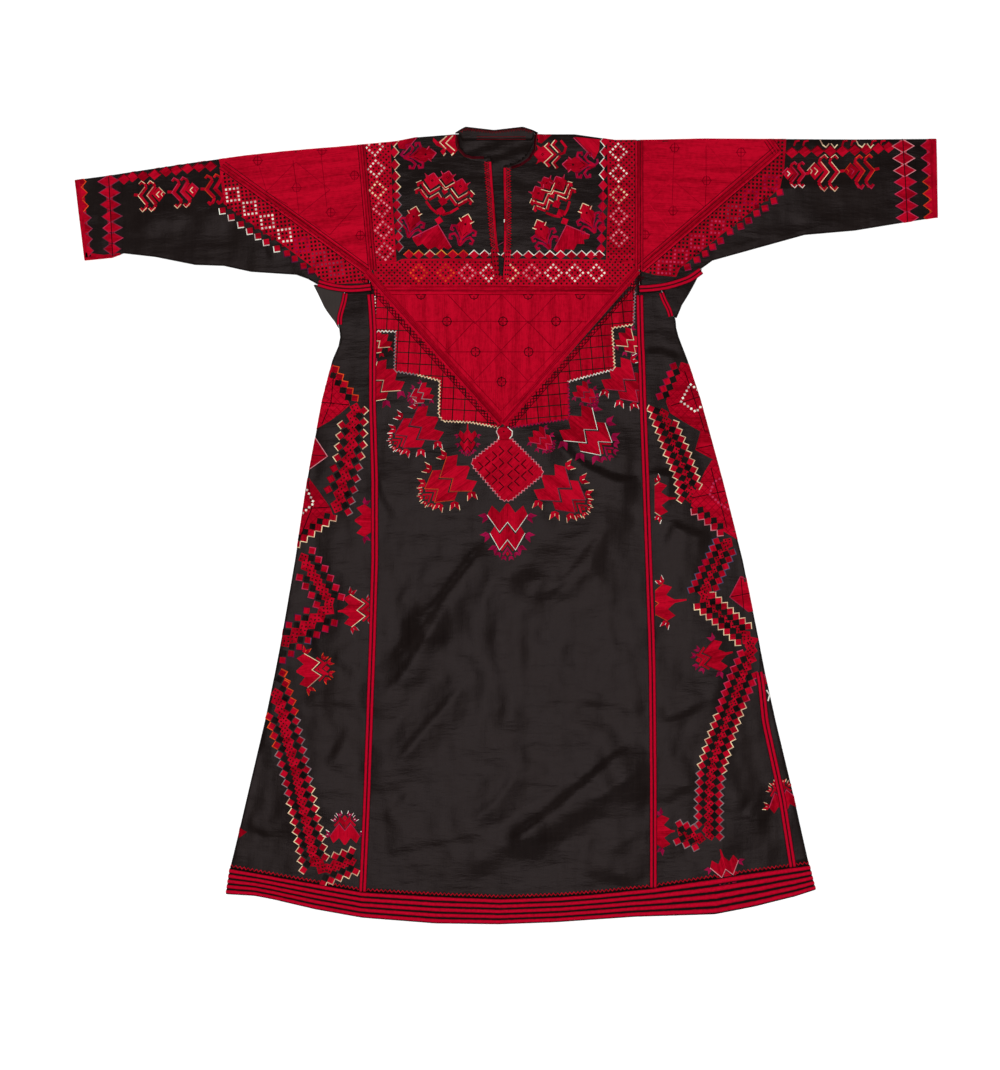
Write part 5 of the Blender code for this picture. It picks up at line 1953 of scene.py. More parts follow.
    # making the mesh
    def build(self) -> Piece:
        """Make the patches one mesh that lies on the cloth.

        Returns:
            The piece.
        """
        bm = bmesh.new()
        home = bm.faces.layers.int.new("home")
        tag = bm.verts.layers.int.new("tag")
        for index, patch in enumerate(self.patches):
            corners_of = [bm.verts.new((Chart.x(c), Chart.y(r), 0)) for c, r in patch.outline]
            face = bm.faces.new(corners_of)
            face[home] = index
        self.cut(bm, self.CUT, self.large)
        self.cut(bm, self.FOLD_CUT, self.steep)
        for face in bm.faces:
            for vert in face.verts:
                vert[tag] = face[home]
        serial = bm.verts.layers.int.new("serial")
        for index, vert in enumerate(bm.verts):
            vert[serial] = index
        flat = np.array([vert.co[:2] for vert in bm.verts])
        owner = np.array([vert[tag] for vert in bm.verts])
        count = len(bm.verts)
        bmesh.ops.extrude_face_region(bm, geom=bm.faces[:], use_keep_orig=True)
        bmesh.ops.recalc_face_normals(bm, faces=bm.faces[:])
        top = np.array([vert[serial] for vert in bm.verts])
        layer = np.array([patch.layer for patch in self.patches])[owner]
        low = self.ground.lay(flat[:, 0], flat[:, 1], np.full(count, self.FOOT))
        high = self.ground.lay(flat[:, 0], flat[:, 1], self.rise + self.FIRST + self.LAYER * layer)
        points = np.where((np.arange(len(bm.verts)) >= count)[:, None], high[top], low[top])
        for vert, point in zip(bm.verts, points):
            vert.co = point
        bmesh.ops.recalc_face_normals(bm, faces=bm.faces[:])
        piece = hold(self.name, bm, self.material)
        self.colour(piece.data, flat[top], owner[top])
        piece.data.set_sharp_from_angle(angle=self.CREASE)
        log.info("%s: %d patches, %d faces", self.name, len(self.patches), len(piece.data.polygons))
        return piece

    def large(self, bm: Mesh, axis: int) -> Faces:
        """The faces that are too large to follow the cloth."""
        return [face for face in bm.faces if face.calc_perimeter() > self.CUT * self.ROUND]

    def steep(self, bm: Mesh, axis: int) -> Faces:
        """The faces that turn over a fold that runs across an axis.

        Args:
            bm: the flat patches.
            axis: 0 for x, 1 for y.

        Returns:
            The faces.
        """
        bm.verts.index_update()
        flat = np.array([vert.co[:2] for vert in bm.verts])
        level = self.ground.lay(flat[:, 0], flat[:, 1], np.zeros(len(flat)))[:, 2]
        found = []
        for face in bm.faces:
            ends = sorted((flat[vert.index, axis], vert.index) for vert in face.verts)
            if abs(level[ends[0][1]] - level[ends[-1][1]]) > self.FOLD_DROP:
                found.append(face)
        return found

    def cut(self, bm: Mesh, size: float, wanted: Callable[[Mesh, int], Faces]) -> None:
        """Cut faces on a square grid.

        Args:
            bm: the flat patches.
            size: side of the grid's squares.
            wanted: gives the faces to cut across an axis.
        """
        for axis in (0, 1):
            faces = wanted(bm, axis)
            if not faces:
                continue
            start = min(vert.co[axis] for face in faces for vert in face.verts) + size / 2
            waiting: dict[int, Faces] = {}
            index = -1
            while faces or waiting:
                last = index
                for face in faces:
                    places = [vert.co[axis] for vert in face.verts]
                    index = max(last + 1, int((min(places) + self.TOUCH - start) // size) + 1)
                    if start + index * size < max(places) - self.TOUCH:
                        waiting.setdefault(index, []).append(face)
                if not waiting:
                    break
                index = min(waiting)
                near = waiting.pop(index)
                geom = near + list({edge for face in near for edge in face.edges})
                geom += list({vert for face in near for vert in face.verts})
                plane, normal = [0.0, 0.0, 0.0], [0.0, 0.0, 0.0]
                plane[axis], normal[axis] = start + index * size, 1.0
                made = bmesh.ops.bisect_plane(bm, geom=geom, dist=self.TOUCH, plane_co=plane,
                                              plane_no=normal)["geom"]
                faces = [item for item in made if isinstance(item, bmesh.types.BMFace)]

    def colour(self, mesh: bpy.types.Mesh, flat: Array, owner: Array) -> None:
        """Give each vertex its silk, its shade and its place along the stitches.

        Args:
            mesh: the finished mesh.
            flat: the vertices' places before they were laid on the cloth.
            owner: the patch of each vertex.
        """
        draw = np.random.default_rng(self.SEED)
        silks = np.array([linear(patch.thread.value) for patch in self.patches])[owner]
        shades = draw.uniform(0, 1, len(self.patches))[owner]
        shift = draw.uniform(0, 1, (len(self.patches), 2))[owner]
        grain = np.radians([patch.grain for patch in self.patches])[owner]
        run = flat[:, 0] * np.cos(grain) + flat[:, 1] * np.sin(grain)
        across = flat[:, 1] * np.cos(grain) - flat[:, 0] * np.sin(grain)
        mesh.attributes.new("thread", "FLOAT_COLOR", "POINT").data.foreach_set("color", silks.ravel())
        mesh.attributes.new("shade", "FLOAT", "POINT").data.foreach_set("value", shades)
        corner = np.empty(len(mesh.loops), dtype=np.int32)
        mesh.loops.foreach_get("vertex_index", corner)
        stitch = np.stack([run, across], axis=1) + shift
        mesh.uv_layers.new(name="stitch").data.foreach_set("uv", stitch[corner].ravel())


@dataclass
class Yoke:
    """The neck panel: nets at its sides and foot, rows of diamonds, flowers and fans."""

    work: Needlework
    step: float = 2.69

    def nets(self) -> None:
        """Work the open nets round three sides."""
        left = [(364, 141), (390.5, 138), (392.5, 200), (396.5, 262), (371, 262), (367, 200)]
        rings = [(377.3, 147, WHITE), (378.4, 169, WHITE), (379.9, 190.5, CREAM), (381.8, 210, ROSE),
                 (384.2, 231, ROSE), (386, 252.5, ROSE)]
        self.work.net(left, Spot(377.3, 147, 4.2), rings, step=self.step, hole=1.25)
        right = [(607, 135), (636, 137), (636, 262), (606, 262), (608, 200)]
        rings = [(621, 152 + 21.6 * index, silk) for index, silk in enumerate(
                     (WHITE, WHITE, CREAM, ROSE, ROSE))]
        self.work.net(right, Spot(621, 152, 0.4), rings, step=self.step, hole=1.25)
        foot = [(371, 262), (396.5, 262), (402, 259), (497, 258.5), (498, 272), (502.2, 277), (504.5, 272),
                (505, 258.5), (603, 260), (636, 262), (634, 286.5), (378, 286.5)]
        rings = [(421.5 + 21.6 * index, 273, silk) for index, silk in enumerate(
                     (ORANGE, ORANGE, ROSE, WHITE, CREAM, ROSE, WHITE, WHITE, WHITE))]
        self.work.net(foot, Spot(421.5, 273, 0), rings, step=self.step, hole=1.25)

    def row(self, places: Iterable[Point], half: tuple[float, float], face: Point,
            silks: Sequence[Thread]) -> None:
        """Work a row of diamonds, each edged on the side that it faces.

        Args:
            places: column and row of each diamond.
            half: half its width and height.
            face: the way that its edging faces.
            silks: silks of the edgings.
        """
        for index, (column, row) in enumerate(places):
            spot = Spot(column, row)
            self.work.diamond(spot, *half, RED, 2, 90)
            wide, tall = half[0] + 0.5, half[1] + 0.5
            if face[0]:
                corners_of = [(0, tall), (face[0] * wide, 0), (0, -tall)]
            else:
                corners_of = [(-wide, 0), (0, face[1] * tall), (wide, 0)]
            self.work.line(spot.all(corners_of), 0.8, silks[min(index, len(silks) - 1)], 3)

    def diamonds(self) -> None:
        """Work the rows of diamonds inside the nets."""
        rows = [141.5, 152.3, 164.8, 176.4, 187.1, 195.7, 204.9, 215.3, 226.0, 236.7, 247.0]
        self.row([(393.6 + (row - 142) * 0.05, row) for row in rows], (4.4, 5.0), (1, 0),
                 [CREAM] * 5 + [GREY])
        rows = [141.3, 151.9, 163.3, 174.7, 185.6, 196.5, 206.5, 217.0, 228.0, 238.6, 249.0]
        self.row([(605.0 - (row - 141) * 0.033, row) for row in rows], (4.2, 5.0), (-1, 0),
                 [WHITE] * 4 + [PINK, MAGENTA])
        columns = [408.9, 418.7, 430.0, 441.5, 452.8, 463.4, 474.1, 484.6, 494.2]
        self.row([(column, 255.0) for column in columns], (5.0, 4.4), (0, 1),
                 [ORANGE, YELLOW, CREAM, YELLOW, ORANGE, ORANGE, WHITE])
        columns = [506.4, 517.0, 528.5, 539.5, 550.0, 560.6, 571.5, 581.6, 591.0, 599.2]
        self.row([(column, 255.6) for column in columns], (5.0, 4.4), (0, 1), [WHITE])

    def both(self, points: Sequence[Point], spot: Spot, width: float, silk: Thread, layer: int) -> None:
        """Stitch a line and its mirror image."""
        for side in (-1, 1):
            self.work.line(spot.all([(side * u, v) for u, v in points]), width, silk, layer)

    def fill(self, half: Sequence[Point], spot: Spot, silk: Thread, layer: int) -> None:
        """Fill a shape that is given by its right half, from its top to its foot."""
        self.work.patch(spot.all(list(half) + [(-u, v) for u, v in reversed(half) if u > 0]), silk, layer,
                        spot.turn + 90)

    def head(self, spot: Spot, tip: Thread) -> None:
        """Work a carnation's head: a square on its corner, with barbs and a dark eye.

        Args:
            spot: its middle.
            tip: silk of the line over it.
        """
        self.fill([(0, 8.4), (4.6, 4.4), (8.8, 6.2), (6.6, 1.6), (8.4, -0.4), (0, -8.8)], spot, RED, 2)
        self.both([(0.3, 8.6), (5.0, 4.2)], spot, 0.7, tip, 3)
        self.both([(9.0, 6.6), (6.6, 3.2)], spot, 0.8, tip, 3)
        self.work.diamond(spot.spot(0, 0.4), 1.5, 1.5, DARK, 3)
        self.work.diamond(spot.spot(0, 0.4), 0.7, 0.7, RED, 4)

    def curl(self, points: Sequence[Point], spot: Spot, silk: Thread) -> None:
        """Work a pair of curled leaves."""
        self.both(points, spot, 2.5, silk, 2)
        self.both(points, spot, 1.0, RED, 3)

    def trio(self, spot: Spot, wide: float) -> None:
        """Work three carnations on one stem over a fan.

        Args:
            spot: the point of the fan.
            wide: how wide the group is, of its full width.
        """
        work = self.work
        for u, v, size in ((-14.4 * wide, 41.6, 0.97), (14.4 * wide, 41.6, 0.97), (0, 47.6, 0.84)):
            head = spot.spot(u, v, 0, size)
            self.head(head, PINK)
            self.both([(9.0, -5.4), (0, -13.6)], head, 2.8, RED, 2)
            self.both([(9.2, -3.8), (0, -11.8)], head, 0.7 if size > 0.9 else 0.55, CREAM, 3)
        for rise, width, silk, layer in ((-1.8, 3.0, RED, 2), (0.1, 0.75, CREAM, 3)):
            self.both([(23.4 * wide, 31.0 + rise), (15.6 * wide, 24.4 + rise)], spot, width, silk, layer)
            self.both([(13.9 * wide, 24.4 + rise), (6.0 * wide, 31.6 + rise), (2.0, 27.2 + rise)], spot,
                      width, silk, layer)
        work.diamond(spot.spot(0, 34), 3.2, 3.8, RED, 2)
        self.both([(3.2, 37.6), (0.2, 35.2)], spot, 0.7, CREAM, 4)
        self.both([(16.5 * wide, 20.5), (9.5 * wide, 14.2), (2.0, 10.2)], spot, 2.4, RED, 2)
        for v, half in ((23.5, 4.8), (13.8, 4.8), (4.2, 4.4)):
            work.diamond(spot.spot(0, v), half, half * 0.95, BRIGHT, 3, 90)
        self.curl([(20 * wide, 32.4), (23.5 * wide, 38.0), (27.6 * wide, 36.8), (26.8 * wide, 33.6)], spot,
                  RED)
        self.curl([(18 * wide, 26.4), (23.6 * wide, 30.6), (28.0 * wide, 29.2), (27.0 * wide, 26.0)], spot,
                  RED)
        self.both([(25.0 * wide, 40.2), (29.8 * wide, 36.8)], spot, 0.7, CREAM, 4)
        self.both([(25.6 * wide, 32.6), (30.2 * wide, 29.0)], spot, 0.7, CREAM, 4)
        fan = [(0, 0), (17.4, -19.6), (14.6, -22.6), (9.4, -21.0), (8.4, -25.6), (1.6, -22.2), (-4.2, -26.4),
               (-11.6, -21.8), (-16.0, -25.2), (-21.2, -20.6), (-22.8, -17.6)]
        work.patch(spot.all(fan), BRIGHT, 1, spot.turn + 60)
        work.line(spot.all([(-22.8, -17.6), (0, 0), (17.4, -19.6)]), 0.8, PINK, 3)

    def sprig(self, spot: Spot, tip: Thread = CREAM) -> None:
        """Work a single carnation with two pairs of curled leaves.

        Args:
            spot: its foot.
            tip: silk of the lines at its tip.
        """
        self.fill([(0, 32), (4.9, 26.8), (7.8, 25.8), (5.8, 22.8), (7.6, 19.5), (6.6, 14.5), (0, 4.5)], spot,
                  RED, 2)
        self.both([(0, 32.2), (4.9, 27.2)], spot, 0.75, tip, 3)
        self.both([(7.8, 26.2), (4.6, 23.2)], spot, 0.75, tip, 3)
        self.both([(7.0, 17.8), (6.2, 14.2), (0.4, 5.2)], spot, 0.7, MAGENTA, 3)
        self.both([(4.2, 14.6), (0.8, 9.6)], spot, 0.6, DARK, 3)
        self.work.diamond(spot.spot(0, 21.4), 1.4, 1.4, DARK, 3)
        self.work.line(spot.all([(0, 6), (0, -1)]), 2.4, RED, 2)
        self.curl([(4.6, 12.6), (8.4, 17.6), (12.2, 16.8), (12.4, 13.2), (9.4, 12.6)], spot, MAGENTA)
        self.curl([(0.4, -0.4), (4.2, 7.0), (8.0, 9.8), (12.0, 7.4), (11.4, 4.0), (8.6, 4.2)], spot, MAGENTA)

    def shoulder_flowers(self) -> None:
        """Work the flowers that run over the shoulders."""
        work = self.work
        self.sprig(Spot(404.5, 157.5, -82), PINK)
        work.line([(404.5, 157.5), (401.0, 154.8), (404.0, 150.6)], 2.2, MAGENTA, 2)
        work.patch([(395.8, 138), (416.6, 137), (406.8, 149.5), (399.0, 148.4)], RED, 1, 45)
        work.line([(417.2, 137.2), (403.6, 153.8)], 0.8, PINK, 3)
        work.patch([(447, 136), (456.5, 134.5), (457.4, 150.5), (452.6, 156.0), (449.8, 152.4),
                    (446.0, 149.4), (443.6, 155.8), (440.4, 151.4), (443.2, 148.4), (436.6, 145.6),
                    (432.8, 141.0), (433.4, 137.8), (438.0, 142.0)], RED, 2, 0)
        work.line([(446.8, 136.1), (439.8, 142.4), (446.0, 148.8)], 1.0, CREAM, 3)
        work.line([(452.9, 135.8), (445.9, 143.0), (455.0, 150.9)], 1.0, CREAM, 3)
        work.line([(443.5, 156), (445.9, 153)], 1.1, CREAM, 3)
        work.line([(451.4, 155.5), (453.8, 153)], 1.1, CREAM, 3)
        self.sprig(Spot(594.4, 165.5, 88), PINK)
        work.line([(594.4, 165.5), (598.0, 162.4), (597.2, 159.0)], 2.2, MAGENTA, 2)
        work.patch([(574.5, 137), (600.0, 139.5), (599.0, 150.5), (594.8, 158.8)], RED, 1, 135)
        work.line([(573.6, 137.7), (594.3, 159.2)], 0.8, PINK, 3)
        self.head(Spot(543.0, 154.5, 90, 1.05), RED)
        for path, band in (([(547.7, 143.1), (544.4, 146.4), (552.9, 154.5), (544.1, 162.6), (547.7, 166.6)],
                            1.9),
                           ([(554.7, 140.2), (551.0, 144.9), (558.2, 152.6)], 1.6),
                           ([(558.2, 156.0), (551.8, 163.0), (555.8, 168.4)], 1.6)):
            work.line([(column + band, row) for column, row in path], 3.0, RED, 2)
            work.line(path, 0.8, CREAM, 3)
        work.line([(560.8, 140.5), (566.0, 147.1), (564.2, 152.8), (560.0, 154.4)], 2.4, RED, 2)
        work.patch([(537, 133), (545, 134.5), (552, 134.6), (546, 139.5), (541.5, 143.5), (537.5, 142)], RED,
                   1, 90)

    def build(self) -> None:
        """Work the whole yoke."""
        self.nets()
        self.diamonds()
        self.trio(Spot(438.2, 224.8, -11.3), 1.0)
        self.trio(Spot(566.4, 225.2, 25.4, 0.97), 0.82)
        for place in (Spot(408.6, 237.0, -14, 0.98), Spot(459.8, 245.0, -15, 1.0),
                      Spot(549.4, 248.5, 23.3, 0.98), Spot(594.6, 232.5, 22.4, 0.98)):
            self.sprig(place)
        self.shoulder_flowers()


@dataclass
class Placket:
    """The couched cords, crossed stitches and fine lines on the neck's bindings."""

    work: Needlework

    def edge(self, path: list[Point], side: int) -> None:
        """Couch a cord down one edge of the slit, with crossed stitches beside it.

        Args:
            path: the cord, from the neck down.
            side: 1 if the crossed stitches lie to the wearer's left of it, -1 to the right.
        """
        self.work.line(path, 2.2, RED, 4)
        for away, way, layer in ((1.5, side, 3), (5.5, -side, 2)):
            self.work.teeth([(column + side * away, row) for column, row in path], 4.8, 4.4, None, RED, 0.62,
                            layer, way)

    def build(self) -> None:
        """Work both edges and the fine lines round the neck."""
        work = self.work
        self.edge([(490.0, 162), (491.4, 184), (492.8, 200), (495.0, 231), (496.6, 246), (498.0, 252)], -1)
        self.edge([(504.7, 168), (504.9, 184), (505.3, 200), (505.4, 231), (505.1, 247), (504.6, 252.6)], 1)
        work.patch([(491.0, 250), (497.4, 250), (499.6, 277), (494.4, 279)], RED, 1, 90)
        work.patch([(505.2, 250), (511.2, 250), (508.0, 279), (503.0, 277)], RED, 1, 90)
        for index in range(6):
            for column in (493.6, 496.4, 506.6, 509.0):
                lean = (0.12 if column < 500 else -0.06) * index * 4.4
                work.diamond(Spot(column + lean, 252.5 + index * 4.4), 1.1, 1.3, GROUND, 2)
        work.line([(456.6, 135.2), (458.7, 149.0), (465.0, 155.6), (471.8, 157.6), (483.9, 157.5)], 2.2, DARK,
                  1)
        work.line([(455.8, 135.2), (457.9, 149.5), (464.5, 156.6), (471.6, 158.7), (483.9, 158.6)], 0.7, WINE,
                  2)
        work.line([(536.0, 134.2), (534.5, 150.0), (529.0, 158.8), (521.0, 164.3), (511.0, 167.8)], 2.2, DARK,
                  1)
        work.line([(536.9, 134.2), (535.4, 150.5), (529.8, 159.7), (521.6, 165.3), (511.4, 168.9)], 0.7, WINE,
                  2)
        work.line([(497.0, 246.2), (503.6, 242.0)], 0.6, MAUVE, 3)
        work.line([(504.3, 219.4), (504.2, 222.6)], 0.9, WHITE, 5)


@dataclass
class CollarWork:
    """The stitches along the rolled back neck edge."""

    work: Needlework

    def build(self) -> None:
        """Work the zigzag at the top of the roll and the two lines at its foot."""
        top = [(459.8, 130.6), (465.3, 127.6), (494.1, 130.9), (523.0, 127.6), (532.6, 130.8)]
        self.work.teeth(top, 2.7, 2.4, None, WINE, 0.7, 2, -1)
        for row in (136.4, 139.0):
            self.work.line([(476.7, row), (525.7, row)], 0.7, WINE, 2)


@dataclass
class Chest:
    """The pointed chest panel with its bands, and the stepped blocks beside it."""

    work: Needlework
    apex: Point = (502.6, 424.0)
    left_top: Point = (367.0, 272.0)
    right_top: Point = (637.5, 270.0)
    band: float = 8.0

    def field(self) -> None:
        """Work the pointed field, its ruled lines and its round marks."""
        work = self.work
        work.patch([(376, 286.2), (628, 286.2), (620, 295), (386, 295)], RED, 1, 0)
        work.line([(378, 288.4), (627, 288.4)], 1.0, BRIGHT, 2)
        work.line([(383, 293.2), (622, 293.2)], 1.2, BRIGHT, 2)
        work.line([(380, 290.8), (625, 290.8)], 0.7, DEEP, 2)
        outline = [(387, 294.8), (618, 294.8), (502.6, 421)]
        work.patch(outline, RED, 1, 90)
        for row, reach in ((321.5, 25.0), (352.0, 51.5), (382.0, 79.0)):
            work.line([(390 + reach, row), (613 - reach, row)], 0.6, DEEP, 2)
        for row, columns in ((294.8, (421, 474, 528, 580)), (321.5, (447, 503, 556)), (352, (475.5, 528.6)),
                             (382, (501.6,))):
            for column in columns:
                self.mark(Spot(column, row), row < 300)
        ruled = [(392, 290), (613, 290)]
        for row, first, count in ((294.8, 394, 8), (321.5, 420, 6), (352, 447, 4), (382, 474, 2)):
            for index in range(count):
                column = first + index * 27.0
                step = 27.0 if index % 2 == 0 else -27.0
                if row + 29 < 415:
                    low = (column + (0 if step > 0 else 27.0), row)
                    high = (low[0] + step, row + 29)
                    if inside(ruled + [(502.6, 414)], *high) and inside(ruled + [(502.6, 416)], *low):
                        work.line([low, high], 0.55, DEEP, 2)

    def mark(self, spot: Spot, half: bool) -> None:
        """Work a round mark, or its lower half.

        Args:
            spot: its middle.
            half: whether only the lower half is worked.
        """
        start, end = (180, 360) if half else (0, 360)
        ring = [(4.5 * cos(radians(angle)), 4.5 * sin(radians(angle))) for angle in range(start, end + 1, 45)]
        self.work.line(spot.all(ring), 0.8, DARK, 3)
        for angle in range(start, end + 1, 90):
            c, s = cos(radians(angle)), sin(radians(angle))
            self.work.line(spot.all([(1.2 * c, 1.2 * s), (5.4 * c, 5.4 * s)]), 0.7, DARK, 3)

    def bands(self) -> None:
        """Work the twin satin bands down to the point, and the crossed line outside them."""
        for top, way in ((self.left_top, 1), (self.right_top, -1)):
            run, length = along(top, self.apex), apart(top, self.apex)
            side = -way
            inner, outer = 3.6, -4.0
            rect = [(0, side * -inner), (length, side * -inner), (length, side * -outer), (0, side * -outer)]
            self.work.patch(run.all(rect), RED, 2, run.turn)
            for across, width, silk in ((3.0, 1.3, BRIGHT), (-3.0, 1.4, BRIGHT), (0.0, 0.9, DEEP),
                                        (1.5, 0.8, RED), (-1.4, 0.8, DEEP)):
                self.work.line(run.all([(0, across), (length - 2, across)]), width, silk, 3)
            base = side * 4.2
            for index in range(int(length / 4.6)):
                u = 2 + index * 4.6
                lift = base + side * 0.4
                far = base + side * 4.6
                self.work.line(run.all([(u, lift), (u + 4.6, far)]), 0.8, DARK, 3)
                self.work.line(run.all([(u, far), (u + 4.6, lift)]), 0.8, DARK, 3)
            self.work.line(run.all([(0, base + side * 5.2), (length, base + side * 5.2)]), 0.7, DARK, 3)

    def block(self, outline: list[Point], edge: list[Point], spot: Spot, silks: list[Thread],
              side: int) -> None:
        """Work a stepped block with a black grid and a toothed edge.

        Args:
            outline: the block.
            edge: its toothed edge.
            spot: a crossing of the grid.
            silks: silk of the teeth along each part of the edge.
            side: which way the teeth point.
        """
        self.work.patch(outline, RED, 1, 90)
        self.work.ruled(outline, spot, 11.7, 10.9, 0.95, GROUND, 2)
        for start, end, silk in zip(edge, edge[1:], silks):
            self.work.teeth([start, end], 3.4, 1.7, RED, silk, 0.85, 3, side)

    def build(self) -> None:
        """Work the chest panel."""
        left_edge = [(375.6, 296), (375.2, 330.3), (396.4, 330.8), (395.4, 370.6), (417, 374), (440.6, 380.2),
                     (439.6, 415), (443.6, 420.4), (470, 421.5), (499.5, 427)]
        left = [(371, 282)] + left_edge + [(500.5, 424)]
        self.block(left, left_edge, Spot(387.2, 319, -3),
                   [WHITE, WHITE, GREY, GREY, CREAM, CREAM, CREAM, CREAM, CREAM], -1)
        right_edge = [(634.2, 291), (632.8, 323.8), (611.4, 327.4), (613.8, 368.6), (567.4, 381),
                      (568.4, 418.2), (506.5, 427.5)]
        right = [(636, 284)] + right_edge + [(504.5, 424)]
        self.block(right, right_edge, Spot(623, 312, 5), [GREY, CREAM, CREAM, WHITE, MAGENTA, MAGENTA], 1)
        self.field()
        self.bands()


def walk(path: Sequence[Point], pitch: float) -> list[Spot]:
    """Step evenly along a path.

    Args:
        path: its corners.
        pitch: about how long a step is.

    Returns:
        A spot at each step, with u along the path and v to its left.
    """
    stops = np.concatenate([[0.0], np.cumsum([apart(start, end) for start, end in zip(path, path[1:])])])
    places = np.linspace(0.0, stops[-1], max(1, round(stops[-1] / pitch)) + 1)
    columns = np.interp(places, stops, [point[0] for point in path])
    rows = np.interp(places, stops, [point[1] for point in path])
    turns = np.degrees(np.arctan2(-np.gradient(rows), np.gradient(columns)))
    return [Spot(float(c), float(r), float(turn)) for c, r, turn in zip(columns, rows, turns)]


@dataclass
class Carnations:
    """The branching flower of the skirt, worked alone, in pairs and cut short at the seams."""

    work: Needlework

    def petal(self, spot: Spot, silk: Thread, tip: Thread | None) -> None:
        """Work a swallow-tailed petal that opens along v.

        Args:
            spot: its foot.
            silk: its silk.
            tip: silk of the lines at its tips, if any.
        """
        for side in (-1, 1):
            half = [(0, 0), (0, 4.9), (side * 4.6, 8.6), (side * 3.6, 1.4)]
            self.work.patch(spot.all(half), silk, 2, spot.turn + 90)
        if tip:
            for u in (-1, 1):
                self.work.line(spot.all([(u * 4.1, 3.6), (u * 4.8, 8.8)]), 0.6, tip, 3)
            self.work.line(spot.all([(0, 2.6), (0, 5.0)]), 0.5, tip, 3)

    def flower(self, spot: Spot, edge: Thread, petal: Thread, tip: Thread | None = None, rows: int = 2,
               stem: float = 0.0) -> None:
        """Work one flower.

        Args:
            spot: the notch in its foot, with v to its tip.
            edge: silk of the line round its foot.
            petal: silk of its petals.
            tip: silk of the petals' tips, if they are worked apart.
            rows: 1 for its foot with a small crown, 2 for the whole flower.
            stem: length of its stem.
        """
        work, width = self.work, 0.54 / max(spot.scale, 0.8)
        foot = [(-20, 11), (-15.6, 2), (-7.8, 9.3), (-1.2, 0), (1.2, 0), (7.8, 9.3), (15.6, 2), (20, 11),
                (8, 28), (0, 18), (-8, 28)]
        for part in ([0, 1, 2, 10], [2, 3, 9, 10], [3, 4, 9], [4, 5, 8, 9], [5, 6, 7, 8]):
            work.patch(spot.all([foot[index] for index in part]), RED, 1, spot.turn + 90)
        work.line(spot.all([(-20.4, 11.3), (-8, 28.7), (0, 18.7), (8, 28.7), (20.4, 11.3)]), width, edge, 3)
        for side in (-1, 1):
            self.petal(spot.spot(side * 20.0, 12.0, -side * 62), petal, tip)
        if stem:
            work.patch(spot.all([(-1.9, 1), (-0.9, -stem), (0.9, -stem), (1.9, 1)]), RED, 1, spot.turn + 90)
        if rows < 2:
            work.line(spot.all([(-14, 25.5), (-7, 33.2), (0, 23.0), (7, 33.2), (14, 25.5)]), 2.0, RED, 1)
            work.line(spot.all([(-7.5, 37), (0, 28.5), (7.5, 37)]), 2.2, RED, 1)
            work.diamond(spot.spot(0, 36), 3.4, 4, RED, 1)
            for side in (-1, 1):
                for u, v, turn in ((11, 32.5, 50), (5.5, 38, 24)):
                    self.petal(spot.spot(side * u, v, -side * turn, 0.8), petal, tip)
            return
        top = [(-17.2, 29.5), (-13, 23), (-7.8, 31.0), (0, 20.8), (7.8, 31.0), (13, 23), (17.2, 29.5),
               (7.8, 46), (0, 35.5), (-7.8, 46)]
        for part in ([0, 1, 2, 9], [2, 3, 8, 9], [3, 4, 7, 8], [4, 5, 6, 7]):
            work.patch(spot.all([top[index] for index in part]), RED, 1, spot.turn + 90)
        work.line(spot.all([(-17.6, 29.6), (-8, 46.6), (0, 36.2), (8, 46.6), (17.6, 29.6)]), width, edge, 3)
        work.line(spot.all([(-6.0, 47.0), (0, 39.2), (6.0, 47.0)]), 2.0, RED, 1)
        work.line(spot.all([(-4.6, 51.4), (0, 44.6), (4.6, 51.4)]), 1.8, petal, 1)
        work.diamond(spot.spot(0, 50.2), 1.8, 2.4, RED, 1)
        for side in (-1, 1):
            for u, v, turn, size in ((18.4, 30.5, 56, 1.0), (11.5, 42.5, 36, 0.95), (8.0, 48.5, 24, 0.62),
                                     (3.2, 52.2, 8, 0.58)):
                self.petal(spot.spot(side * u, v, -side * turn, size), petal, tip)

    def lozenge(self) -> None:
        """Work the toothed diamond under the point of the chest panel."""
        work = self.work
        outline = [(500.0, 439.5), (472.5, 461.0), (473.5, 466.0), (502.5, 499.5), (510.5, 499.8),
                   (542.0, 474.5), (541.5, 469.5), (510.5, 439.0)]
        work.patch(outline, RED, 1, 45)
        for start, end in zip(outline, outline[1:]):
            work.teeth([start, end], 3.7, 1.9, RED, ROSE, 0.62, 3, -1)
        for way in (-1, 1):
            for i in range(4):
                for j in range(4 - i):
                    column, row = 505.7 + way * (2.0 + 6.9 * i), 451.0 + (5.9 + 0.7 * way) * i + 11.9 * j
                    work.line([(column + way * 4.6, row - 4.6), (column, row),
                               (column + way * 4.8, row + 4.6)], 1.0, DARK, 3)
        knob = [(499.5, 428.0), (506.0, 426.0), (511.6, 429.5), (511.8, 435.0), (509.5, 440.5),
                (499.5, 440.5), (497.2, 435.6), (496.8, 431.0)]
        work.patch(knob, RED, 1, 0)
        work.line([(497.4, 427.5), (496.4, 432.0), (498.8, 436.4), (498.4, 439.8)], 0.9, WHITE, 3)
        work.line([(507.6, 427.0), (512.4, 431.4), (512.0, 435.8), (509.6, 438.6)], 0.9, WHITE, 3)
        work.diamond(Spot(503.8, 431.6), 0.9, 0.9, DARK, 3)

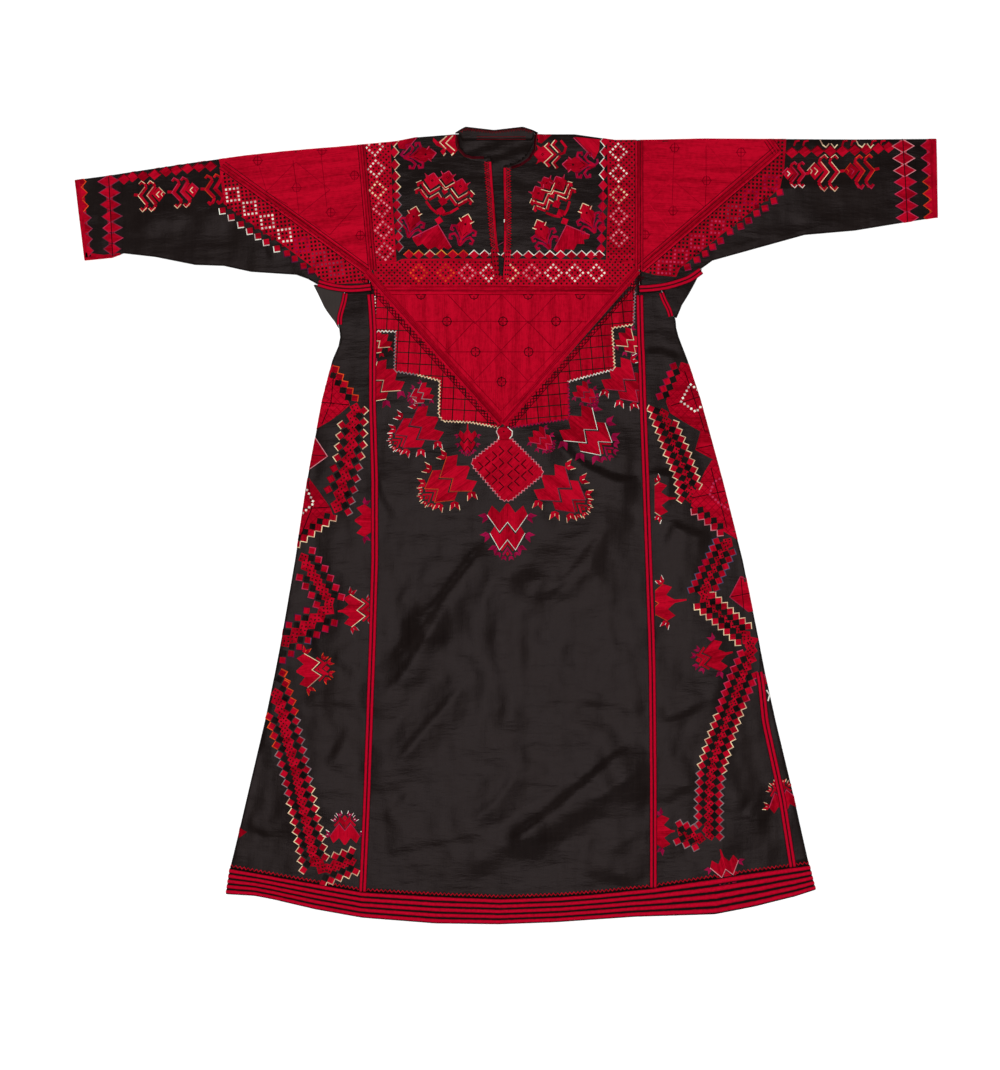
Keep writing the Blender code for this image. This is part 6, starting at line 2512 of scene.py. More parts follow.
    def build(self) -> None:
        """Work the lozenge and the flowers round it."""
        self.lozenge()
        self.flower(Spot(507.5, 503.5, 180), WHITE, MAGENTA)
        self.flower(Spot(568.6, 416.4, 229.2, 1.07), WHITE, MAGENTA)
        self.flower(Spot(542.3, 475.8, 231.2, 1.05), MAUVE, RED, CREAM)
        self.flower(Spot(437.8, 418.0, 120.7, 0.98), MAUVE, RED, WHITE)
        self.flower(Spot(469.1, 466.8, 126.1, 1.05), ORANGE, RED, CREAM)
        self.flower(Spot(467.7, 429.5, 180, 0.47), DARK, MAGENTA, stem=12)
        self.flower(Spot(533.0, 431.0, 225, 0.50), PINK, MAGENTA)
        self.flower(Spot(576.5, 386.0, 229, 0.48), MAUVE, MAGENTA)
        self.flower(Spot(431.5, 388.5, 121, 0.48), GREY, MAGENTA)
        self.work.limit = ((374.5, 290.0), (376.0, 520.0))
        self.flower(Spot(397.2, 369.5, 129, 0.92), CREAM, MAGENTA)
        self.flower(Spot(388.0, 334.5, 129, 0.55), CREAM, RED)
        self.work.limit = ((645.0, 520.0), (643.5, 290.0))
        self.flower(Spot(609.5, 367.5, 229, 0.95), PINK, RED, WHITE)
        self.flower(Spot(619.0, 333.0, 229, 0.55), CREAM, MAGENTA)
        self.work.limit = None


class Rim(NamedTuple):
    """The squares down one edge of a band: path, outer side, silks with their counts, and pitch."""

    path: list[Point]
    side: int
    silks: list[tuple[Thread, int]]
    pitch: float = 8.3


@dataclass
class Gores:
    """The chequered bands of the gores, the half diamonds on the side folds and the lone flowers."""

    work: Needlework
    flowers: Carnations
    half: float = 2.95
    wide: float = 11.3
    long: float = 9.8

    def rim(self, rim: Rim, black: bool = True) -> None:
        """Work the squares of one edge, the outline over them and the black squares inside.

        Args:
            rim: the edge.
            black: whether black squares lie inside it.
        """
        tints = [silk for silk, count in rim.silks for _ in range(count)]
        reach = self.half * 2 ** 0.5
        spots = walk(rim.path, rim.pitch)
        for index, spot in enumerate(spots):
            self.work.square(spot.spot(0, 0, 45), self.half, RED, 2)
            silk = tints[min(index, len(tints) - 1)]
            self.work.line(spot.all([(-reach - 0.2, 0), (0, rim.side * (reach + 0.4)), (reach + 0.2, 0)]),
                           0.85, silk, 3)
            if black and index < len(spots) - 1:
                self.work.square(spot.spot(rim.pitch / 2, -rim.side * 5.0, 45), 2.9, GROUND, 3)

    def chain(self, path: list[Point], pitch: float = 8.3) -> None:
        """Work the red zigzag strip down the middle of a band, with its small holes.

        Args:
            path: the strip's middle line.
            pitch: length of a zigzag.
        """
        spots = walk(path, pitch / 2)
        swing = pitch * 0.20
        bends = [spot.at(0, swing if index % 2 else -swing) for index, spot in enumerate(spots)]
        self.work.line(bends, 8.4, RED, 1)
        for start, end in zip(bends, bends[1:]):
            leg, length = along(start, end), apart(start, end)
            for share in (0.25, 0.75):
                for away in (-1.9, 1.9):
                    self.work.square(leg.spot(length * share, away, 45), 0.72, GROUND, 2)

    def band(self, path: list[Point], *rims: Rim) -> None:
        """Work a chequered band."""
        self.chain(path, rims[0].pitch)
        for rim in rims:
            self.rim(rim)

    def folded(self, outline: list[Point], rims: Iterable[Rim], lines: Iterable[list[Point]],
               dots: list[Point], silk: Thread) -> None:
        """Work a half diamond that runs over the side fold.

        Args:
            outline: its red ground.
            rims: squares along its edges.
            lines: the dark lines that quarter it.
            dots: path of the bright dots round its middle.
            silk: their silk.
        """
        self.work.patch(outline, RED, 1, 0)
        self.work.ruled(outline, Spot(outline[0][0], outline[0][1], 45), 5.6, 5.6, 0.45, DEEP, 2)
        for rim in rims:
            self.rim(rim)
        for line in lines:
            self.work.line(line, 0.9, DARK, 3)
        for spot in walk(dots, 4.0):
            self.work.square(spot.spot(0, 0, 45), 1.05, silk, 4)

    def right_side(self) -> None:
        """Work the gore to the wearer's right."""
        wide, long = self.wide, self.long
        self.folded([(333, 364), (340, 383), (347, 398), (350, 405), (341, 413), (330, 421), (316, 429),
                     (309, 431), (316, 404), (325, 378)],
                    [Rim([(335.3, 369.4), (344.5, 384.4), (354.9, 398.1)], 1, [(ORANGE, 5)])],
                    [[(349, 405), (330, 403), (314, 402)], [(334, 372), (331, 403), (322, 424)]],
                    [(326, 386), (337, 402), (320, 416)], RED)
        self.band([(355.6, 405), (352.4, 425), (350.4, 449), (345.8, 472.6), (339.9, 497.5), (336.6, 511)],
                  Rim([(364.1, 410.6), (363.0, 444.5), (356.0, 479.8), (348.4, 511.9)], 1,
                      [(CREAM, 5), (GREY, 5)], wide),
                  Rim([(341.9, 424.9), (337.3, 458.3), (328.5, 489.6)], -1, [(CREAM, 4), (DEEP, 3)], wide))
        self.work.patch([(315, 438.7), (326.8, 456.3), (309.2, 468.7), (300, 470), (306, 436)], RED, 1, 0)
        self.work.line([(315.1, 437.5), (327.6, 456.3), (308.4, 470.0)], 0.7, ROSE, 3)
        self.work.line([(326, 456), (300, 454)], 0.8, DARK, 2)
        self.folded([(309, 478), (318, 490), (330, 507), (334, 517), (320, 527), (303, 539), (292, 542),
                     (296, 510), (302, 480)],
                    [Rim([(333.4, 517.7), (303.3, 539.3), (297, 544)], 1, [(CREAM, 6)])],
                    [[(331, 507), (296, 509)], [(308, 480), (312, 508), (300, 538)]],
                    [(307, 490), (314, 503), (303, 513)], WHITE)
        self.band([(301.8, 555.3), (314.1, 576.7), (326.3, 595.1), (331.4, 605.3), (321.2, 614.5),
                   (308, 624.7), (293.7, 636), (284, 645)],
                  Rim([(312, 550.7), (324.5, 568.8), (341.1, 597.1)], 1, [(PINK, 6)], wide),
                  Rim([(334.3, 622.4), (308.5, 639.8), (282.7, 660.2)], 1,
                      [(MAGENTA, 3), (BLUE, 1), (PURPLE, 3)], wide),
                  Rim([(299.8, 577.2), (311.8, 594.9), (317, 604.5)], -1, [(PINK, 5)], wide),
                  Rim([(306.7, 610.6), (289.3, 624.7), (280, 632)], -1, [(PURPLE, 4)], wide))
        self.band([(274.8, 690.6), (282.4, 712.1), (286.3, 739.6), (294.7, 764.1), (299.3, 787.1),
                   (306.2, 820.8), (310.8, 842.2), (315.4, 862), (326, 869.8), (339.9, 864.7), (354, 859.5)],
                  Rim([(283.2, 673), (291.9, 702.1), (298.5, 731.2), (307.2, 771), (315.4, 810.8),
                       (325.3, 856.8)], 1, [(ORANGE, 5), (GREY, 7), (CREAM, 7)], long),
                  Rim([(269.4, 716.7), (276.6, 744.2), (288.6, 791.7), (296.7, 830), (303.4, 869.8)], -1,
                      [(ORANGE, 4), (GREY, 5), (CREAM, 8)], long),
                  Rim([(335.3, 856), (352, 850.5)], 1, [(CREAM, 3)], long),
                  Rim([(323, 883.6), (334, 879), (356, 871.3)], -1, [(CREAM, 5)], long))
        self.rim(Rim([(282.5, 673), (285.5, 684)], 1, [(ORANGE, 5)], long))
        flower = self.flowers.flower
        self.work.limit = ((369.5, 887.0), (369.5, 290.0))
        flower(Spot(342.0, 611.0, -87, 0.80), CREAM, RED, GREY, 1, 5)
        self.work.limit = None
        flower(Spot(296.5, 671.5, -84, 0.84), CREAM, RED, ORANGE, 1)
        flower(Spot(345.0, 844.5, 0, 0.74), PINK, MAGENTA, WHITE, 1)
        self.work.limit = ((369.5, 887.0), (373.5, 290.0))
        flower(Spot(355.0, 520.5, -90, 0.80), RED, MAGENTA, None, 2)
        self.work.limit = None
        self.work.patch([(238.5, 827), (247, 832), (239, 838)], RED, 1, 90)

    def left_side(self) -> None:
        """Work the gore to the wearer's left."""
        self.folded([(681, 362), (676, 376), (668, 392), (666, 402), (670, 413), (684, 422), (703, 433),
                     (716, 437), (708, 404), (694, 366)],
                    [Rim([(673.8, 366.5), (667.1, 381.6), (660, 396.4)], -1, [(MAGENTA, 5)])],
                    [[(670.8, 405.8), (696.3, 397.8), (708, 394)],
                     [(684.6, 371.3), (691, 389.3), (700.6, 418), (705, 432)]],
                    [(700.6, 392), (690.2, 384.2), (681, 401.5), (696, 412), (703, 404)], WHITE)
        self.band([(661, 411), (668.2, 430.8), (674.5, 446.2), (679.9, 461.6), (686.2, 477), (691, 500.4)],
                  Rim([(650.6, 409), (659.7, 432.4), (667.8, 455.2), (676.7, 475.9), (680.9, 499.3)], -1,
                      [(CREAM, 13)]),
                  Rim([(674.9, 423.9), (684.6, 446.7), (693.7, 470.1), (697.9, 485.5)], 1, [(CREAM, 8)]))
        self.work.patch([(701.6, 428), (695.3, 449.9), (710, 458), (724, 464), (714, 430)], RED, 1, 0)
        self.work.line([(701.6, 430), (696.6, 448.6), (711, 456)], 0.7, DEEP, 3)
        self.work.line([(696, 448.6), (718, 444)], 0.8, DARK, 3)
        self.folded([(712, 460), (705, 471), (700, 482), (692.5, 496), (691, 506), (704, 515), (718, 528),
                     (738, 540), (728, 486), (720, 458)],
                    [Rim([(694.2, 511.3), (706.7, 520.8), (720.4, 532.7)], -1, [(ROSE, 5)])],
                    [[(693.1, 497.7), (724, 491.3), (734, 489)], [(711, 468), (718, 494), (727, 528)]],
                    [(719.5, 479), (714.1, 481.8), (709.6, 494), (719, 503), (728, 509)], PINK)
        self.band([(728.7, 539.3), (720.7, 554.2), (711.2, 575), (703, 594), (707.9, 603), (719.8, 613.1),
                   (731.4, 623.6), (743.3, 634.5), (751.5, 643), (749.5, 658.3), (741.8, 672.6), (737, 691.8),
                   (728.9, 714.2), (720.3, 738), (712, 761.8), (708.4, 793.3), (708.4, 825.2), (709.7, 838)],
                  Rim([(716.2, 541.1), (706.1, 561.9), (691.2, 589.9)], -1,
                      [(BLUE, 3), (MAGENTA, 2), (BLUE, 3)]),
                  Rim([(732.3, 552.4), (722.1, 573.8), (715.8, 587.9)], 1, [(BLUE, 6)]),
                  Rim([(712.6, 595.2), (735.8, 616.1), (748.3, 626.2)], 1, [(CREAM, 7)]),
                  Rim([(697.1, 606.5), (721, 626.2), (738.2, 642.3)], -1, [(CREAM, 8)]),
                  Rim([(741.2, 653.6), (728.7, 682.1), (717, 717.6), (708.2, 742.6), (700.6, 768.3),
                       (698.3, 799.4), (698.3, 824.4)], -1, [(PINK, 8), (CREAM, 7), (GREY, 8)]),
                  Rim([(755.2, 675.2), (743, 703.9), (734.7, 726.7), (723, 765.3), (718.8, 795.6),
                       (719.5, 836.5)], 1, [(PINK, 4), (CREAM, 9), (GREY, 9)]))
        self.band([(678.6, 831.2), (693.8, 837.3), (703, 840)],
                  Rim([(679.1, 823.6), (693.8, 827.4)], 1, [(GREY, 3)]),
                  Rim([(677.1, 841.1), (695.3, 847.1)], -1, [(GREY, 4)]))
        self.work.patch([(741, 576), (729.5, 597), (748, 612), (762, 610), (748, 578)], RED, 1, 0)
        self.work.line([(746, 579), (740.5, 576.5), (729.8, 597), (748.2, 611.5)], 0.8, PINK, 3)
        self.work.line([(730, 597), (756, 592)], 0.8, DARK, 3)
        self.work.line([(741, 578), (744, 611)], 0.8, DARK, 3)
        flower = self.flowers.flower
        self.work.limit = ((653.5, 290.0), (656.5, 887.0))
        flower(Spot(669.0, 498.5, 92, 0.84), CREAM, RED, WHITE, 2, 8)
        flower(Spot(675.5, 601.0, 97, 0.92), ORANGE, RED, WHITE, 2, 12)
        flower(Spot(671.5, 831.0, 92, 0.82), DEEP, MAGENTA, None, 2, 4)
        self.work.limit = None
        flower(Spot(726.5, 653.5, 103, 0.80), DEEP, MAGENTA, None, 1, 8)
        flower(Spot(722.0, 856.0, 195, 0.72), ROSE, MAGENTA, None, 1, 10)
        flower(Spot(786.0, 812.0, 15, 0.75), PINK, RED, CREAM, 1, 3)
        self.work.line([(761, 672), (764.5, 675), (762.5, 681), (765, 686)], 1.2, PINK, 3)
        self.work.line([(766.5, 690), (769.5, 695), (768, 701)], 1.2, WHITE, 3)
        self.work.line([(763.5, 676), (766, 684)], 2.4, RED, 2)

    def hem_line(self) -> None:
        """Work the zigzag just above the hem cords."""
        path = [(Chart.MIDDLE_COLUMN + line.x / Chart.SQUARE,
                 Chart.MIDDLE_ROW - line.y / Chart.SQUARE - 0.9) for line in HEM_TOP]
        path = [(max(229.5, min(811.0, column)), row) for column, row in path]
        self.work.teeth(path, 4.2, 2.3, None, RED, 0.75, 1, 1)

    def build(self) -> None:
        """Work both gores and the line over the hem."""
        self.right_side()
        self.left_side()
        self.hem_line()


@dataclass
class SleeveWork:
    """The satin-stitched shoulder, its net, the chain and buds toward the cuff, and the cuff."""

    work: Needlework

    def marks(self, places: Iterable[Point], size: float = 4.4) -> None:
        """Work small round marks in a dark silk.

        Args:
            places: column and row of each.
            size: half its width.
        """
        for column, row in places:
            spot = Spot(column, row)
            ring = [(size * cos(radians(angle)), size * sin(radians(angle))) for angle in range(0, 361, 60)]
            self.work.line(spot.all(ring), 0.75, DEEP, 2)
            self.work.line(spot.all([(0, -size - 1), (0, size + 1)]), 0.7, DEEP, 2)
            self.work.line(spot.all([(-size - 1, 0), (size + 1, 0)]), 0.7, DEEP, 2)

    def strip(self, start: Point, end: Point, width: float) -> None:
        """Work a satin strip with cords along it.

        Args:
            start: one end.
            end: its other end.
            width: its width.
        """
        run, length = along(start, end), apart(start, end)
        self.work.patch(run.all([(0, -width / 2), (length, -width / 2), (length, width / 2), (0, width / 2)]),
                        RED, 2, run.turn)
        for share, thick, silk in ((0.42, 0.9, BRIGHT), (-0.42, 0.9, BRIGHT), (0.18, 0.6, DARK),
                                   (-0.18, 0.6, DEEP), (0.56, 0.6, DARK), (-0.56, 0.6, DARK)):
            self.work.line(run.all([(0, share * width), (length, share * width)]), thick, silk, 3)

    def edge_squares(self, places: Iterable[Point], silk: Thread, turn: float, flip: bool) -> None:
        """Work the small squares along the foot of the net, each with a bright corner.

        Args:
            places: column and row of each.
            silk: silk of the corners.
            turn: the way that they are turned, in degrees.
            flip: whether they are mirrored.
        """
        for column, row in places:
            spot = Spot(column, row, turn, 1.0, flip)
            self.work.square(spot, 2.8, RED, 2)
            self.work.line(spot.all([(-3.4, 2.6), (-3.4, -3.4), (2.6, -3.4)]), 0.9, silk, 3)
            self.work.square(spot.spot(7.2, 3.0), 2.2, DEEP, 1)

    def bud(self, spot: Spot, edge: Thread, tip: Thread, head: bool = True) -> None:
        """Work a bud on its side with two pairs of curled leaves.

        Args:
            spot: its middle, with u to the cuff and v up.
            edge: silk of its edges.
            tip: silk of its tips.
            head: whether it has its bud, or leaves only.
        """
        work = self.work
        if head:
            work.patch(spot.all([(-9.0, 0.5), (-1.5, 8.6), (7.0, 0.5), (-1.5, -9.0)]), RED, 2, 30)
            work.line(spot.all([(-9.0, 0.5), (-1.5, 8.6)]), 0.7, edge, 3)
            work.line(spot.all([(-2.0, 3.4), (1.6, 0.0), (-1.4, -3.8)]), 0.8, tip, 3)
            work.line(spot.all([(-6.0, 2.5), (-4.0, 0.0), (-5.6, -2.5)]), 0.7, edge, 3)
        for shift in (0.0, 10.5):
            thick = 4.4 if head and not shift else 3.6
            work.line(spot.all([(3.0 + shift, 9.5), (11.0 + shift, -0.8), (2.5 + shift, -12.0)]), thick, RED,
                      1)
            work.line(spot.all([(2.5 + shift, -12.0), (5.2 + shift, -17.4), (8.6 + shift, -18.4),
                                (10.6 + shift, -15.6)]), 2.8, RED, 1)
            work.line(spot.all([(3.0 + shift, 9.5), (4.6 + shift, 13.0), (8.4 + shift, 15.4),
                                (11.4 + shift, 12.6)]), 2.4, RED, 1)
            if head or shift:
                work.line(spot.all([(4.8 + shift, 9.4), (13.2 + shift, -0.9), (4.8 + shift, -11.6)]), 0.6,
                          edge, 3)
            work.line(spot.all([(3.2 + shift, -15.5), (8.2 + shift, -20.4), (11.6 + shift, -16.4)]), 0.65,
                      tip, 3)
            work.line(spot.all([(4.4 + shift, 13.4), (8.8 + shift, 16.8), (12.0 + shift, 13.2)]), 0.55, edge,
                      3)
        work.line(spot.all([(20.0, -0.8), (28.5, 0.6)]), 2.8, RED, 1)

    def chain(self, places: Iterable[Point], half: float = 5.7) -> None:
        """Work a chain of diamonds under the shoulder line.

        Args:
            places: column and row of each.
            half: half a diamond's height.
        """
        for column, row in places:
            self.work.diamond(Spot(column, row), half + 0.9, half, RED, 1, 30)
            self.work.line([(column - half, row), (column, row - half + 0.4), (column + half, row)], 0.6,
                           DARK, 2)

    def points(self, tips: Sequence[Point], base: Callable[[float], float], silks: Sequence[Thread],
               half: float = 5.9) -> None:
        """Work a row of triangles down the cuff.

        Args:
            tips: the triangles' tips.
            base: column of their shared base line at a row.
            silks: silk of the line over each triangle.
            half: half the width of a triangle's foot.
        """
        way = 1 if tips[0][0] > base(tips[0][1]) else -1
        foot = [(base(row), row) for row in (tips[0][1] - half, tips[-1][1] + half)]
        self.work.patch(foot + [(column + way * 3.2, row) for column, row in reversed(foot)], RED, 1, 90)
        for (column, row), silk in zip(tips, silks):
            low, high = (base(row - half), row - half), (base(row + half), row + half)
            self.work.patch([low, (column, row), high], RED, 2, 0)
            self.work.line([(low[0] + way * 0.6, low[1]), (column + way * 0.4, row),
                            (high[0] + way * 0.6, high[1])], 0.75, silk, 3)

    def right(self) -> None:
        """Work the sleeve to the wearer's right."""
        work = self.work
        work.patch([(220.5, 166.5), (216, 148), (300, 134), (366, 124), (372, 276)], RED, 1, 7)
        self.marks([(257.8, 160.7), (296.7, 187.8), (331.0, 212.6), (322.0, 150.5), (354.6, 175.4),
                    (360.5, 235.6)])
        for line in ([(259, 166), (266.7, 192)], [(293, 160), (296, 183)], [(297, 193), (299, 214)],
                     [(321, 154), (327, 207)], [(296, 162), (266, 192), (288, 205)],
                     [(296, 162), (330, 190), (300, 214)], [(357, 205), (330, 235), (312, 222)]):
            work.line(line, 0.5, DEEP, 2)
        net = [(219.5, 167), (227, 171), (290, 215), (366, 270), (368, 283), (330, 284), (318, 277),
               (311, 266), (283, 245), (265, 233), (243, 218), (224, 204)]
        rings = [(230.6, 196, WHITE), (249.4, 208.8, WHITE), (267.6, 222.1, WHITE), (285.8, 234.2, WHITE),
                 (303, 245.5, MAGENTA), (320.5, 257, MAUVE), (337, 268.5, MAUVE)]
        work.net(net, Spot(230.6, 193.2, 52), rings, step=2.76, hole=1.55, dot=1.0)
        self.strip((222.5, 165.5), (367.5, 270.5), 8.0)
        self.strip((361.3, 141), (372.5, 270), 7.0)
        self.edge_squares([(223, 210.8), (231.9, 217.3), (241.3, 224.4), (250.1, 230.9), (258.4, 236.2),
                           (266.7, 242.1), (277.3, 248.6)], WHITE, 8, False)
        self.edge_squares([(287.3, 253.3), (295, 258.6), (303.8, 265.7), (311.5, 270.4)], PURPLE, 8, False)
        self.chain([(124, 179), (132.4, 176.7), (143.1, 175.9), (154.6, 174.4), (166.1, 171.3), (176, 169.8),
                    (187.5, 168.3), (199, 166.7), (210.5, 166)])
        for column, row in ((137, 169), (160, 166), (181, 163), (205, 160)):
            work.line([(column - 4, row + 2), (column, row - 1), (column + 3, row - 3)], 1.4, RED, 2)
        self.bud(Spot(158.0, 194.5, 2, 0.84, True), CREAM, CREAM)
        self.bud(Spot(191.5, 190.0, 6, 0.84, True), PINK, CREAM)
        self.bud(Spot(224.5, 187.0, 6, 0.84, True), ORANGE, RED, False)
        tips = [(85.8, 181.7), (87, 192.6), (88.1, 205.8), (91, 217.8), (92.1, 228.7), (92.1, 239.1),
                (93.3, 250.6)]
        self.work.patch([(74.4, 178), (79.5, 178), (88.5, 262), (84.7, 262)], RED, 1, 90)
        self.points(tips, lambda row: 79.5 + (row - 178) * 0.107, [ORANGE] * 3 + [MAUVE] * 4)
        seam = [(108.8, 177), (112.8, 256)]
        left = [(98.5, 181.7), (99.6, 192.6), (100.8, 204.6), (102.5, 216.7), (103.6, 228.2), (103.1, 237.9),
                (104.2, 249)]
        right = [(118.6, 180.5), (119.7, 192.6), (120.3, 204.6), (122, 216.1), (122, 227.6), (122.6, 237.9),
                 (120.5, 249)]
        self.points(left, lambda row: 108.6 + (row - 177) * 0.05,
                    [PINK, MAUVE, MAUVE, MAUVE, PINK, MAUVE, MAUVE])
        self.points(right, lambda row: 108.6 + (row - 177) * 0.05, [MAUVE] * 5 + [PINK, MAUVE])
        work.line(seam, 0.9, DARK, 4)
        work.patch([(85.5, 252.5), (104, 255.0), (120, 253.0), (122, 259), (100, 264), (85.0, 263)], RED, 1,
                   0)

    def left(self) -> None:
        """Work the sleeve to the wearer's left."""
        work = self.work
        work.patch([(640, 132), (784, 130), (784, 139), (640, 270)], RED, 1, -3)
        self.marks([(674.7, 147.9), (741, 152.4), (706.5, 180.8), (673, 211), (645, 235)])
        for line in ([(674, 153), (672, 205)], [(706, 186), (705, 207)], [(741, 158), (741, 181)],
                     [(706, 146), (706, 175)]):
            work.line(line, 0.5, DEEP, 2)
        for line in ([(718.8, 141), (670.8, 179.2), (646, 202.6)], [(708, 146), (741, 184)],
                     [(674, 181), (706, 209)], [(645, 153), (672, 178)],
                     [(672, 182), (648, 203), (668, 228)]):
            work.line(line, 0.5, BRIGHT, 2)
        net = [(641, 271), (770, 160), (778, 138), (786.5, 137), (784, 170), (779.5, 189), (760, 205),
               (725, 232), (680, 268), (676, 277), (655, 275)]
        rings = [(769, 183, MAGENTA), (751, 198, MAGENTA), (733, 213, MAUVE), (715.5, 228, PINK),
                 (698, 241, PINK), (681, 255, PINK), (664, 268.5, PINK)]
        work.net(net, Spot(715.5, 225.2, 42), rings, step=2.76, hole=1.55, dot=0.95)
        self.strip((640.5, 268.5), (777.0, 151.0), 9.0)
        self.strip((777.0, 152.0), (768.0, 139.0), 8.0)
        self.strip((639.0, 141), (639.0, 270), 7.0)
        places = [(779, 192.5), (773.4, 200.9), (764.5, 208.2), (756.1, 213.2), (747.8, 220.4), (740, 226),
                  (729.4, 231.6), (719.9, 240.5), (712.1, 246.7), (704.8, 253.4), (696.4, 259.5),
                  (686.9, 266.8)]
        self.edge_squares(places, MAGENTA, 12, True)
        self.chain([(791.9, 152.5), (804.7, 151.5), (817.4, 150.9), (830.4, 150.9), (842.4, 150.9),
                    (854.8, 149.8), (866.2, 149.1), (878.2, 148.2), (888.5, 147.1)], 6.0)
        self.bud(Spot(788.5, 173.7, 0, 0.72), PINK, WHITE)
        self.bud(Spot(816.0, 171.2), CREAM, CREAM)
        self.bud(Spot(852.5, 171.0, 4, 0.94), ORANGE, PINK)
        for start in (820.0, 856.0):
            work.line([(start, 140), (start + 2.5, 145), (start + 6, 147.4), (start + 9, 143.6)], 1.0, CREAM,
                      3)
            work.line([(start + 11, 143.6), (start + 14.5, 148), (start + 17.5, 144.6)], 1.0, CREAM, 3)
        for start in (794.0, 842.0, 871.0):
            work.line([(start, 146), (start + 1.5, 141.5), (start + 5.5, 140.5)], 1.8, RED, 2)
            work.line([(start + 9, 146), (start + 10.5, 141.5), (start + 14.5, 140.5)], 1.8, RED, 2)
        rows = [146.3, 158.5, 170.8, 182.4, 194.3, 206.2, 218.0]
        seam = (lambda row: 902.8 + (row - 141) * 0.057)
        self.points([(seam(row) - 10.6, row) for row in rows], seam, [ROSE] * 3 + [PINK] * 4, 6.1)
        self.points([(seam(row) + 10.6, row - 0.4) for row in rows], seam, [ROSE] * 3 + [PINK] * 4, 6.1)
        work.line([(seam(139), 139), (seam(223), 223)], 0.9, DARK, 4)
        outer = (lambda row: 929.5 + (row - 141) * 0.045)
        self.work.patch([(929.0, 138), (936.5, 138), (938, 221), (932.5, 221)], RED, 1, 90)
        self.points([(outer(row) - 8.6, row - 0.6) for row in rows], outer, [PINK] * 3 + [ORANGE] * 4, 6.1)


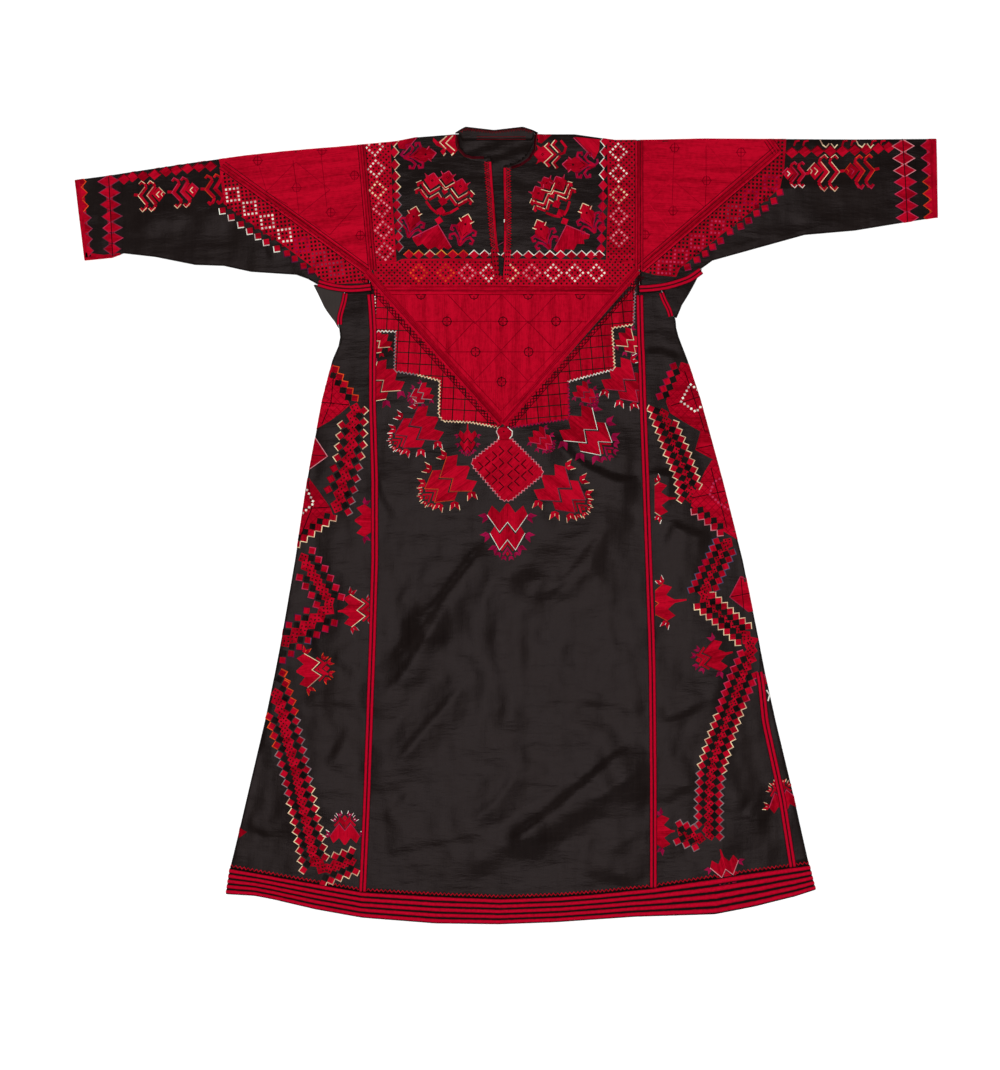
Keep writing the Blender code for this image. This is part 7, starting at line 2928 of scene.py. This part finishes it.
# --- the studio -----------------------------------------------------------------------------------
@dataclass
class Studio:
    """A pale floor, soft light and a camera straight above."""

    wardrobe: Wardrobe
    floor_size: float = 12.0
    floor_gap: float = 0.0004
    camera_height: float = 4.390
    camera_x: float = -0.0088
    camera_y: float = -0.0170
    lens: float = 85.0

    def floor(self) -> Piece:
        """Lay the floor, just under the dress.

        Returns:
            The floor.
        """
        bm = bmesh.new()
        bmesh.ops.create_grid(bm, x_segments=4, y_segments=4, size=self.floor_size / 2)
        bmesh.ops.translate(bm, verts=bm.verts[:], vec=(0, 0, -self.floor_gap))
        mesh = bpy.data.meshes.new("floor")
        bm.to_mesh(mesh)
        bm.free()
        mesh.materials.append(self.wardrobe.floor)
        floor = bpy.data.objects.new("floor", mesh)
        bpy.context.scene.collection.objects.link(floor)
        return floor

    def lamp(self, name: str, place: tuple[float, float, float], size: Point, power: float) -> None:
        """Hang a soft light that faces the middle of the dress.

        Args:
            name: its name.
            place: where it hangs.
            size: its width and height.
            power: its power in watts.
        """
        light = bpy.data.lights.new(name, "AREA")
        light.shape = "RECTANGLE"
        light.size, light.size_y = size
        light.energy = power
        lamp = bpy.data.objects.new(name, light)
        lamp.location = place
        lamp.rotation_euler = aim(place)
        bpy.context.scene.collection.objects.link(lamp)

    def light(self) -> None:
        """Light the dress softly from above."""
        self.lamp("top", (0.0, -0.45, 4.6), (2.2, 2.8), 98.0)
        self.lamp("side", (-2.2, 2.3, 2.7), (1.2, 1.2), 28.0)
        self.lamp("fill", (2.4, 0.2, 3.2), (2.4, 2.4), 10.0)
        self.lamp("low", (0.2, -2.8, 2.6), (2.0, 2.0), 10.0)
        world = bpy.data.worlds.new("studio")
        bpy.context.scene.world = world
        world.use_nodes = True
        world.node_tree.nodes["Background"].inputs["Color"].default_value = (1.0, 1.0, 1.0, 1.0)
        world.node_tree.nodes["Background"].inputs["Strength"].default_value = 0.20

    def camera(self) -> None:
        """Place the camera and set how the picture is developed."""
        data = bpy.data.cameras.new("camera")
        data.lens = self.lens
        data.sensor_width = 36.0
        camera = bpy.data.objects.new("camera", data)
        camera.location = (self.camera_x, self.camera_y, self.camera_height)
        bpy.context.scene.collection.objects.link(camera)
        bpy.context.scene.camera = camera
        bpy.context.scene.view_settings.view_transform = "Standard"
        bpy.context.scene.view_settings.look = "None"


def aim(place: tuple[float, float, float]) -> tuple[float, float, float]:
    """The turn that makes a light at a place face the middle of the floor."""
    x, y, z = place
    return atan2(hypot(x, y), z), 0.0, atan2(x, -y) if (x or y) else 0.0


def embroider(name: str, ground: Ground, silk: bpy.types.Material, draw: Callable[[Needlework], None],
              rise: float = 0.0) -> None:
    """Work one piece of embroidery.

    Args:
        name: the piece's name.
        ground: the cloth that is worked on.
        silk: its finish.
        draw: stitches the piece's motifs.
        rise: thickness of a binding between the cloth and the stitches.
    """
    work = Needlework(name, ground, silk, rise)
    draw(work)
    work.build()


def main() -> None:
    """Build the dress in order."""
    logging.basicConfig(level=logging.INFO, format="%(message)s")
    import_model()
    wardrobe = Wardrobe()
    studio = Studio(wardrobe)
    studio.camera()
    studio.light()
    floor = studio.floor()
    form = DressForm()
    ground = BodyGround(form)
    right, left = SleeveGround(form, SLEEVE_RIGHT), SleeveGround(form, SLEEVE_LEFT)
    Body(form, wardrobe, floor).build()
    Sleeve("right", right, wardrobe, floor).build()
    Sleeve("left", left, wardrobe, floor).build()
    Braids(form, ground, wardrobe).build()
    Hem(form, wardrobe, floor).build()
    Neck(form, wardrobe).build()
    silk = wardrobe.silk
    embroider("embroidery_yoke", ground, silk, lambda work: Yoke(work).build())
    embroider("embroidery_chest", ground, silk, lambda work: Chest(work).build())
    embroider("embroidery_flowers", ground, silk, lambda work: Carnations(work).build())
    embroider("stitches_placket", ground, silk, lambda work: Placket(work).build(), BINDING_RISE)
    embroider("stitches_collar", CollarGround(), silk, lambda work: CollarWork(work).build())
    embroider("embroidery_gores", ground, silk, lambda work: Gores(work, Carnations(work)).build())
    embroider("embroidery_sleeve_right", right, silk, lambda work: SleeveWork(work).right())
    embroider("embroidery_sleeve_left", left, silk, lambda work: SleeveWork(work).left())


if __name__ == "__main__":
    main()
